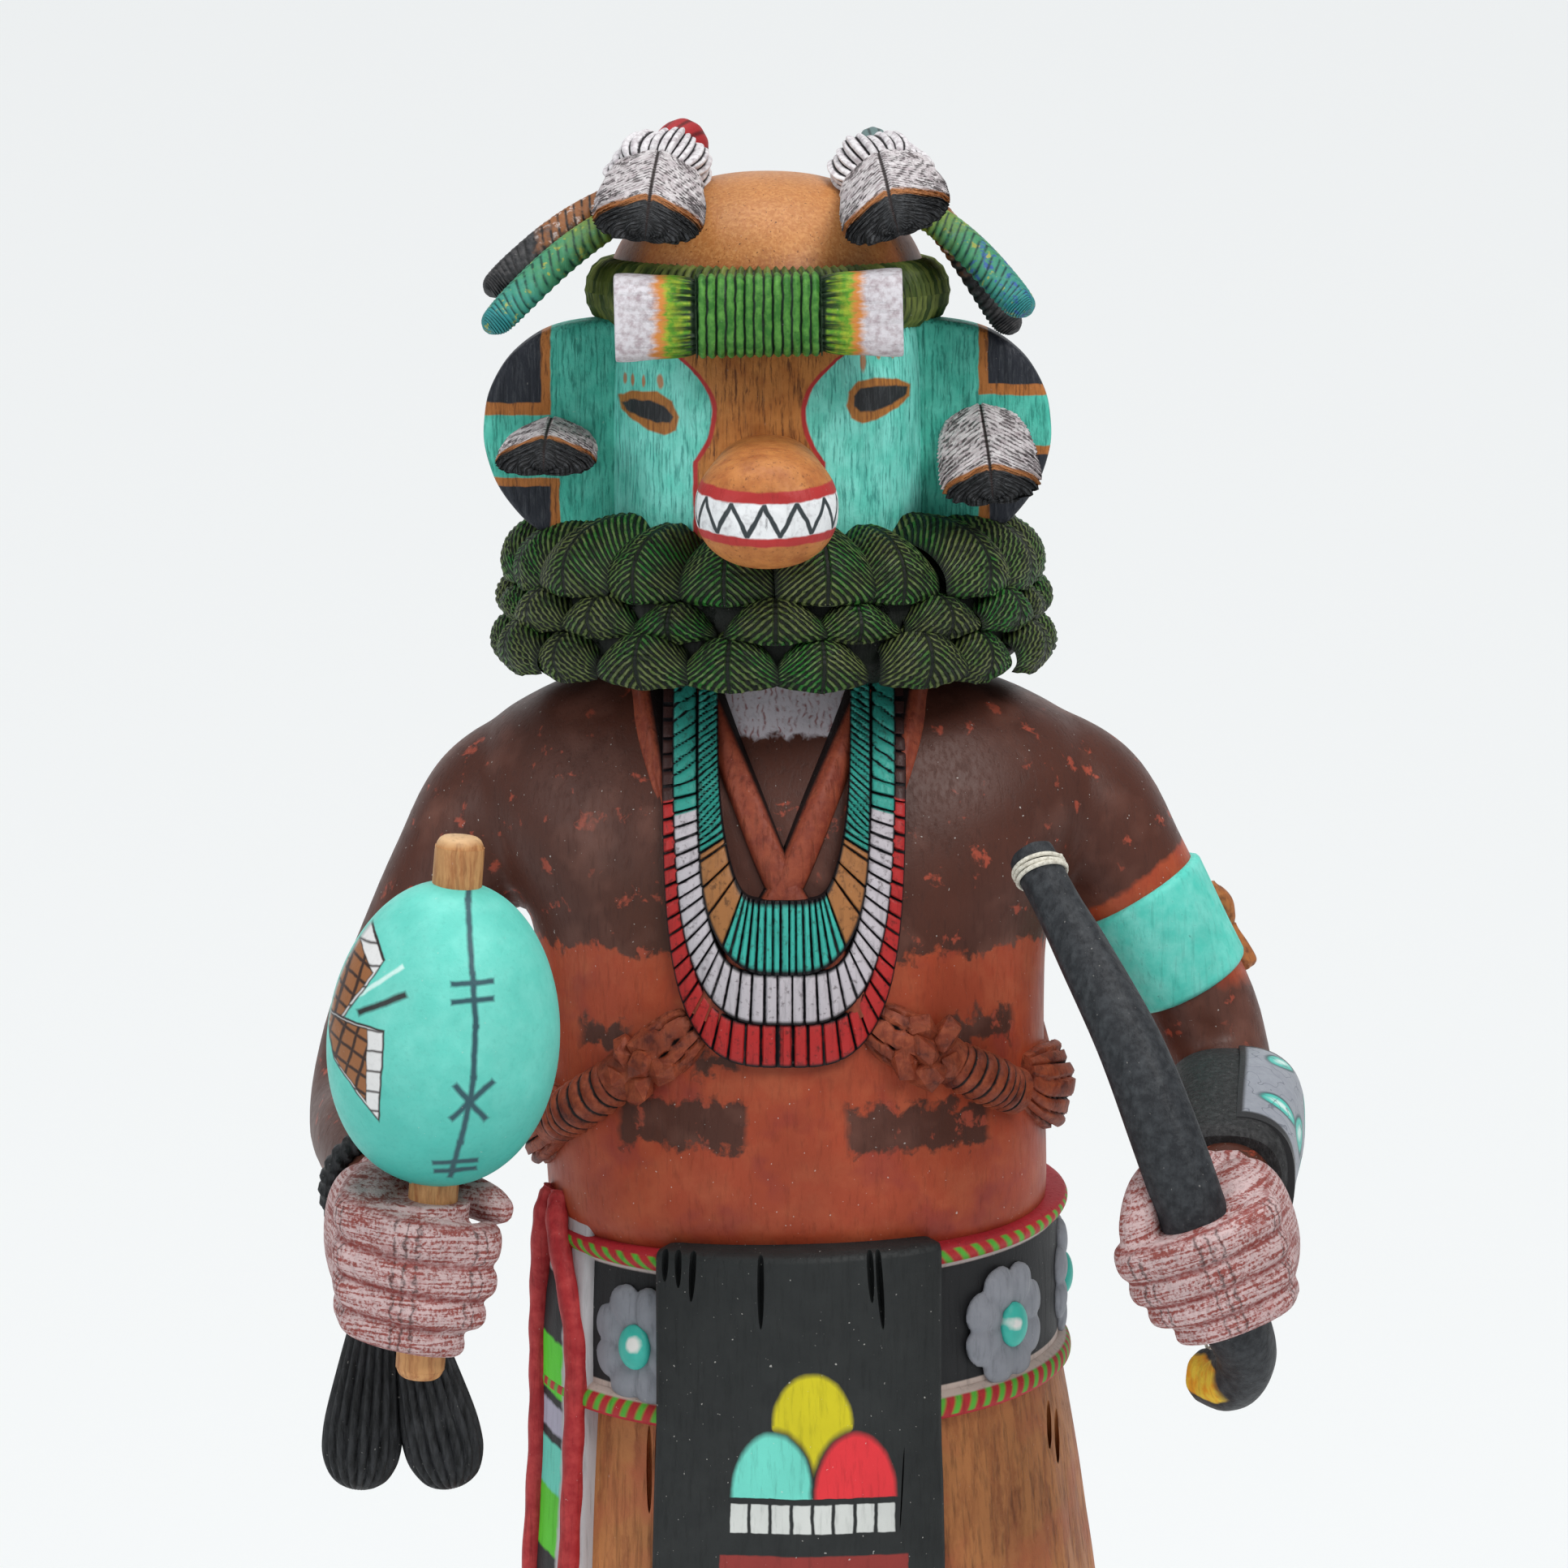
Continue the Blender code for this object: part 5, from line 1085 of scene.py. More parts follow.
straps = []
hanks = []
for side, fall in ((1, 0.3), (-1, 5.0)):
    def front_sag(a, fall=fall):
        return fall * (a / 30) ** 2

    def level_sag(a, fall=fall):
        return fall

    def no_sag(a):
        return 0.0

    strap = strap_rows(STRAP_STATIONS, side, front_sag, chest)
    straps.append(limb("front_strap", 28, 60, strap, away, 2.6,
                       relief=lambda u, v: 0.12 * math.cos(10 * math.pi * u) * (0.4 + v)))
    shoulder = strap_rows(TIE_STATIONS, side, no_sag, lambda x, z, lift: chest(x - 0.6, z, lift))
    straps.append(limb("shoulder_tie", 28, 36, shoulder, away, 2.6,
                       relief=lambda u, v: -0.5 * math.exp(-((abs(u - 0.25) - 0.012) / 0.02) ** 2)))
    behind = strap_rows([(84, 176, 3, 1.6), (120, 186, 3, 1.6), (155, 200, 3, 1.6), (190, 214, 3, 1.6),
                         (212, 229, 3, 1.6)], side, no_sag, around)
    straps.append(limb("back_strap", 24, 50, behind, away, 2.4, extra=0.15 * side))
    strips = strap_rows(STRIP_STATIONS, side, front_sag, chest)
    hanks.append(limb("strips", 72, 30, strips, away, 2.8, relief=strip_cut))
    mark_skin(hanks[-1], "cut", lambda u, v: -strip_cut(u, v) / STRIP_DEPTH)
    hank = strap_rows(HANK_STATIONS, side, front_sag, chest)
    hanks.append(limb("hank", 36, 150, hank, away, 2.3, relief=cord_cut))
    mark_skin(hanks[-1], "cut", lambda u, v: -cord_cut(u, v) / CORD_DEPTH if v > CORD_FROM else 0.3)
    tuft = strap_rows(TUFT_LINE, side, level_sag, around)
    hanks.append(limb("tuft", 120, 40, tuft, away, 2.4, relief=tuft_cut))
    mark_skin(hanks[-1], "cut", lambda u, v: -tuft_cut(u, v))
    for number, (a, across, lift, *reach) in enumerate(KNOT_LUMPS):
        deselect()
        bpy.ops.mesh.primitive_ico_sphere_add(subdivisions=1, radius=UNIT * 1.1, location=(0, 0, 0))
        lump = bpy.context.object
        for corner in lump.data.vertices:
            corner.co *= 1 + 0.2 * math.sin(corner.co.x / UNIT * 5 + number * 2.3 + side)
            corner.co = Vector(part * size for part, size in zip(corner.co, reach))
        spin = Matrix.Rotation(math.radians(side * 32 + 47 * number), 4, "Y")
        level = 184.9 - 0.62 * (a - 17.5) - front_sag(a) + 0.85 * across
        spot = chest(side * (a + 0.45 * across), level, lift - 0.2)
        lump.data.transform(Matrix.Translation(spot) @ spin)
        mark_skin(lump, "cut", lambda u, v: 0.0)
        hanks.append(lump)
f = Finish("hide_brown", 0.3)
around_strap, _ = f.round_and_along()
hide = f.mottled((0.2, 0.035, 0.018), (0.3, 0.065, 0.03), 0.35, 0.65, 0.6, 5.0)
strap_edge = f.calc("PINGPONG", f.calc("MULTIPLY", around_strap, 2.0), 0.5)
hide = f.over(hide, (0.012, 0.006, 0.006), f.ramp(strap_edge, 0.24, 0.14))
set_on_doll(join("shoulder_straps", straps), f.done(hide, 0.6, 0.5, 0.1, 0.4), "brown_paint")
hanks = join("tied_hanks", hanks)
f = Finish("hank_brown", 0.2)
cut = f.calc("MULTIPLY_ADD", f.noise(f.units, 1.2, 3.0), 0.5, f.mark("cut"))
hide = f.mottled((0.2, 0.036, 0.015), (0.33, 0.075, 0.03), 0.4, 0.65, 0.7, 5.0)
hide = f.mottled(hide, (0.1, 0.018, 0.01), 0.52, 0.66, 0.35, 4.0)
# Painted shade: near black in the cuts between the strips, between the cord's turns and between the tuft's
# ends.
hide = f.over(hide, (0.008, 0.004, 0.004), f.ramp(cut, 0.62, 0.88))
set_on_doll(hanks, f.done(hide, 0.5, 0.5, 0.1, 0.4), "brown_paint")


# Arm band and bow guard. A broad turquoise band with a knotted tie on the left upper arm, and a
# black leather guard with a grey metal plate and small stones on the left wrist. All is carved on.
BAND_PART = (5.8 / 23, 9.2 / 23)
GUARD_PART = (16.4 / 23, 21.6 / 23)
GUARD_LIFT = 1.7
# Each small stone's dark rim, its turquoise and a painted highlight: half sizes, softness and colour
STONE_LAYERS = [((3.1, 1.6), 0.12, (0.03, 0.07, 0.08)), ((2.75, 1.25), 0.12, (0.07, 0.5, 0.42)),
                ((1.6, 0.5), 0.5, (0.6, 0.8, 0.76))]
BAND_TIE = [(60.6, 4.0, 201.8, 0.8, 0.9), (60.9, 4.0, 200.6, 1.5, 1.7), (62.0, 4.4, 198.6, 2.1, 2.2),
            (62.8, 4.5, 196.6, 1.7, 1.8), (63.2, 4.4, 195.2, 1.25, 1.5), (64.0, 4.3, 192.6, 2.0, 2.1),
            (65.0, 4.2, 190.0, 2.4, 2.4), (65.3, 4.2, 189.2, 1.8, 1.8)]


def cuff_relief(u, v):
    """The band's two edges are eased over its thickness."""
    edge = min(v, 1 - v)
    return -0.75 * max(0.0, 1 - edge / 0.05) ** 2


band = limb("arm_band", 72, 40, LEFT_ARM, X_AXIS, extra=1.0, relief=cuff_relief, part=BAND_PART)
f = Finish("band_turquoise", 0.2)
worn = f.mottled((0.09, 0.6, 0.5), (0.2, 0.7, 0.61), 0.35, 0.7, 0.35, 5.0)
worn = f.mottled(worn, (0.03, 0.2, 0.17), 0.68, 0.8, 1.4)
set_on_doll(band, f.done(worn, 0.3, 0.5, 0.1, 0.35), "turquoise_paint")
tie = limb("band_tie", 32, 60, BAND_TIE, Y_AXIS, 2.3,
           relief=lambda u, v: 0.22 * math.cos(10 * math.pi * u) * (v > 0.55))
f = Finish("tie_brown", 0.2)
knot = f.mottled((0.4, 0.14, 0.04), (0.16, 0.05, 0.02), 0.45, 0.7, 0.7, 4.0)
set_on_doll(tie, f.done(knot, 0.6, 0.5, 0.2, 0.4), "brown_paint")

guard = limb("bow_guard", 72, 40, LEFT_ARM, X_AXIS, 2.6, extra=GUARD_LIFT, relief=cuff_relief,
             part=GUARD_PART)
f = Finish("guard_leather", 0.1)
leather = f.mottled((0.018, 0.018, 0.019), (0.05, 0.05, 0.052), 0.45, 0.75, 1.3, 5.0)
set_on_doll(guard, f.done(leather, 0.3, 0.4, 0.1, 0.6, gloss=0.05), "black_paint")


def plate_spot(u, v):
    """A thin curved plate over the guard's outer and upper side."""
    share = GUARD_PART[0] + (GUARD_PART[1] - GUARD_PART[0]) * (0.04 + 0.92 * v)
    row = read(LEFT_ARM, share)
    middle = at(*row[:3])
    a, b = slab(u, 1.0, 1.0, 0.2)
    c, s = rounded((28 + 58 * a) / 360, 2.6)
    reach = GUARD_LIFT + (0.55 + 0.25 * b if b > 0 else 0.3 + 1.2 * b)
    return middle + (X_AXIS * c * (row[3] + reach) + Z_AXIS * s * (row[4] + reach)) * UNIT


plate = wrap("guard_plate", 96, 40, plate_spot)
f = Finish("guard_metal", 0.1)
metal = f.over((0.22, 0.235, 0.28), (0.34, 0.36, 0.4), f.noise(f.units, 0.5, 4.0))
_, along = f.round_and_along()
mark_skin(plate, "across", lambda u, v: slab(u, 1.0, 1.0, 0.2)[0])
across = f.mark("across")
plate_x = f.calc("MULTIPLY", across, 7.0)
plate_y = f.calc("MULTIPLY", along, 22.0)
# Each stone is painted as a dark rim, then turquoise, then a pale painted highlight.
for a, v, tilt in ((0.42, 0.2, 65), (0.3, 0.72, 10), (-0.32, 0.62, 80), (-0.4, 0.2, 100), (-0.85, 0.5, 90)):
    for reach, soft, colour in STONE_LAYERS:
        stone_mark = f.oval(plate_x, plate_y, (a * 7, v * 22), reach, tilt, soft)
        metal = f.over(metal, colour, stone_mark)
scroll = f.ramp(f.calc("ABSOLUTE", f.calc("SUBTRACT", f.noise(f.units, 0.3, 1.0), 0.5)), 0.012, 0.006)
metal = f.over(metal, (0.1, 0.11, 0.14), f.both(scroll, 0.7))
edge = f.any_of(f.ramp(along, 0.07, 0.05), f.ramp(along, 0.93, 0.95), f.ramp(across, 0.9, 0.95))
metal = f.over(metal, (0.02, 0.02, 0.022), edge)
set_on_doll(plate, f.done(metal, 0.15, 0.3, 0.05, 0.2, gloss=-0.1), "grey_paint")


# Fists. Each hand is carved with the arm and bored for what it holds: four curled fingers, a thumb
# and the back of the hand, dry-brushed chalky pink over red-brown with the creases drawn in black.
BOW = [
    (33.4, -40.0, 212.6), (36.8, -45.6, 206.6), (40.3, -50.0, 200.3), (46.2, -56.4, 189.0),
    (51.0, -60.4, 177.0), (55.4, -61.6, 164.8), (59.6, -60.0, 154.0), (62.4, -55.0, 146.4),
    (61.6, -47.0, 141.6), (58.4, -39.6, 140.4),
]
BOW_GRIP = 5
HANDLE_LOW = (-48.2, -61.0, 151.0)
HANDLE_LEAN = (at(-42.2, -63.4, 218.4) - at(-48.9, -60.6, 146.0)).normalized()
FINGER_STOPS = (196, 194, 184, 172)
FINGER_START = -42
# Each finger from the first to the little one: its place along the rod and half its thickness in
# pitches, its reach round the rod, and how far it is set to the outer side
FINGERS = [(1.46, 0.66, 1.04, 0.0), (0.38, 0.52, 1.02, 0.02), (-0.58, 0.49, 0.93, 0.07),
           (-1.46, 0.44, 0.8, 0.14)]
THICKEST_FINGER = 2.3
# Half the palm's height, and half the height within which a point counts as on a finger, in pitches
HALF_PALM = 1.85
HALF_FINGERS = 2.05
LEFT_THUMB = [(60, -47, 168.5, 4.0, 4.0), (54, -53, 171.0, 3.6, 3.6), (50.6, -56.4, 171.0, 3.3, 3.3),
              (48.4, -58.9, 169.0, 3.1, 3.0), (47.2, -61.8, 165.2, 2.8, 2.7), (46.9, -63.4, 162.6, 1.8, 1.8)]
RIGHT_THUMB = [(-54, -47, 168.0, 4.0, 3.8), (-47, -52.5, 169.0, 3.3, 3.1), (-43.6, -54.4, 168.8, 3.0, 2.8),
               (-41.0, -55.8, 168.2, 2.9, 2.7), (-38.6, -57.4, 167.4, 2.5, 2.4),
               (-36.7, -58.6, 166.9, 1.4, 1.3)]


def fist(name, middle, axis, reach, wrist, side, pitch, lean, thumb):
    """A hand closed round a rod, and a way to tell which finger a point is on and how far round it."""
    out = (X_AXIS * side - axis * axis.dot(X_AXIS * side)).normalized()
    front = axis.cross(out).normalized()
    if front.y > 0:
        front = -front
    wide, deep = reach
    parts = []

    def sink(degrees):
        return (0.12 * math.sin(math.radians(degrees)) + lean * degrees / 180) * pitch

    for number, stop in enumerate(FINGER_STOPS):
        def spot(u, v, number=number, stop=stop):
            degrees = FINGER_START + (stop - FINGER_START) * v
            c, s = rounded(degrees / 360, 2.35)
            place, thick, share, shift = FINGERS[number]
            half = thick * pitch
            curled = (out * wide * (c * share + shift) + front * deep * s * (0.4 + 0.6 * share))
            row = middle + (axis * (place * pitch - sink(degrees)) + curled) * UNIT
            outward = curled.normalized()
            a, b = rounded(u, 2.4)
            tip = math.sqrt(max(0.0, 1 - max(0.0, (v - 0.93) / 0.07) ** 2))
            knuckle = 0.12 * math.cos(2 * math.pi * (degrees - 26 - 7 * number) / 62)
            size = min(half, THICKEST_FINGER) * (1 + knuckle) * tip
            return row + (axis * a * half * 0.97 * tip + outward * b * size * 1.1) * UNIT
        parts.append(wrap(f"{name}_finger", 28, 70, spot))
    half_palm = HALF_PALM * pitch
    parts.append(wrap(f"{name}_palm", 32, 16, lambda u, v: middle + (
        axis * half_palm * (2 * v - 1) + out * wide * (0.1 + 0.86 * rounded(u)[0])
        + front * deep * 0.94 * rounded(u)[1]) * UNIT))
    knuckles = middle + (out * 0.72 * wide - front * 0.2 * deep) * UNIT
    heel = knuckles * 0.45 + wrist * 0.55 + out * 0.8 * UNIT
    rows = []
    for place, across, high in ((wrist - (knuckles - wrist) * 0.3, 6.5, 6.6), (wrist, 6.6, 7.1),
                                (heel, 7.0, 9.3), (knuckles + front * 2.4 * UNIT, 4.2, 1.95 * pitch)):
        rows.append((*in_units(place), across, high))
    parts.append(limb(f"{name}_back", 36, 40, rows, axis, 2.4))
    parts.append(limb(f"{name}_thumb", 28, 40, thumb, X_AXIS))
    hand = carve_as_one(name, parts, 0.48, 1)

    def curl(place):
        part = (place - middle) / UNIT
        return math.degrees(math.atan2(part.dot(front) / deep, part.dot(out) / wide))

    def on_finger(place):
        """How far across its finger a point is, from 0 on the ridge to 1 in the groove."""
        rise = (place - middle).dot(axis) / UNIT + sink(max(FINGER_START, curl(place)))
        share = rise / pitch
        return min(abs(share - row) / half for row, half, _, _ in FINGERS) if -1.9 < share < 2.1 else 0.0

    def is_finger(place):
        rise = (place - middle).dot(axis) / UNIT + sink(max(FINGER_START, curl(place)))
        part = place - middle
        far = math.hypot(part.dot(out) / wide, part.dot(front) / deep) / UNIT
        start = -48 - 60 * (part.dot(out) < 0)
        inside = abs(rise) < HALF_FINGERS * pitch and far > 1.12 and curl(place) > start
        return 1.0 if inside and (place - heel).length > 7.5 * UNIT else 0.0

    mark(hand, "curl", curl)
    mark(hand, "groove", on_finger)
    mark(hand, "finger", is_finger)
    mark(hand, "rise", lambda place: (place - middle).dot(axis) / UNIT + 0.1 * sink(curl(place)))
    return hand


bow_axis = (at(*BOW[BOW_GRIP - 1]) - at(*BOW[BOW_GRIP + 1])).normalized()
left_middle = at(*BOW[BOW_GRIP]) - bow_axis * 5.6 * UNIT - X_AXIS * 0.5 * UNIT
right_middle = at(*HANDLE_LOW) + HANDLE_LEAN * 10.0 * UNIT - X_AXIS * 1.8 * UNIT
left_wrist = at(*LEFT_ARM[-1][:3])
right_wrist = at(*RIGHT_ARM[-1][:3])
left_fist = fist("left_fist", left_middle, bow_axis, (9.0, 6.2), left_wrist, 1, 3.9, 0.1, LEFT_THUMB)
right_fist = fist("right_fist", right_middle, HANDLE_LEAN, (8.7, 5.6), right_wrist, -1, 4.7, 0.75,
                  RIGHT_THUMB)
f = Finish("hand_paint", 0.1)
curl, groove, finger = f.mark("curl"), f.mark("groove"), f.mark("finger")
stroke_rise = f.calc("MULTIPLY", f.mark("rise"), 2.3)
brushed = f.step("CombineXYZ", f.calc("MULTIPLY", curl, 0.03), stroke_rise).outputs[0]
wrinkle = f.calc("ADD", f.calc("MULTIPLY", f.noise(brushed, 1.0, 4.0), 0.55),
                 f.calc("MULTIPLY", f.noise(f.units, 2.4, 5.0), 0.45))
hand = f.over((0.26, 0.06, 0.05), (0.56, 0.41, 0.41), f.ramp(wrinkle, 0.44, 0.53))
hand = f.over(hand, (0.34, 0.09, 0.08), f.both(f.ramp(f.noise(f.units, 0.35, 4.0), 0.56, 0.72), 0.5))
soft_groove = f.both(f.ramp(f.calc("MULTIPLY_ADD", f.noise(f.units, 1.6), 0.5, groove), 0.92, 1.2), finger)
hand = f.over(hand, (0.22, 0.04, 0.035), soft_groove)
hand = f.over(hand, (0.03, 0.01, 0.01), f.both(f.ramp(groove, 0.93, 0.99), finger))
wander = f.calc("MULTIPLY_ADD", f.noise(f.units, 0.9, 2.0), 9.0, curl)
creases = None
for degrees in (20, 28, 35, 78, 85, 92, 132, 140, 168):
    line = f.within(wander, degrees + 3.6, degrees + 5.2, 0.9)
    creases = line if creases is None else f.any_of(creases, line)
creases = f.both(creases, f.ramp(groove, 0.85, 0.75), finger, f.ramp(f.noise(f.units, 0.7, 2.0), 0.38, 0.46))
hand = f.over(hand, (0.04, 0.02, 0.02), f.both(creases, 0.85))
hand = f.over(hand, (0.1, 0.03, 0.03), f.both(f.ramp(f.noise(f.units, 2.6, 2.0), 0.66, 0.72), 0.6))
HAND_FINISH = f.done(hand, 0.3, 0.5, 0.15, 0.6, (1, 1, 0.5))
for hand in (left_fist, right_fist):
    set_on_doll(hand, HAND_FINISH, "body_paint")


# Mask. A turquoise case with a gold-brown nose band between red lines, two eyes and small brow
# dashes. It carries a ring wound from green yarn and a bare golden-brown dome, all one carving.
MASK = (-2.3, -1.5, 22.8, 24.5)
CASE = [(247, 0.96), (250, 0.97), (256, 1.0), (263, 1.0), (270, 1.0), (277, 0.99), (283, 0.96), (289, 0.86)]
YARN_LEVEL = 286.5
CROWN = 303
YARN_TURNS = 118
NOSE_MIDDLE = (-3.4, 271.2)
LEFT_EYE = [(-22.9, 272.8), (-22.4, 270.9), (-20.9, 269.6), (-18.6, 268.4), (-16.4, 267.9), (-14.8, 268.5),
            (-14.3, 270.4), (-15.2, 272.5), (-17.5, 273.8), (-20.9, 273.6)]
LEFT_PUPIL = [(-22.4, 271.8), (-21.7, 270.9), (-20.1, 270.2), (-17.5, 269.5), (-15.6, 269.6), (-15.1, 270.5),
              (-16.4, 271.8), (-18.6, 272.5), (-21.2, 272.4)]
RIGHT_EYE = [(17.5, 274.4), (15.8, 275.3), (12.4, 275.7), (10.1, 275.3), (8.8, 273.9), (8.6, 272.0),
             (9.2, 270.3), (10.7, 269.5), (12.9, 270.0), (15.8, 271.4), (17.3, 272.8)]
RIGHT_PUPIL = [(17.1, 274.2), (12.9, 274.6), (10.4, 274.3), (9.5, 273.3), (9.6, 271.9), (10.5, 271.1),
               (12.4, 271.1), (14.9, 271.9), (16.9, 273.1)]
BROW_DASHES = [(-21.9, 275.2, 0.24, 0.8), (-20.8, 275.1, 0.26, 0.8), (-19.3, 275.1, 0.26, 0.8),
               (-17.0, 275.1, 0.5, 0.95), (10.8, 278.0, 0.4, 1.4), (13.0, 278.8, 0.3, 0.6),
               (14.9, 278.8, 0.3, 0.6)]
MASK_BLUE = (0.13, 0.62, 0.51)
DEEP_BLUE = (0.02, 0.22, 0.19)
GOLD_BROWN = (0.5, 0.2, 0.05)
LINE_RED = (0.42, 0.03, 0.03)


def case_spot(u, v):
    z, share = read(CASE, v)
    a, b = rounded(u, 2.3)
    return at(MASK[0] + MASK[2] * share * a, MASK[1] + MASK[3] * share * b, z)


def dome_spot(u, v):
    turn = math.pi / 2 * v
    share = max(0.0, math.cos(turn)) ** 0.85
    a, b = rounded(u)
    z = YARN_LEVEL - 2 + (CROWN - YARN_LEVEL + 2) * math.sin(turn)
    return at(MASK[0] + MASK[2] * share * a, MASK[1] + MASK[3] * 0.97 * share * b, z)


def yarn_spot(u, v):
    turn = 2 * math.pi * v
    cord = 0.3 * math.cos(2 * math.pi * (YARN_TURNS * u + 0.5 * math.sin(turn)))
    reach = (3.2 + cord) * math.cos(turn) - 0.7
    a, b = rounded(u)
    return at(MASK[0] + (MASK[2] + reach) * a, MASK[1] + (MASK[3] + reach) * b,
              YARN_LEVEL + (4.4 + cord) * math.sin(turn))


mask_case = wrap("mask_case", 140, 50, case_spot)
f = Finish("mask_paint", 0.12)
grain = f.streaked((1, 1, 0.1), 2.6, 5.0)


def grained(below, dark, low=0.5, high=0.66, amount=0.8):
    """Darker paint in the wood's upright grain."""
    return f.over(below, dark, f.both(f.ramp(grain, low, high), amount))


blue = grained(f.mottled(MASK_BLUE, (0.22, 0.74, 0.64), 0.36, 0.6, 0.25, 4.0), DEEP_BLUE)
nose = grained(f.mottled(GOLD_BROWN, (0.36, 0.12, 0.025), 0.4, 0.7, 0.3), (0.07, 0.02, 0.008))
rise = f.calc("SUBTRACT", f.z, NOSE_MIDDLE[1])
above = f.ramp(rise, -0.5, 0.5)
spread = f.both(rise, rise, f.calc("MULTIPLY_ADD", above, 0.033, 0.056))
spread = f.calc("MINIMUM", spread, f.calc("MULTIPLY_ADD", above, 9.0, 2.6))
aside = f.calc("ABSOLUTE", f.calc("SUBTRACT", f.x, NOSE_MIDDLE[0]))
beyond = f.calc("SUBTRACT", aside, f.calc("ADD", spread, 6.1))
front = f.ramp(f.y, -6, -8)
paint = f.over(blue, nose, f.both(f.ramp(beyond, 0.1, -0.1), front))
paint = f.over(paint, LINE_RED, f.both(f.within(beyond, -0.35, 0.35, 0.12), front))
eye_ring = f.over((0.42, 0.17, 0.04), (0.2, 0.07, 0.02), f.ramp(grain, 0.45, 0.7))
pupil = f.over((0.022, 0.024, 0.027), (0.06, 0.065, 0.07), f.ramp(grain, 0.5, 0.7))
for ring, inner in ((LEFT_EYE, LEFT_PUPIL), (RIGHT_EYE, RIGHT_PUPIL)):
    paint = f.over(paint, eye_ring, f.both(f.area(f.x, f.z, ring, 0.14), front))
    paint = f.over(paint, pupil, f.both(f.area(f.x, f.z, inner, 0.14), front))
for x, z, half_width, half_height in BROW_DASHES:
    dash = f.oval(f.x, f.z, (x, z), (half_width, half_height), 0, 0.25)
    paint = f.over(paint, (0.45, 0.14, 0.04), f.both(dash, front, 0.85))
shade = f.both(f.ramp(f.z, 254.5, 251), 0.6)
paint = f.over(paint, (0.02, 0.16, 0.15), shade)
set_on_doll(mask_case, f.done(paint, 0.35, 0.5, 0.12, 0.6, (1, 1, 0.06)), "turquoise_paint")

dome = wrap("dome", 128, 48, dome_spot)
f = Finish("dome_stain", 0.5)
side = f.calc("ABSOLUTE", f.calc("SUBTRACT", f.x, MASK[0]))
speckle = f.noise(f.units, 1.9, 4.0)
stain = f.over((0.43, 0.165, 0.048), (0.54, 0.25, 0.085), f.ramp(speckle, 0.42, 0.66))
# Painted shade: the stain darkens towards the dome's left and right sides and towards its lower part, where
# its rounding turns from the light.
sideways = f.calc("MULTIPLY_ADD", f.noise(f.units, 0.3), 8.0, side)
low_down = f.calc("MULTIPLY_ADD", speckle, 4.0, f.z)
stain = f.over(stain, (0.26, 0.07, 0.025), f.ramp(sideways, 16, 25))
stain = f.over(stain, (0.24, 0.07, 0.025), f.ramp(low_down, 295.0, 290.5))
stain = f.mottled(stain, (0.08, 0.02, 0.01), 0.64, 0.72, 2.6, 2.0)
set_on_doll(dome, f.done(stain, 0.15, 0.4, 0.12, 0.3, gloss=-0.12), "bare_wood")

yarn_ring = wrap("yarn_ring", YARN_TURNS * 6, 16, yarn_spot)
f = Finish("yarn_green", 0.15)
turn, over_ring = f.round_and_along()
bow = f.calc("SINE", f.calc("MULTIPLY", over_ring, 2 * math.pi))
lay = f.calc("MULTIPLY_ADD", bow, 0.5, f.calc("MULTIPLY", turn, YARN_TURNS))
strand_tone = f.noise(f.step("CombineXYZ", lay, f.calc("MULTIPLY", over_ring, 3.0)).outputs[0], 0.9, 3.0)
yarn = f.over((0.035, 0.065, 0.012), (0.19, 0.23, 0.05), f.ramp(strand_tone, 0.4, 0.68))
yarn = f.over(yarn, (0.008, 0.014, 0.006), f.ramp(f.wave(lay), 0.2, 0.03))
set_on_doll(yarn_ring, f.done(yarn, 0.2, 0.4, 0.15, 0.4), "green_paint")


# Muzzle. A round snout turned from one peg of root and let into the mask: gold-brown, with a white
# band of zigzag teeth between red lips.
MUZZLE = [(-18, 262.4, 7.0, 5.6), (-24, 262.4, 7.2, 5.8), (-30, 262.2, 7.7, 6.2), (-36, 261.4, 8.6, 6.9),
          (-41, 260.5, 9.4, 7.6), (-45, 260.0, 9.6, 7.8), (-48.5, 259.4, 9.2, 7.4), (-51.2, 259.0, 7.6, 6.2),
          (-53.0, 258.8, 5.2, 4.2), (-53.8, 258.8, 2.4, 2.0), (-53.9, 258.8, 0.8, 0.7)]
TOOTH_TURN = 23

snout = [(MASK[0], y, z, wide, high) for y, z, wide, high in MUZZLE]
muzzle = limb("muzzle_carving", 96, 70, snout, Z_AXIS, 2.15)
f = Finish("muzzle_paint", 0.14)
dx = f.calc("SUBTRACT", f.x, MASK[0])
bowed = f.calc("MULTIPLY", f.calc("MULTIPLY", dx, dx), 1.1 / 9.6 ** 2)
level = f.calc("SUBTRACT", f.z, bowed)
gum = f.mottled((0.52, 0.2, 0.055), (0.36, 0.11, 0.03), 0.4, 0.68, 0.35, 5.0)
gum = f.over(gum, (0.12, 0.035, 0.015), f.both(f.ramp(f.noise(f.units, 1.6, 4.0), 0.58, 0.7), 0.7))
jaws = f.ramp(f.y, -30.5, -31.5)
paint = f.over(gum, LINE_RED, f.both(f.within(level, 255.6, 262.9), jaws))
teeth = f.both(f.within(level, 256.8, 261.3), f.ramp(f.y, -32.5, -33.5))
paint = f.over(paint, f.mottled((0.78, 0.8, 0.82), (0.5, 0.5, 0.52), 0.5, 0.75, 0.9), teeth)
bearing = f.calc("MULTIPLY", f.calc("ARCTAN2", dx, f.calc("MULTIPLY_ADD", f.y, -1.0, -43.0)), 180 / math.pi)
zig = f.calc("PINGPONG", f.calc("DIVIDE", f.calc("ADD", bearing, 1.8 + 10 * TOOTH_TURN), TOOTH_TURN / 2), 1.0)
zag = f.calc("MULTIPLY_ADD", zig, -4.1, 261.1)
gap = f.calc("ABSOLUTE", f.calc("SUBTRACT", level, zag))
paint = f.over(paint, (0.035, 0.045, 0.05), f.both(f.ramp(gap, 0.8, 0.5), teeth))
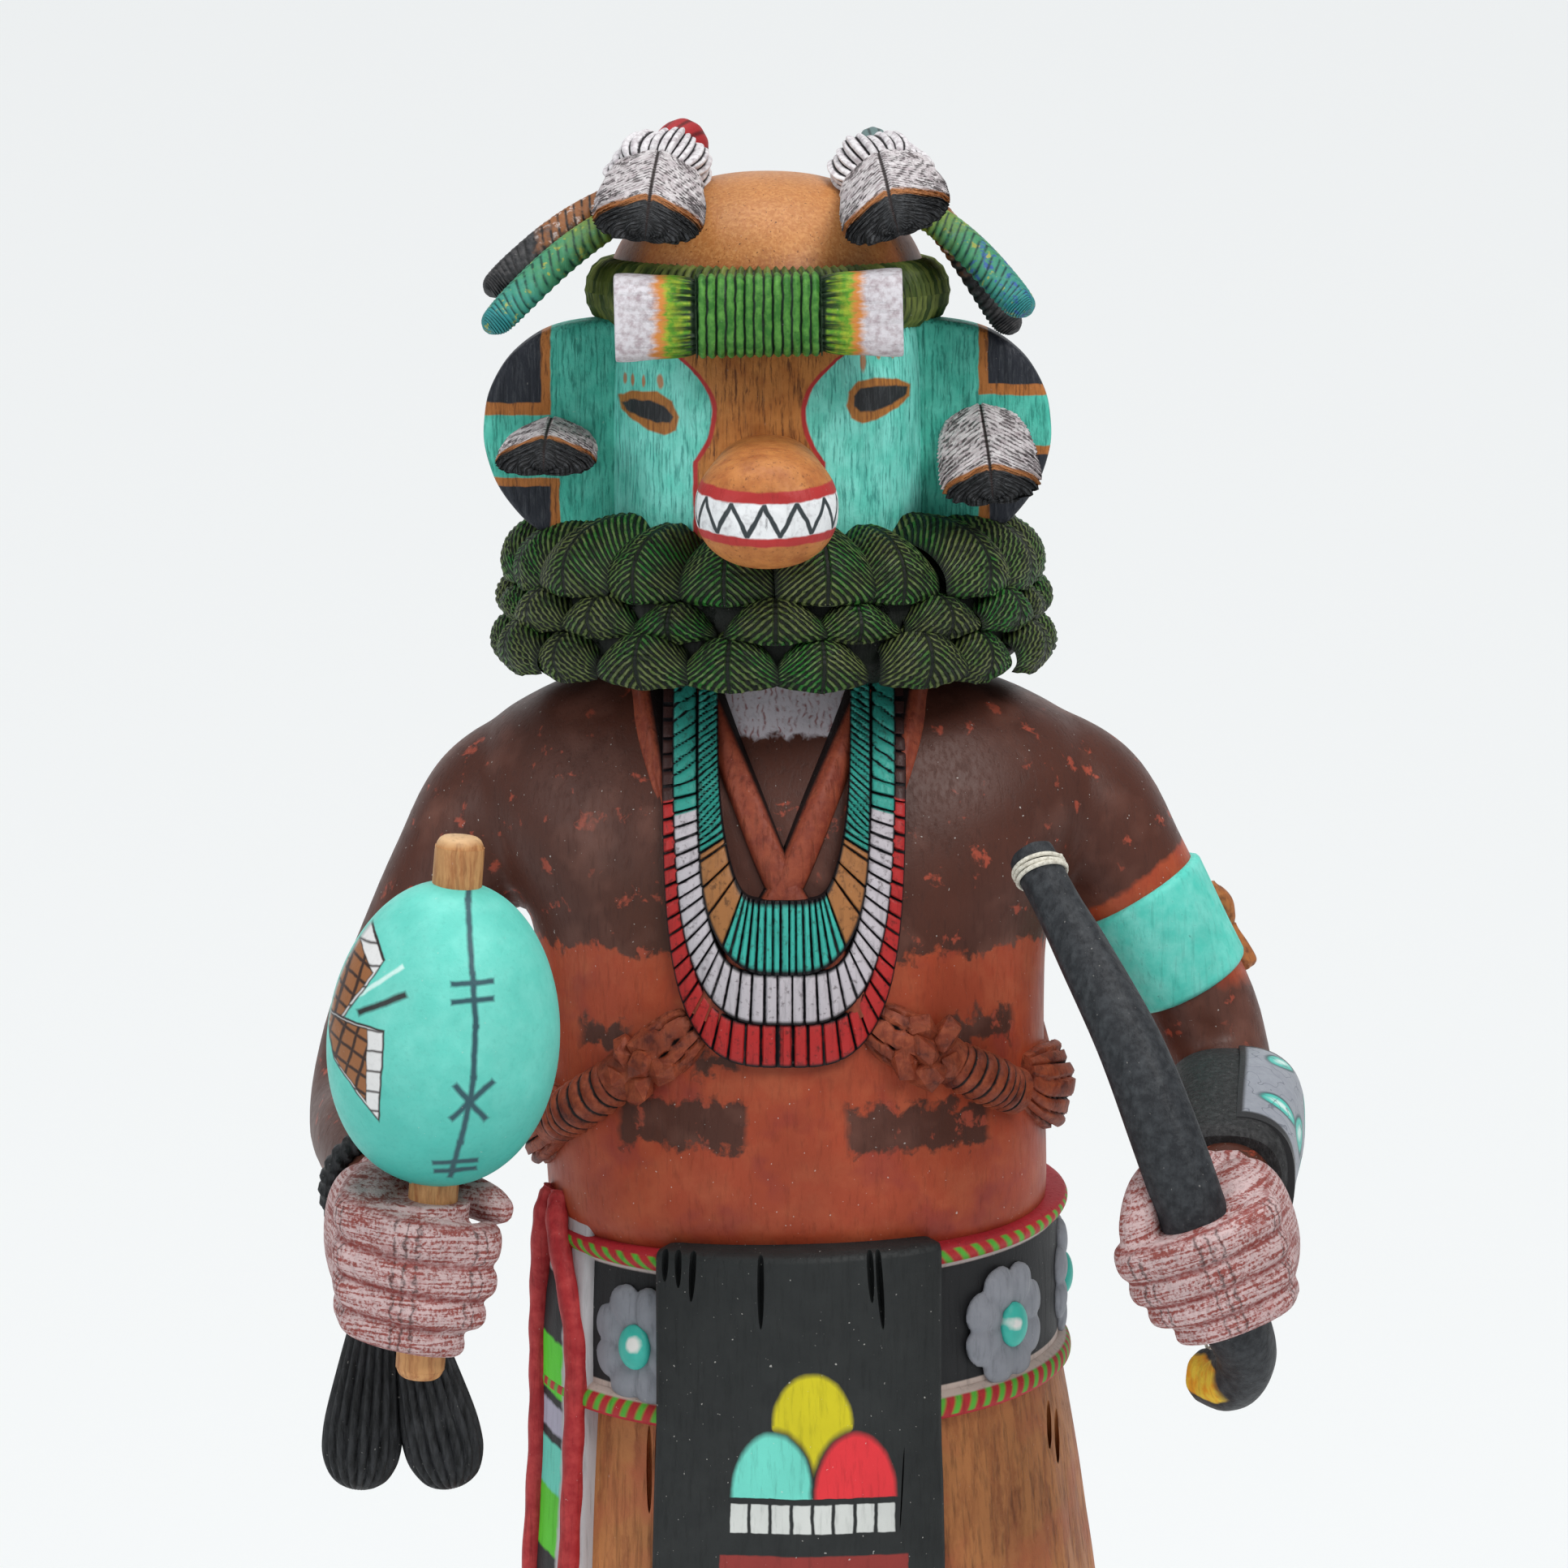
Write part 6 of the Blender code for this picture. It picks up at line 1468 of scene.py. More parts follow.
set_on_doll(muzzle, f.done(paint, 0.25, 0.45, 0.12, 0.35, (1, 1, 0.2), -0.05), "brown_paint", "muzzle")


# Forehead bundle. Husks laid across the brow and bound with thirteen turns of green cord: flat
# white-painted ends fade through orange to green, with dark creases at the cord.
BUNDLE_CENTRE = (-3.4, -32.6, 285.0)
# One half of the bundle, from its end to its middle: distance from the middle, half height and depth
HALF_BUNDLE = [(19.4, 5.5, 3.6), (19.2, 5.9, 4.2), (17.5, 5.95, 4.35), (14.5, 5.7, 4.3), (11.5, 5.5, 4.2),
               (9.4, 5.1, 4.1), (8.5, 4.8, 3.9), (8.1, 5.5, 4.7), (4, 5.55, 4.8)]
CORD_PITCH = 1.27

bundle_line = [(-along, high, deep) for along, high, deep in HALF_BUNDLE] + [(0, 5.55, 4.8)]
bundle_line += HALF_BUNDLE[::-1]
bundle_rows = [(BUNDLE_CENTRE[0] + along, BUNDLE_CENTRE[1], BUNDLE_CENTRE[2] + 0.02 * along, deep, high)
               for along, high, deep in bundle_line]


def bundle_relief(u, v):
    along = abs(read(bundle_rows, v)[0] - BUNDLE_CENTRE[0])
    if along < 8.3:
        return 0.5 * abs(math.cos(math.pi * along / CORD_PITCH)) - 0.35
    return 0.28 * math.cos(2 * math.pi * 26 * u + 3 * math.sin(9 * u)) * max(0.0, 1 - (along - 8.3) / 5)


bundle = limb("bundle_carving", 96, 300, bundle_rows, Z_AXIS, 3.2, relief=bundle_relief)
f = Finish("bundle_paint", 0.12)
turn, _ = f.round_and_along()
out = f.calc("ABSOLUTE", f.calc("SUBTRACT", f.x, BUNDLE_CENTRE[0]))
ragged = f.calc("MULTIPLY_ADD", f.streaked((0.35, 1, 1.4), 0.9, 3.0), 3.4, -1.7)
edge = f.calc("ADD", out, ragged)
white = f.mottled((0.66, 0.64, 0.68), (0.4, 0.33, 0.36), 0.42, 0.68, 1.0, 5.0)
paint = f.over(white, (0.6, 0.23, 0.05), f.ramp(edge, 14.6, 13.4))
green = f.mottled((0.1, 0.3, 0.02), (0.33, 0.42, 0.03), 0.4, 0.65, 0.9)
paint = f.over(paint, green, f.ramp(edge, 13.0, 12.2))
ray = f.ramp(f.wave(f.calc("MULTIPLY", turn, 26.0)), 0.3, 0.12)
ray = f.any_of(ray, f.stripes(f.calc("ADD", f.z, f.calc("MULTIPLY", out, 0.06)), 0.95, 0.45, 0.15))
near_cord = f.ramp(f.calc("MULTIPLY_ADD", ragged, 1.2, out), 12.2, 9.6)
paint = f.over(paint, (0.01, 0.03, 0.01), f.both(ray, near_cord))
cord = f.mottled((0.03, 0.15, 0.02), (0.1, 0.3, 0.05), 0.4, 0.66, 0.7, 4.0)
cord_gap = f.calc("PINGPONG", f.calc("DIVIDE", out, CORD_PITCH), 0.5)
cord = f.over(cord, (0.005, 0.016, 0.008), f.ramp(cord_gap, 0.32, 0.42))
paint = f.over(paint, cord, f.ramp(out, 8.45, 8.35))
paint = f.over(paint, (0.01, 0.03, 0.012), f.within(out, 8.3, 9.1, 0.15))
set_on_doll(bundle, f.done(paint, 0.3, 0.35, 0.12, 0.45, (0.15, 1, 1)), "green_paint", "forehead_bundle")


# Ear tabs. Two thick D-shaped boards with eased edges, pegged to the sides of the mask: turquoise
# with black corners outlined in brown.
TAB_OUTLINE = [(20.0, 251.5), (24.5, 251.7), (29.5, 252.6), (33.0, 254.5), (35.6, 257.2), (37.6, 260.2),
               (38.8, 263.4), (39.4, 266.4), (39.3, 269.4), (38.8, 272.4), (37.6, 275.2), (35.9, 277.7),
               (33.6, 279.8), (31.0, 281.4), (28.0, 282.4), (24.0, 283.0), (20.0, 283.2)]
TAB_MIDDLE_Y = -8.0
TAB_HALF = 0.00425 / UNIT
TAB_EASE = [(-1.0, 1.6), (-0.97, 0.9), (-0.9, 0.4), (-0.78, 0.08), (-0.4, 0.0), (0.4, 0.0),
            (0.78, 0.08), (0.9, 0.4), (0.97, 0.9), (1.0, 1.6)]


def ear_tab(side):
    middle = at(MASK[0] + side * 27, 0, 267)
    bottom, top = TAB_OUTLINE[0], TAB_OUTLINE[-1]

    def spot(u, v):
        depth, shrink = read(TAB_EASE, v)
        if u < 0.8:
            across, z = read(TAB_OUTLINE, u / 0.8)
        else:
            across, z = top[0], top[1] - (top[1] - bottom[1]) * (u - 0.8) / 0.2
        point = at(MASK[0] + side * across, TAB_MIDDLE_Y + TAB_HALF * depth, z)
        outward = Vector((point.x - middle.x, 0, point.z - middle.z)).normalized()
        return point - outward * shrink * UNIT
    return wrap(f"ear_tab_board_{side}", 120, 36, spot)


f = Finish("tab_paint", 0.14)
grain = f.streaked((1, 1, 0.1), 2.6, 5.0)
blue = f.mottled((0.06, 0.45, 0.35), (0.11, 0.56, 0.45), 0.4, 0.65, 0.25, 4.0)
blue = grained(blue, (0.015, 0.19, 0.15), 0.48, 0.64)
brown = grained((0.42, 0.15, 0.035), (0.1, 0.03, 0.01))
dark = f.over((0.016, 0.019, 0.028), (0.05, 0.055, 0.065), f.ramp(grain, 0.5, 0.7))
paint = blue
for trim, ink in (
    (f.both(f.ramp(f.x, -32.2, -32.4), f.ramp(f.z, 269.7, 269.9)),
     f.both(f.ramp(f.x, -33.5, -33.7), f.ramp(f.z, 271.4, 271.6))),
    (f.both(f.ramp(f.x, -31.0, -31.2), f.ramp(f.z, 261.2, 261.0)),
     f.both(f.ramp(f.x, -32.3, -32.5), f.ramp(f.z, 260.0, 259.8))),
    (f.both(f.ramp(f.x, 26.8, 27.0), f.ramp(f.z, 272.5, 272.7)),
     f.both(f.ramp(f.x, 28.1, 28.3), f.ramp(f.z, 274.0, 274.2))),
    (f.both(f.ramp(f.x, 27.0, 27.2), f.ramp(f.z, 265.7, 265.5)),
     f.both(f.ramp(f.x, 28.3, 28.5), f.ramp(f.z, 264.4, 264.2))),
):
    paint = f.over(paint, brown, trim)
    paint = f.over(paint, dark, ink)
TAB_FINISH = f.done(paint, 0.4, 0.5, 0.12, 0.6, (1, 1, 0.06))
set_on_doll(ear_tab(-1), TAB_FINISH, "turquoise_paint", "ear_tab_right")
set_on_doll(ear_tab(1), TAB_FINISH, "turquoise_paint", "ear_tab_left")


# Broad feathers. Two out of the ear tabs and two over the brow, each carved like a shallow roof
# with knife-cut barbs: white with fine dark hatching, a brown line and a black tip.
FEATHER_SHAPE = [(0.0, 0.62), (0.15, 0.78), (0.3, 0.9), (0.5, 0.97), (0.7, 1.0), (0.82, 0.99), (0.9, 0.92),
                 (0.95, 0.8), (0.98, 0.62), (0.996, 0.36), (1.0, 0.1)]
BROAD_FEATHERS = {
    # Start, direction, roll, length and width, then how far along the black tip starts
    "ear_feather_right": ((-32.0, -9.5, 267.2), (-0.03, -0.96, -0.13), 0, 0.0210, 0.0134, 0.48),
    "ear_feather_left": ((27.2, -9.5, 270.0), (0.06, -0.86, -0.45), -6, 0.0210, 0.0136, 0.57),
    "eagle_feather_right": ((-17.4, -5.5, 304.4), (-0.04, -0.95, -0.24), 6, 0.0310, 0.0148, 0.54),
    "eagle_feather_left": ((13.6, -5.5, 304.2), (0.06, -0.95, -0.21), -18, 0.0310, 0.0148, 0.52),
}
BARB_PITCH = 0.00095


def broad_feather(name, start, ahead, roll, length, width):
    ahead = Vector(ahead).normalized()
    across = ahead.cross(Z_AXIS).normalized()
    over = across.cross(ahead)
    turn = math.radians(roll)
    across, over = (across * math.cos(turn) + over * math.sin(turn),
                    over * math.cos(turn) - across * math.sin(turn))
    barbs = length / BARB_PITCH

    def spot(u, v):
        share, spread = read(FEATHER_SHAPE, v)
        a = 4 * u - 1 if u < 0.5 else 3 - 4 * u
        side = 1 if u < 0.5 else -1
        half = width / 2 * spread
        close = min(1.0, spread / 0.8)
        roof = 0.2 * width * (0.35 + 0.65 * spread) * (1 - abs(a) ** 1.15) * close
        thick = 0.06 * width * (1 - abs(a) ** 8) ** 0.5 * close ** 0.5
        droop = 0.2 * length * max(0.0, share - 0.5) ** 2
        barb = math.cos(2 * math.pi * (barbs * share - 2.2 * abs(a)))
        notch = 0.022 * width * barb * abs(a) ** 3
        rib = 0.03 * width * max(0.0, 1 - abs(a) / 0.07) if u < 0.5 else 0.0
        lift = roof + side * thick - rib + 0.012 * width * barb * min(1, 4 * abs(a)) * (u < 0.5)
        return at(*start) + ahead * (length * share + 0.03 * width * barb * a * a * (share > 0.6)) \
            + across * a * (half + notch) + over * lift - Z_AXIS * droop
    return wrap(f"{name}_carving", 52, 132, spot)


def feather_finish(name, length, tip):
    """White barbs with dark hatching, then a brown line and a black tip."""
    f = Finish(name, 0.1)
    round_it, along = f.round_and_along()
    turned = f.calc("ABSOLUTE", f.calc("SUBTRACT", round_it, 0.5))
    across = f.calc("ABSOLUTE", f.calc("MULTIPLY_ADD", turned, -4.0, 1.0))
    run = f.calc("MULTIPLY", along, length / UNIT)
    spot = f.step("CombineXYZ", run, f.calc("MULTIPLY", across, 0.5)).outputs[0]
    barb_run = f.calc("MULTIPLY_ADD", across, -2.2 * BARB_PITCH / UNIT, run)
    grey = f.mottled((0.66, 0.63, 0.64), (0.42, 0.36, 0.38), 0.4, 0.7, 0.8, 4.0)
    broken_spot = f.step("CombineXYZ", f.calc("MULTIPLY", barb_run, 2.0), across, f.x).outputs[0]
    broken = f.ramp(f.noise(broken_spot, 1.2, 2.0), 0.4, 0.52)
    wavy_run = f.calc("MULTIPLY_ADD", f.noise(f.units, 0.5, 2.0), 0.5, barb_run)
    hatch = f.both(f.stripes(wavy_run, 0.62, 0.34, 0.12), broken)
    paint = f.over(grey, (0.04, 0.028, 0.03), f.both(hatch, 0.85))
    rubbed_across = f.calc("MULTIPLY", across, 2.0)
    rubbed_spot = f.step("CombineXYZ", f.calc("MULTIPLY", barb_run, 3.0), rubbed_across).outputs[0]
    rubbed = f.ramp(f.noise(rubbed_spot, 1.0, 4.0), 0.56, 0.68)
    paint = f.over(paint, (0.16, 0.11, 0.12), f.both(rubbed, 0.6))
    edge = f.calc("MULTIPLY_ADD", f.noise(spot, 1.2, 2.0), 0.03, along)
    paint = f.over(paint, (0.36, 0.14, 0.045), f.ramp(edge, tip - 0.045, tip - 0.025))
    groove = f.ramp(f.calc("PINGPONG", f.calc("DIVIDE", barb_run, BARB_PITCH / UNIT), 0.5), 0.22, 0.05)
    black = f.mottled((0.016, 0.017, 0.019), (0.045, 0.048, 0.053), 0.42, 0.62, 1.4, 4.0)
    cut_tip = f.both(groove, f.ramp(across, 0.1, 0.4))
    black = f.over(black, (0.004, 0.004, 0.005), cut_tip)
    cuts = f.any_of(f.both(hatch, 0.5), f.both(cut_tip, f.ramp(edge, tip, tip + 0.03)))
    paint = f.over(paint, black, f.ramp(edge, tip + 0.02, tip + 0.035))
    rib = f.both(f.ramp(across, 0.045, 0.02), f.ramp(round_it, 0.5, 0.49))
    paint = f.over(paint, (0.03, 0.02, 0.02), rib)
    return f.done(paint, 0.25, 0.3, 0.12, 0.5, (1, 1, 1), cuts=cuts)


for node, (start, ahead, roll, length, width, tip) in BROAD_FEATHERS.items():
    feather = broad_feather(node, start, ahead, roll, length, width)
    set_on_doll(feather, feather_finish(f"{node}_paint", length, tip), "white_paint", node)


# Narrow feathers. On each side a dark barred one and a green-to-blue one under it, round-backed
# sticks with knife-cut barbs along both edges.
NARROW_FEATHERS = {
    "barred_feather_right": ((-20.5, -5.5, 300.6), (-40.4, -18.5, 287.0)),
    "barred_feather_left": ((17.0, -5.0, 301.2), (31.6, -14.5, 281.4)),
    "parrot_feather_right": ((-20.4, -11.6, 298.4), (-40.2, -25.8, 282.4)),
    "parrot_feather_left": ((17.4, -11.6, 298.8), (33.0, -24.6, 284.6)),
}
NARROW_SHAPE = [(0, 0.8), (0.2, 0.93), (0.4, 1.0), (0.6, 1.02), (0.8, 1.0), (0.92, 0.93), (0.97, 0.75),
                (1, 0.35)]
NARROW_HALF = 0.0025 / UNIT
NARROW_BARBS = 27
NARROW_SLANT = 1.7


def narrow_feather(name, start, end):
    rows = []
    for share, size in NARROW_SHAPE:
        x, y, z = (a + (b - a) * share for a, b in zip(start, end))
        half = NARROW_HALF * size
        rows.append((x, y, z + 1.6 * math.sin(math.pi * share), half * 1.22, half * 0.78))

    def barbs(u, v):
        edge = abs(math.cos(2 * math.pi * u))
        wave = math.cos(2 * math.pi * (NARROW_BARBS * v - NARROW_SLANT * edge))
        ridge = 0.35 * max(0.0, 1 - edge / 0.6) * (0 < u < 0.5)
        return 0.16 * wave * (0.3 + 0.7 * edge) + ridge
    return limb(f"{name}_carving", 32, 190, rows, Z_AXIS, 2.1, relief=barbs)


def narrow_groove(f):
    """The grooves between the barbs, as they are cut."""
    turn, along = f.round_and_along()
    edge = f.calc("ABSOLUTE", f.calc("COSINE", f.calc("MULTIPLY", turn, 2 * math.pi)))
    run = f.calc("MULTIPLY_ADD", edge, -NARROW_SLANT, f.calc("MULTIPLY", along, float(NARROW_BARBS)))
    lap = f.calc("MULTIPLY_ADD", f.noise(f.units, 1.0, 2.0), 0.2, f.wave(run))
    return along, f.both(f.ramp(lap, 0.34, 0.14), f.ramp(f.noise(f.units, 0.45, 2.0), 0.34, 0.5))


f = Finish("barred_paint", 0.15)
along, groove = narrow_groove(f)
paint = f.mottled((0.02, 0.021, 0.024), (0.06, 0.058, 0.06), 0.42, 0.62, 1.0, 4.0)
rust = f.mottled((0.26, 0.1, 0.035), (0.6, 0.5, 0.46), 0.56, 0.66, 0.8)
patch = f.calc("MULTIPLY_ADD", f.noise(f.units, 0.35, 3.0), 0.5, along)
paint = f.over(paint, rust, f.ramp(patch, 0.72, 0.6))
paint = f.over(paint, (0.008, 0.008, 0.009), groove)
BARRED_FINISH = f.done(paint, 0.2, 0.4, 0.12, 0.5)
f = Finish("parrot_paint", 0.15)
along, groove = narrow_groove(f)
streak = f.noise(f.units, 0.55, 4.0)
shift = f.calc("MULTIPLY_ADD", streak, 0.35, along)
paint = f.over((0.2, 0.28, 0.03), (0.06, 0.27, 0.13), f.ramp(shift, 0.32, 0.55))
paint = f.over(paint, (0.03, 0.25, 0.26), f.ramp(shift, 0.6, 0.95))
blue_specks = f.ramp(f.noise(f.units, 0.8), 0.55, 0.62)
blue_part = f.both(blue_specks, f.ramp(along, 0.25, 0.5), f.ramp(f.x, 0, 1))
paint = f.over(paint, (0.04, 0.11, 0.34), blue_part)
paint = f.over(paint, (0.4, 0.4, 0.06), f.both(f.ramp(f.noise(f.units, 0.75, 2.0), 0.6, 0.68), 0.8))
paint = f.over(paint, (0.006, 0.035, 0.03), f.both(groove, 0.9))
PARROT_FINISH = f.done(paint, 0.2, 0.4, 0.12, 0.5)
for node, (start, end) in NARROW_FEATHERS.items():
    finish, slot = BARRED_FINISH, "black_paint"
    if node.startswith("parrot"):
        finish, slot = PARROT_FINISH, "parrot_paint"
    set_on_doll(narrow_feather(node, start, end), finish, slot, node)


# Down and crest. A ruffle of white down round the root of the feathers on each side of the dome,
# grooved all round, with the tip of a short red or blue-grey feather behind it.
DOWN = {
    "down_right": ((-15.9, -0.5, 305.2), (-18.0, -9.0, 302.2)),
    "down_left": ((12.0, -0.5, 304.6), (14.4, -9.0, 301.8)),
}
CREST = {
    "crest_feather_right": ((-16.4, -4.0, 305.6), (-12.6, 3.0, 306.4), 1.75, (0.36, 0.02, 0.025)),
    "crest_feather_left": ((13.0, -3.0, 305.0), (12.2, 5.0, 307.2), 1.1, (0.13, 0.2, 0.2)),
}
CREST_SHAPE = [(0, 1.7, 1.5), (0.3, 2.2, 1.9), (0.6, 2.4, 2.1), (0.82, 2.0, 1.8), (0.95, 1.1, 1.0),
               (1, 0.4, 0.4)]
DOWN_SHAPE = [(-0.16, 0.4, 0.0), (-0.1, 0.52, 0.3), (0.05, 0.74, 0.8), (0.2, 0.88, 1.0),
              (0.45, 0.97, 1.0), (0.7, 1.0, 1.0), (0.9, 0.95, 1.0), (1.03, 0.82, 0.7), (1.06, 0.66, 0.3)]
DOWN_RADIUS = 0.0071
DOWN_LOBES = 30


def down_ruffle(name, start, end):
    start, end = at(*start), at(*end)
    ahead = (end - start).normalized()
    across = ahead.cross(Z_AXIS).normalized()
    over = across.cross(ahead)
    span = (end - start).length

    def spot(u, v):
        share, spread, depth = read(DOWN_SHAPE, v)
        turn = 2 * math.pi * u
        lobe = abs(math.sin(DOWN_LOBES * turn / 2 + 0.6 * math.sin(3 * turn)))
        ragged = 0.05 * math.sin(7 * turn + 1) + 0.03 * math.sin(17 * turn)
        radius = DOWN_RADIUS * spread * (0.92 + 0.1 * depth * lobe + ragged * depth)
        waves = 0.5 * UNIT * math.sin(5 * turn + 2 * v)
        return start + ahead * (span * share + waves) + across * radius * math.cos(turn) \
            + over * radius * 0.76 * math.sin(turn)
    return wrap(f"{name}_carving", DOWN_LOBES * 8, 28, spot)


f = Finish("down_paint", 0.1)
turn, _ = f.round_and_along()
angle = f.calc("MULTIPLY", turn, 2 * math.pi)
sway = f.calc("SINE", f.calc("MULTIPLY", angle, 3.0))
phase = f.calc("MULTIPLY_ADD", sway, 0.6, f.calc("MULTIPLY", angle, DOWN_LOBES / 2))
lobe = f.calc("ABSOLUTE", f.calc("SINE", phase))
paint = f.mottled((0.72, 0.7, 0.72), (0.42, 0.37, 0.4), 0.45, 0.68, 1.0, 4.0)
ragged_lobe = f.calc("MULTIPLY_ADD", f.noise(f.units, 1.1), 0.5, lobe)
paint = f.over(paint, (0.018, 0.015, 0.018), f.ramp(ragged_lobe, 0.74, 0.5))
DOWN_FINISH = f.done(paint, 0.3, 0.3, 0.1, 0.5)
for node, (start, end) in DOWN.items():
    set_on_doll(down_ruffle(node, start, end), DOWN_FINISH, "white_paint", node)
for node, (start, end, girth, colour) in CREST.items():
    rows = []
    for share, wide, high in CREST_SHAPE:
        rows.append((*(a + (b - a) * share for a, b in zip(start, end)), wide * girth, high * girth))
    crest = limb(f"{node}_carving", 60, 40, rows, X_AXIS,
                 relief=lambda u, v: 0.05 * math.cos(20 * math.pi * u))
    f = Finish(f"{node}_paint", 0.15)
    turn, _ = f.round_and_along()
    ink = tuple(0.35 * part for part in colour)
    paint = f.over(colour, ink, f.ramp(f.wave(f.calc("MULTIPLY", turn, 10.0)), 0.2, 0.05))
    slot = "red_paint" if "right" in node else "grey_paint"
    set_on_doll(crest, f.done(paint, 0.2, 0.5, 0.1, 0.4), slot, node)


# Rattle. An egg-shaped gourd head on a stick that runs right through it into the right fist, the
# gourd painted turquoise with a star, double bars and two brown patches; the stick is bare.
GOURD_LOW = (-46.9, -61.6, 171.6)
GOURD_LENGTH = 0.0410
GOURD_WIDTH = 0.0308
GOURD_DEPTH = 0.0290
HANDLE_RADIUS = 3.3
HANDLE_STUB = 0.0060
GOURD_LINE = [(-41.4, 212.2), (-41.4, 210.7), (-40.6, 202), (-40.1, 195.3), (-40.5, 188.5),
              (-41.0, 185), (-42.4, 179.5), (-44.0, 174.2)]
# Painted bars in black and the star's two strokes: start, end and width
GOURD_STROKES = [
    ((-43.4, 200.7), (-37.8, 200.9), 0.7), ((-43.4, 198.5), (-37.8, 198.7), 0.7),
    ((-46.2, 176.4), (-40.2, 176.6), 0.7), ((-46.0, 175.1), (-40.4, 175.3), 0.7),
    ((-42.9, 187.7), (-38.9, 182.5), 0.8), ((-37.9, 187.9), (-43.6, 182.8), 0.8),
]
GOURD_PATCHES = [
    # The outline of the white border and of the brown part inside it, both clockwise
    ([(-55.2, 209.0), (-52.4, 203.2), (-57.9, 195.4), (-60.8, 193.4), (-60.5, 201.0)],
     [(-57.0, 207.2), (-53.9, 201.6), (-58.1, 195.6), (-60.9, 193.9), (-61.0, 201.0)]),
    ([(-60.6, 195.6), (-52.3, 194.4), (-53.2, 182.6), (-59.0, 189.6)],
     [(-60.5, 195.3), (-54.5, 194.4), (-54.7, 184.9), (-59.1, 190.0)]),
]


def gourd_spot(u, v):
    across = HANDLE_LEAN.cross(Y_AXIS).normalized()
    over = across.cross(HANDLE_LEAN)
    angle = math.pi * v
    share = max(math.sin(angle) ** 0.92 * (1 + 0.05 * math.cos(angle)), 0.2)
    a, b = rounded(u)
    return at(*GOURD_LOW) + HANDLE_LEAN * GOURD_LENGTH * (0.5 - 0.5 * math.cos(angle)) \
        + across * a * GOURD_WIDTH / 2 * share + over * b * GOURD_DEPTH / 2 * share


gourd = wrap("gourd", 96, 60, gourd_spot)
f = Finish("gourd_paint", 0.1)
skin = f.mottled((0.13, 0.6, 0.51), (0.17, 0.65, 0.56), 0.4, 0.65, 0.3, 5.0)
low_down = f.calc("MULTIPLY_ADD", f.noise(f.units, 0.2, 4.0), 8.0, f.z)
skin = f.over(skin, (0.05, 0.42, 0.36), f.ramp(low_down, 196, 178))
front = f.ramp(f.y, -64, -66)
ink = (0.03, 0.09, 0.11)


def brush(below, colour, start, end, width):
    """A stroke on the gourd's front."""
    return f.over(below, colour, f.both(f.stroke(f.x, f.z, start, end, width), front))


def fill(below, colour, corners, centre, growth=1.0):
    """A painted patch on the gourd's front, its clockwise corners moved off the centre by the growth."""
    grown = [tuple(m + (c - m) * growth for c, m in zip(corner, centre)) for corner in corners]
    return f.over(below, colour, f.both(f.area(f.x, f.z, grown[::-1], 0.1), front))


paint = skin
for (x0, z0), (x1, z1) in zip(GOURD_LINE, GOURD_LINE[1:]):
    paint = brush(paint, ink, (x0, z0 + 0.2), (x1, z1 - 0.2), 0.75)
for start, end, width in GOURD_STROKES:
    paint = brush(paint, ink, start, end, width)
paint = brush(paint, (0.025, 0.03, 0.03), (-55.8, 196.4), (-49.1, 199.4), 0.85)
paint = brush(paint, (0.6, 0.85, 0.8), (-55.7, 198.6), (-49.6, 202.9), 0.5)
for border, inside in GOURD_PATCHES:
    centre = [sum(corner[i] for corner in border) / len(border) for i in (0, 1)]
    paint = fill(paint, (0.03, 0.02, 0.02), border, centre, 1.07)
    squares = f.over((0.74, 0.74, 0.74), (0.025, 0.015, 0.015), f.stripes(f.z, 2.7, 0.1, 0.05))
    paint = fill(paint, squares, border, centre)
    lattice = f.any_of(f.stripes(f.calc("MULTIPLY_ADD", f.x, 0.5, f.z), 2.4, 0.2, 0.05),
                       f.stripes(f.calc("MULTIPLY_ADD", f.z, -0.3, f.x), 1.9, 0.22, 0.05))
    brown = f.over((0.3, 0.12, 0.045), (0.04, 0.02, 0.015), lattice)
    brown = f.over((0.03, 0.02, 0.015), brown, f.area(f.x, f.z, inside[::-1], 0.1))
    paint = fill(paint, brown, inside, centre, 1.05)
set_on_doll(gourd, f.done(paint, 0.12, 0.35, 0.25, 0.3, (1, 1, 1), -0.1), "turquoise_paint", "rattle_gourd")

low_end = in_units(at(*HANDLE_LOW) - HANDLE_LEAN * HANDLE_STUB)
high_end = in_units(at(*GOURD_LOW) + HANDLE_LEAN * (GOURD_LENGTH + HANDLE_STUB))
stick = []
for share, size in ((0, 0.7), (0.006, 0.86), (0.02, 0.97), (0.05, 1), (0.35, 1.0), (0.65, 1.0), (0.95, 1),
                    (0.98, 0.97), (0.994, 0.86), (1, 0.7)):
    stick.append((*low_end.lerp(high_end, share), HANDLE_RADIUS * size, HANDLE_RADIUS * size))
handle = limb("handle", 48, 90, stick, X_AXIS)
f = Finish("bare_stick", 0.2)
grain = f.streaked((1, 1, 0.08), 1.1, 5.0)
wood = f.over((0.58, 0.3, 0.12), (0.36, 0.14, 0.05), f.ramp(grain, 0.42, 0.66))
wood = f.over(wood, (0.7, 0.45, 0.24), f.ramp(f.z, 217.2, 218.2))
set_on_doll(handle, f.done(wood, 0.5, 0.4, 0.1, 0.3), "bare_wood", "rattle_handle")


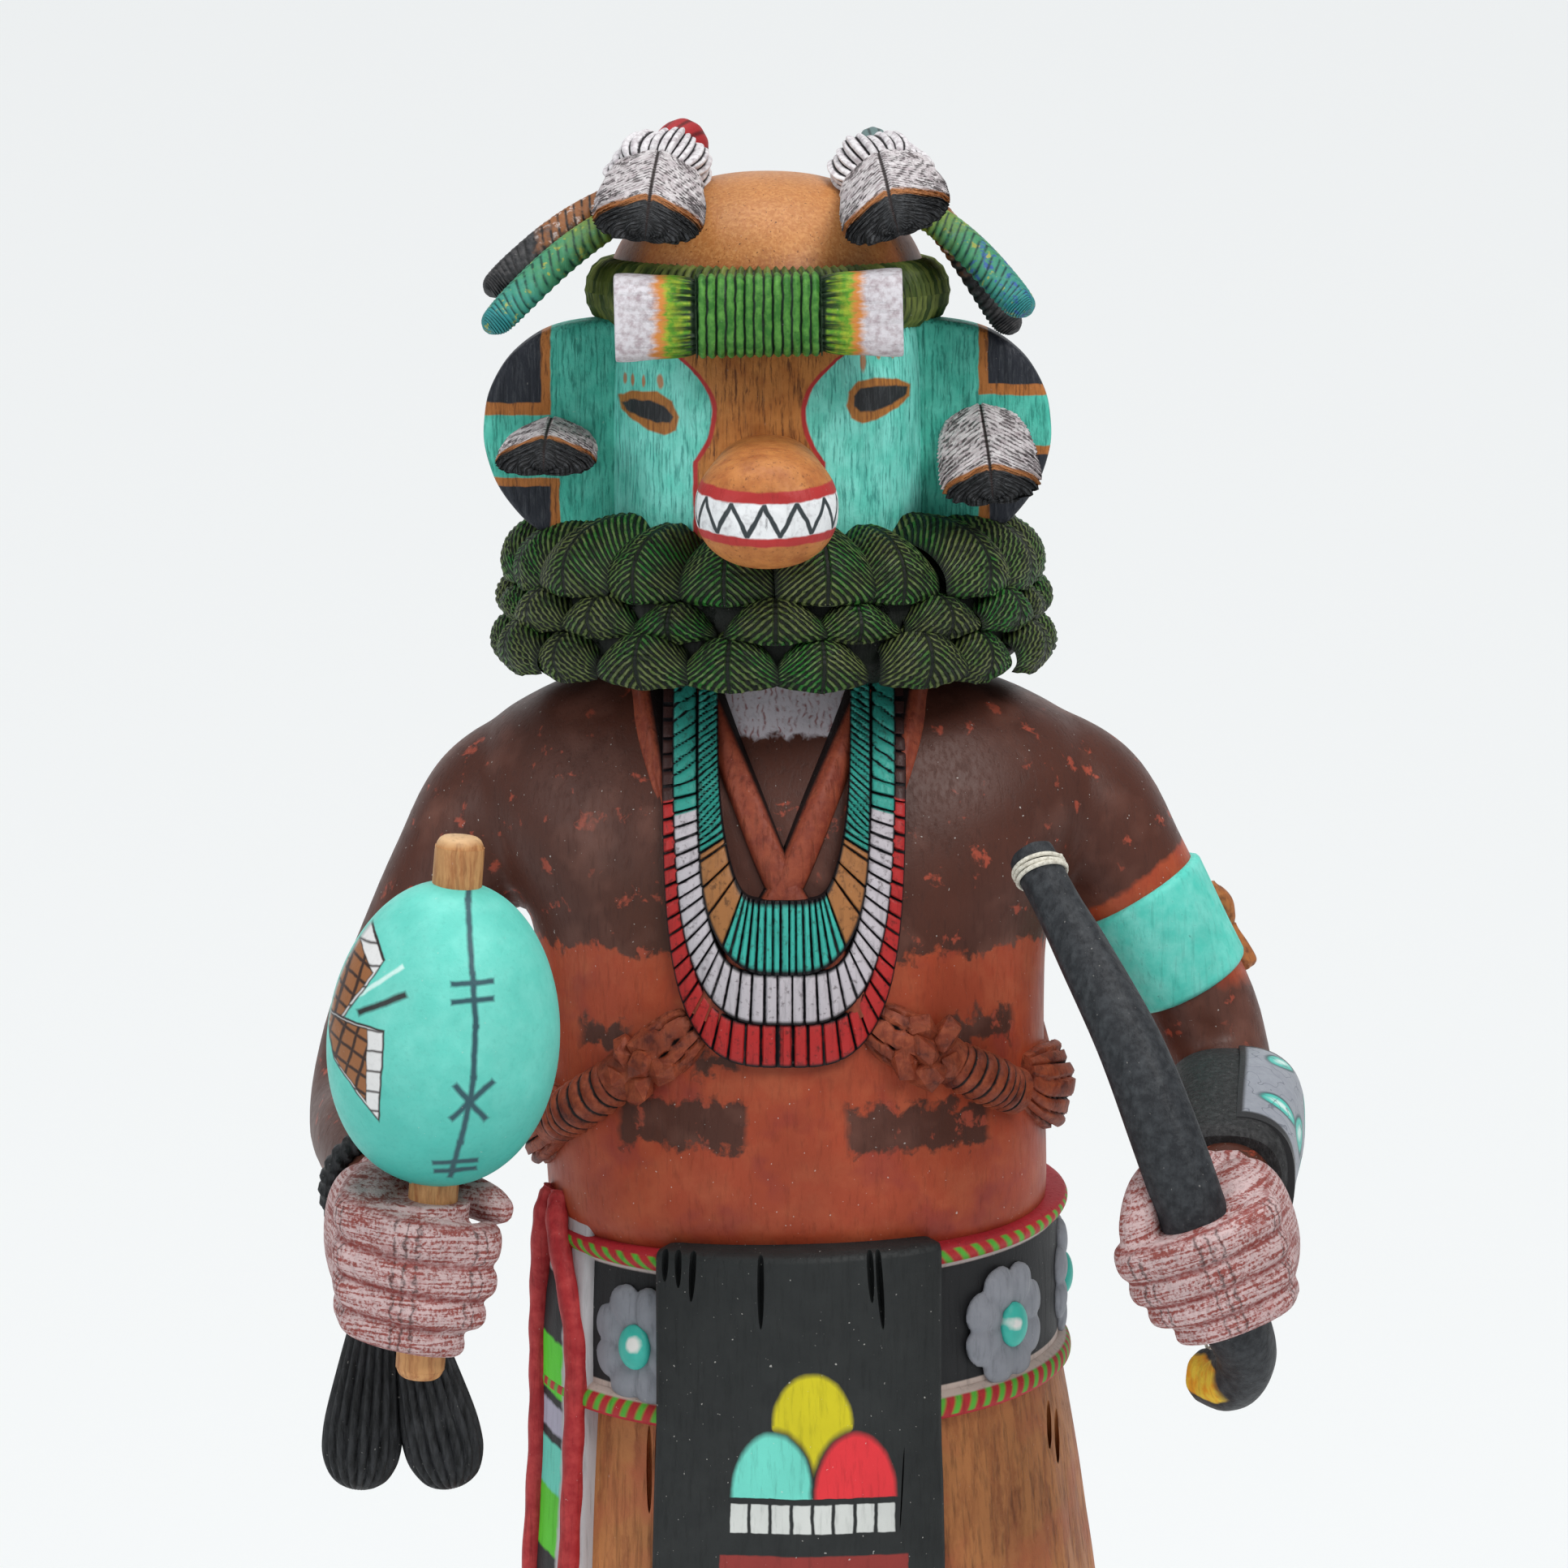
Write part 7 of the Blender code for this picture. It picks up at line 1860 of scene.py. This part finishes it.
# Bow. A stout bent stave held in the left fist, painted matt black with one orange face on its
# lower recurve. A cotton thread is wound round both tips and drawn taut between them.
# How thick the stave is at its first places, and its lower recurve's places and half sizes
BOW_SPREAD = [0.0, 0.0, 0.35, 0.8, 1.0, 1.0, 1.0]
RECURVE = [(62.2, -55.4, 146.6, 4.1, 4.0), (60.6, -49.0, 141.6, 4.0, 3.7), (57.2, -42.4, 141.0, 3.7, 3.0)]
STRING_SIDES = (Vector((0, 1, 0)), Vector((-0.5, 0, 1)))
THREAD = 0.3
WINDS = 4
WINDING = 0.32

stave_rows = []
for spot, share in zip(BOW, BOW_SPREAD):
    radius = 3.2 + 1.5 * share
    stave_rows.append((*spot, radius, radius))
stave_rows += RECURVE


def stave_ends(u, v):
    edge = min(v, 1 - v)
    return -1.1 * max(0.0, 1 - edge / 0.012) ** 2 + 0.06 * math.cos(14 * math.pi * u + 9 * v)


stave = limb("stave", 48, 120, stave_rows, X_AXIS, relief=stave_ends)
f = Finish("bow_paint", 0.2)
black = f.mottled((0.016, 0.018, 0.022), (0.045, 0.05, 0.056), 0.4, 0.7, 0.8, 5.0)
inner = f.both(f.oval(f.x, f.z, (57.1, 141.6), (3.6, 2.7)), f.ramp(f.y, -54, -52))
orange = f.mottled((0.72, 0.3, 0.02), (0.75, 0.5, 0.05), 0.42, 0.6, 0.4)
set_on_doll(stave, f.done(f.over(black, orange, inner), 0.4, 0.4, 0.2, 0.4), "black_paint", "bow_stave")

thread_pieces = []
thread_ends = []
for number, (tip, inner) in enumerate(((0, 1), (-1, -2))):
    tip_spot, next_spot = at(*BOW[tip]), at(*BOW[inner])
    ahead = (next_spot - tip_spot).normalized()
    over = (STRING_SIDES[number] - ahead * ahead.dot(STRING_SIDES[number])).normalized()
    across = ahead.cross(over)
    inside = stave_rows[tip][3]
    middle = tip_spot + ahead * 3.0 * UNIT
    coil = []
    for step in range(WINDS * 16 + 1):
        turn = 2 * math.pi * step / 16
        slip = 0.5 * math.sin(turn * 1.03 + 1) + 0.3 * math.sin(turn * 0.37)
        round_stave = across * math.cos(turn) + over * math.sin(turn)
        spot = middle + (ahead * (-0.9 + 1.8 * step / (WINDS * 16) + slip)
                         + round_stave * (inside + WINDING * 0.8)) * UNIT
        coil.append((*in_units(spot), WINDING, WINDING))
    thread_pieces.append(limb("winding", 8, WINDS * 32, coil, ahead))
    thread_ends.append(middle + over * (inside + WINDING) * UNIT)
low, high = (in_units(end) for end in thread_ends)
taut = [(*low.lerp(high, i / 3), THREAD, THREAD) for i in range(4)]
thread_pieces.append(limb("taut_thread", 10, 60, taut, X_AXIS,
                          relief=lambda u, v: 0.1 * math.cos(2 * math.pi * (2 * u + 60 * v))))
f = Finish("thread_white", 0.05)
fibre = f.mottled((0.72, 0.69, 0.6), (0.45, 0.42, 0.35), 0.45, 0.7, 2.0)
THREAD_FINISH = f.done(fibre, 0.2, 0.3, 0.0, 0.4)
set_on_doll(join("bow_thread", thread_pieces), THREAD_FINISH, "cotton_thread", "bow_string")


# Wrist tassels. A twisted cord of dark yarn carved round the right wrist, and two fluted black
# tassels that hang from it below the fist.
WRIST_STATION = (-54.3, -42.0, 167.0)
TASSELS = [((-54.6, -43.6, 160.5), (-58.2, -45.0, 126.0)), ((-53.0, -43.6, 160.0), (-45.2, -45.2, 126.4))]
TASSEL_SHAPE = [(0.0, 0.3), (0.03, 0.36), (0.2, 0.48), (0.35, 0.62), (0.5, 0.78), (0.7, 0.98),
                (0.8, 1.02), (0.88, 0.97), (0.95, 0.76), (0.985, 0.5), (1.0, 0.25)]
TASSEL_LENGTH = 0.0350
TASSEL_RADIUS = 0.0053
TASSEL_GROOVES = 19
YARN_HALF = 1.5
WRIST_HALF = 6.9

wrist_centre = at(*WRIST_STATION)
wrist_ahead = (at(*RIGHT_ARM[-1][:3]) - at(*RIGHT_ARM[-3][:3])).normalized()
wrist_across = wrist_ahead.cross(Z_AXIS).normalized()
wrist_over = wrist_across.cross(wrist_ahead)


def wrist_spot(u, v):
    turn = 2 * math.pi * v
    half = YARN_HALF + 0.2 * math.cos(2 * (turn + 2 * math.pi * 14 * u))
    reach = WRIST_HALF + YARN_HALF * 0.4 + half * math.cos(turn)
    a, b = rounded(u)
    return wrist_centre + (wrist_across * reach * a + wrist_over * reach * b
                           + wrist_ahead * half * 1.2 * math.sin(turn)) * UNIT


def tassel(number):
    start, end = (at(*spot) for spot in TASSELS[number])
    down = (end - start).normalized()
    across = down.cross(Y_AXIS).normalized()
    over = across.cross(down)

    def spot(u, v):
        share, spread = read(TASSEL_SHAPE, v)
        groove = abs(math.sin(TASSEL_GROOVES * math.pi * u + 0.5 * math.sin(5 * v + number)))
        radius = TASSEL_RADIUS * spread * (0.86 + 0.16 * groove)
        a, b = rounded(u)
        return start + down * TASSEL_LENGTH * share + across * radius * a + over * radius * 0.9 * b
    return wrap(f"tassel_{number}", TASSEL_GROOVES * 8, 44, spot)


yarns = [wrap("wrist_cord", 200, 12, wrist_spot), tassel(0), tassel(1)]
f = Finish("yarn_black", 0.1)
yarn_tone = f.ramp(f.streaked((1, 1, 0.2), 1.4, 4.0), 0.4, 0.68)
yarn = f.over((0.008, 0.009, 0.01), (0.032, 0.034, 0.038), yarn_tone)
YARN_FINISH = f.done(yarn, 0.4, 0.4, 0.25, 0.5, (1, 1, 0.15))
set_on_doll(join("wrist_yarn", yarns), YARN_FINISH, "black_paint", "wrist_tassels")


# Setting. A pale floor that sweeps up behind, a broad soft light from the upper right, a fill from
# the left and one from above, and the camera level with the doll's chest.
FOCUS = Vector((0, 0, SOLE + 0.2165))
CAMERA_FAR = 0.900
CAMERA_PITCH = 8
PICTURE_WIDTH = 0.222
FLOOR_REACH = 1.6
FLOOR_FRONT = -1.4
SWEEP_FROM = 0.2
SWEEP_RADIUS = 1.5

floor_rows = []
for i in range(61):
    turn = math.radians(max(0, i - 10) * 1.8)
    back = SWEEP_FROM + SWEEP_RADIUS * math.sin(turn)
    if i < 10:
        back = FLOOR_FRONT + (SWEEP_FROM - FLOOR_FRONT) * i / 10
    floor_rows.append((back, SWEEP_RADIUS * (1 - math.cos(turn))))
deselect()
bpy.ops.mesh.primitive_grid_add(x_subdivisions=2, y_subdivisions=60, size=1, location=(0, 0, 0))
floor = bpy.context.object
floor.name = "floor"
for corner in floor.data.vertices:
    y, z = floor_rows[round((corner.co.y + 0.5) * 60)]
    corner.co = (corner.co.x * 2 * FLOOR_REACH, y, z)
bpy.ops.object.shade_smooth()
f = Finish("pale_floor", 0.0)
pale = f.done((0.3, 0.31, 0.31), 0.0, 0.02, 0.0, 0.0, gloss=0.3)
pale.node_tree.nodes["Principled BSDF"].inputs["Emission Color"].default_value = (0.97, 0.99, 1, 1)
pale.node_tree.nodes["Principled BSDF"].inputs["Emission Strength"].default_value = 0.66
floor.data.materials.append(pale)


def soft_light(name, place, width, height, watts, colour):
    lamp = bpy.data.lights.new(name, "AREA")
    lamp.shape = "RECTANGLE"
    lamp.size, lamp.size_y = width, height
    lamp.energy = watts
    lamp.color = colour
    holder = bpy.data.objects.new(name, lamp)
    bpy.context.scene.collection.objects.link(holder)
    holder.location = place
    holder.rotation_euler = (FOCUS - Vector(place)).to_track_quat("-Z", "Y").to_euler()


soft_light("key_light", (0.5, -0.7, 1.0), 0.5, 0.5, 7.5, (1, 0.99, 0.97))
soft_light("fill_light", (-0.85, -0.7, 0.6), 0.8, 0.8, 4.5, (0.97, 0.99, 1))
soft_light("top_light", (0.0, 0.05, 1.15), 0.7, 0.5, 4.5, (1, 1, 1))
sky = bpy.data.worlds.new("studio")
sky.use_nodes = True
sky.node_tree.nodes["Background"].inputs["Color"].default_value = (0.95, 0.97, 0.98, 1)
sky.node_tree.nodes["Background"].inputs["Strength"].default_value = 0.3
bpy.context.scene.world = sky

lens = bpy.data.cameras.new("camera")
lens.sensor_width = 36
lens.lens = lens.sensor_width * CAMERA_FAR / PICTURE_WIDTH
camera = bpy.data.objects.new("camera", lens)
bpy.context.scene.collection.objects.link(camera)
pitch = math.radians(CAMERA_PITCH)
camera.location = FOCUS + Vector((0, -CAMERA_FAR * math.cos(pitch), CAMERA_FAR * math.sin(pitch)))
camera.rotation_euler = (math.pi / 2 - pitch, 0, 0)
bpy.context.scene.camera = camera
bpy.context.scene.view_settings.view_transform = "Standard"
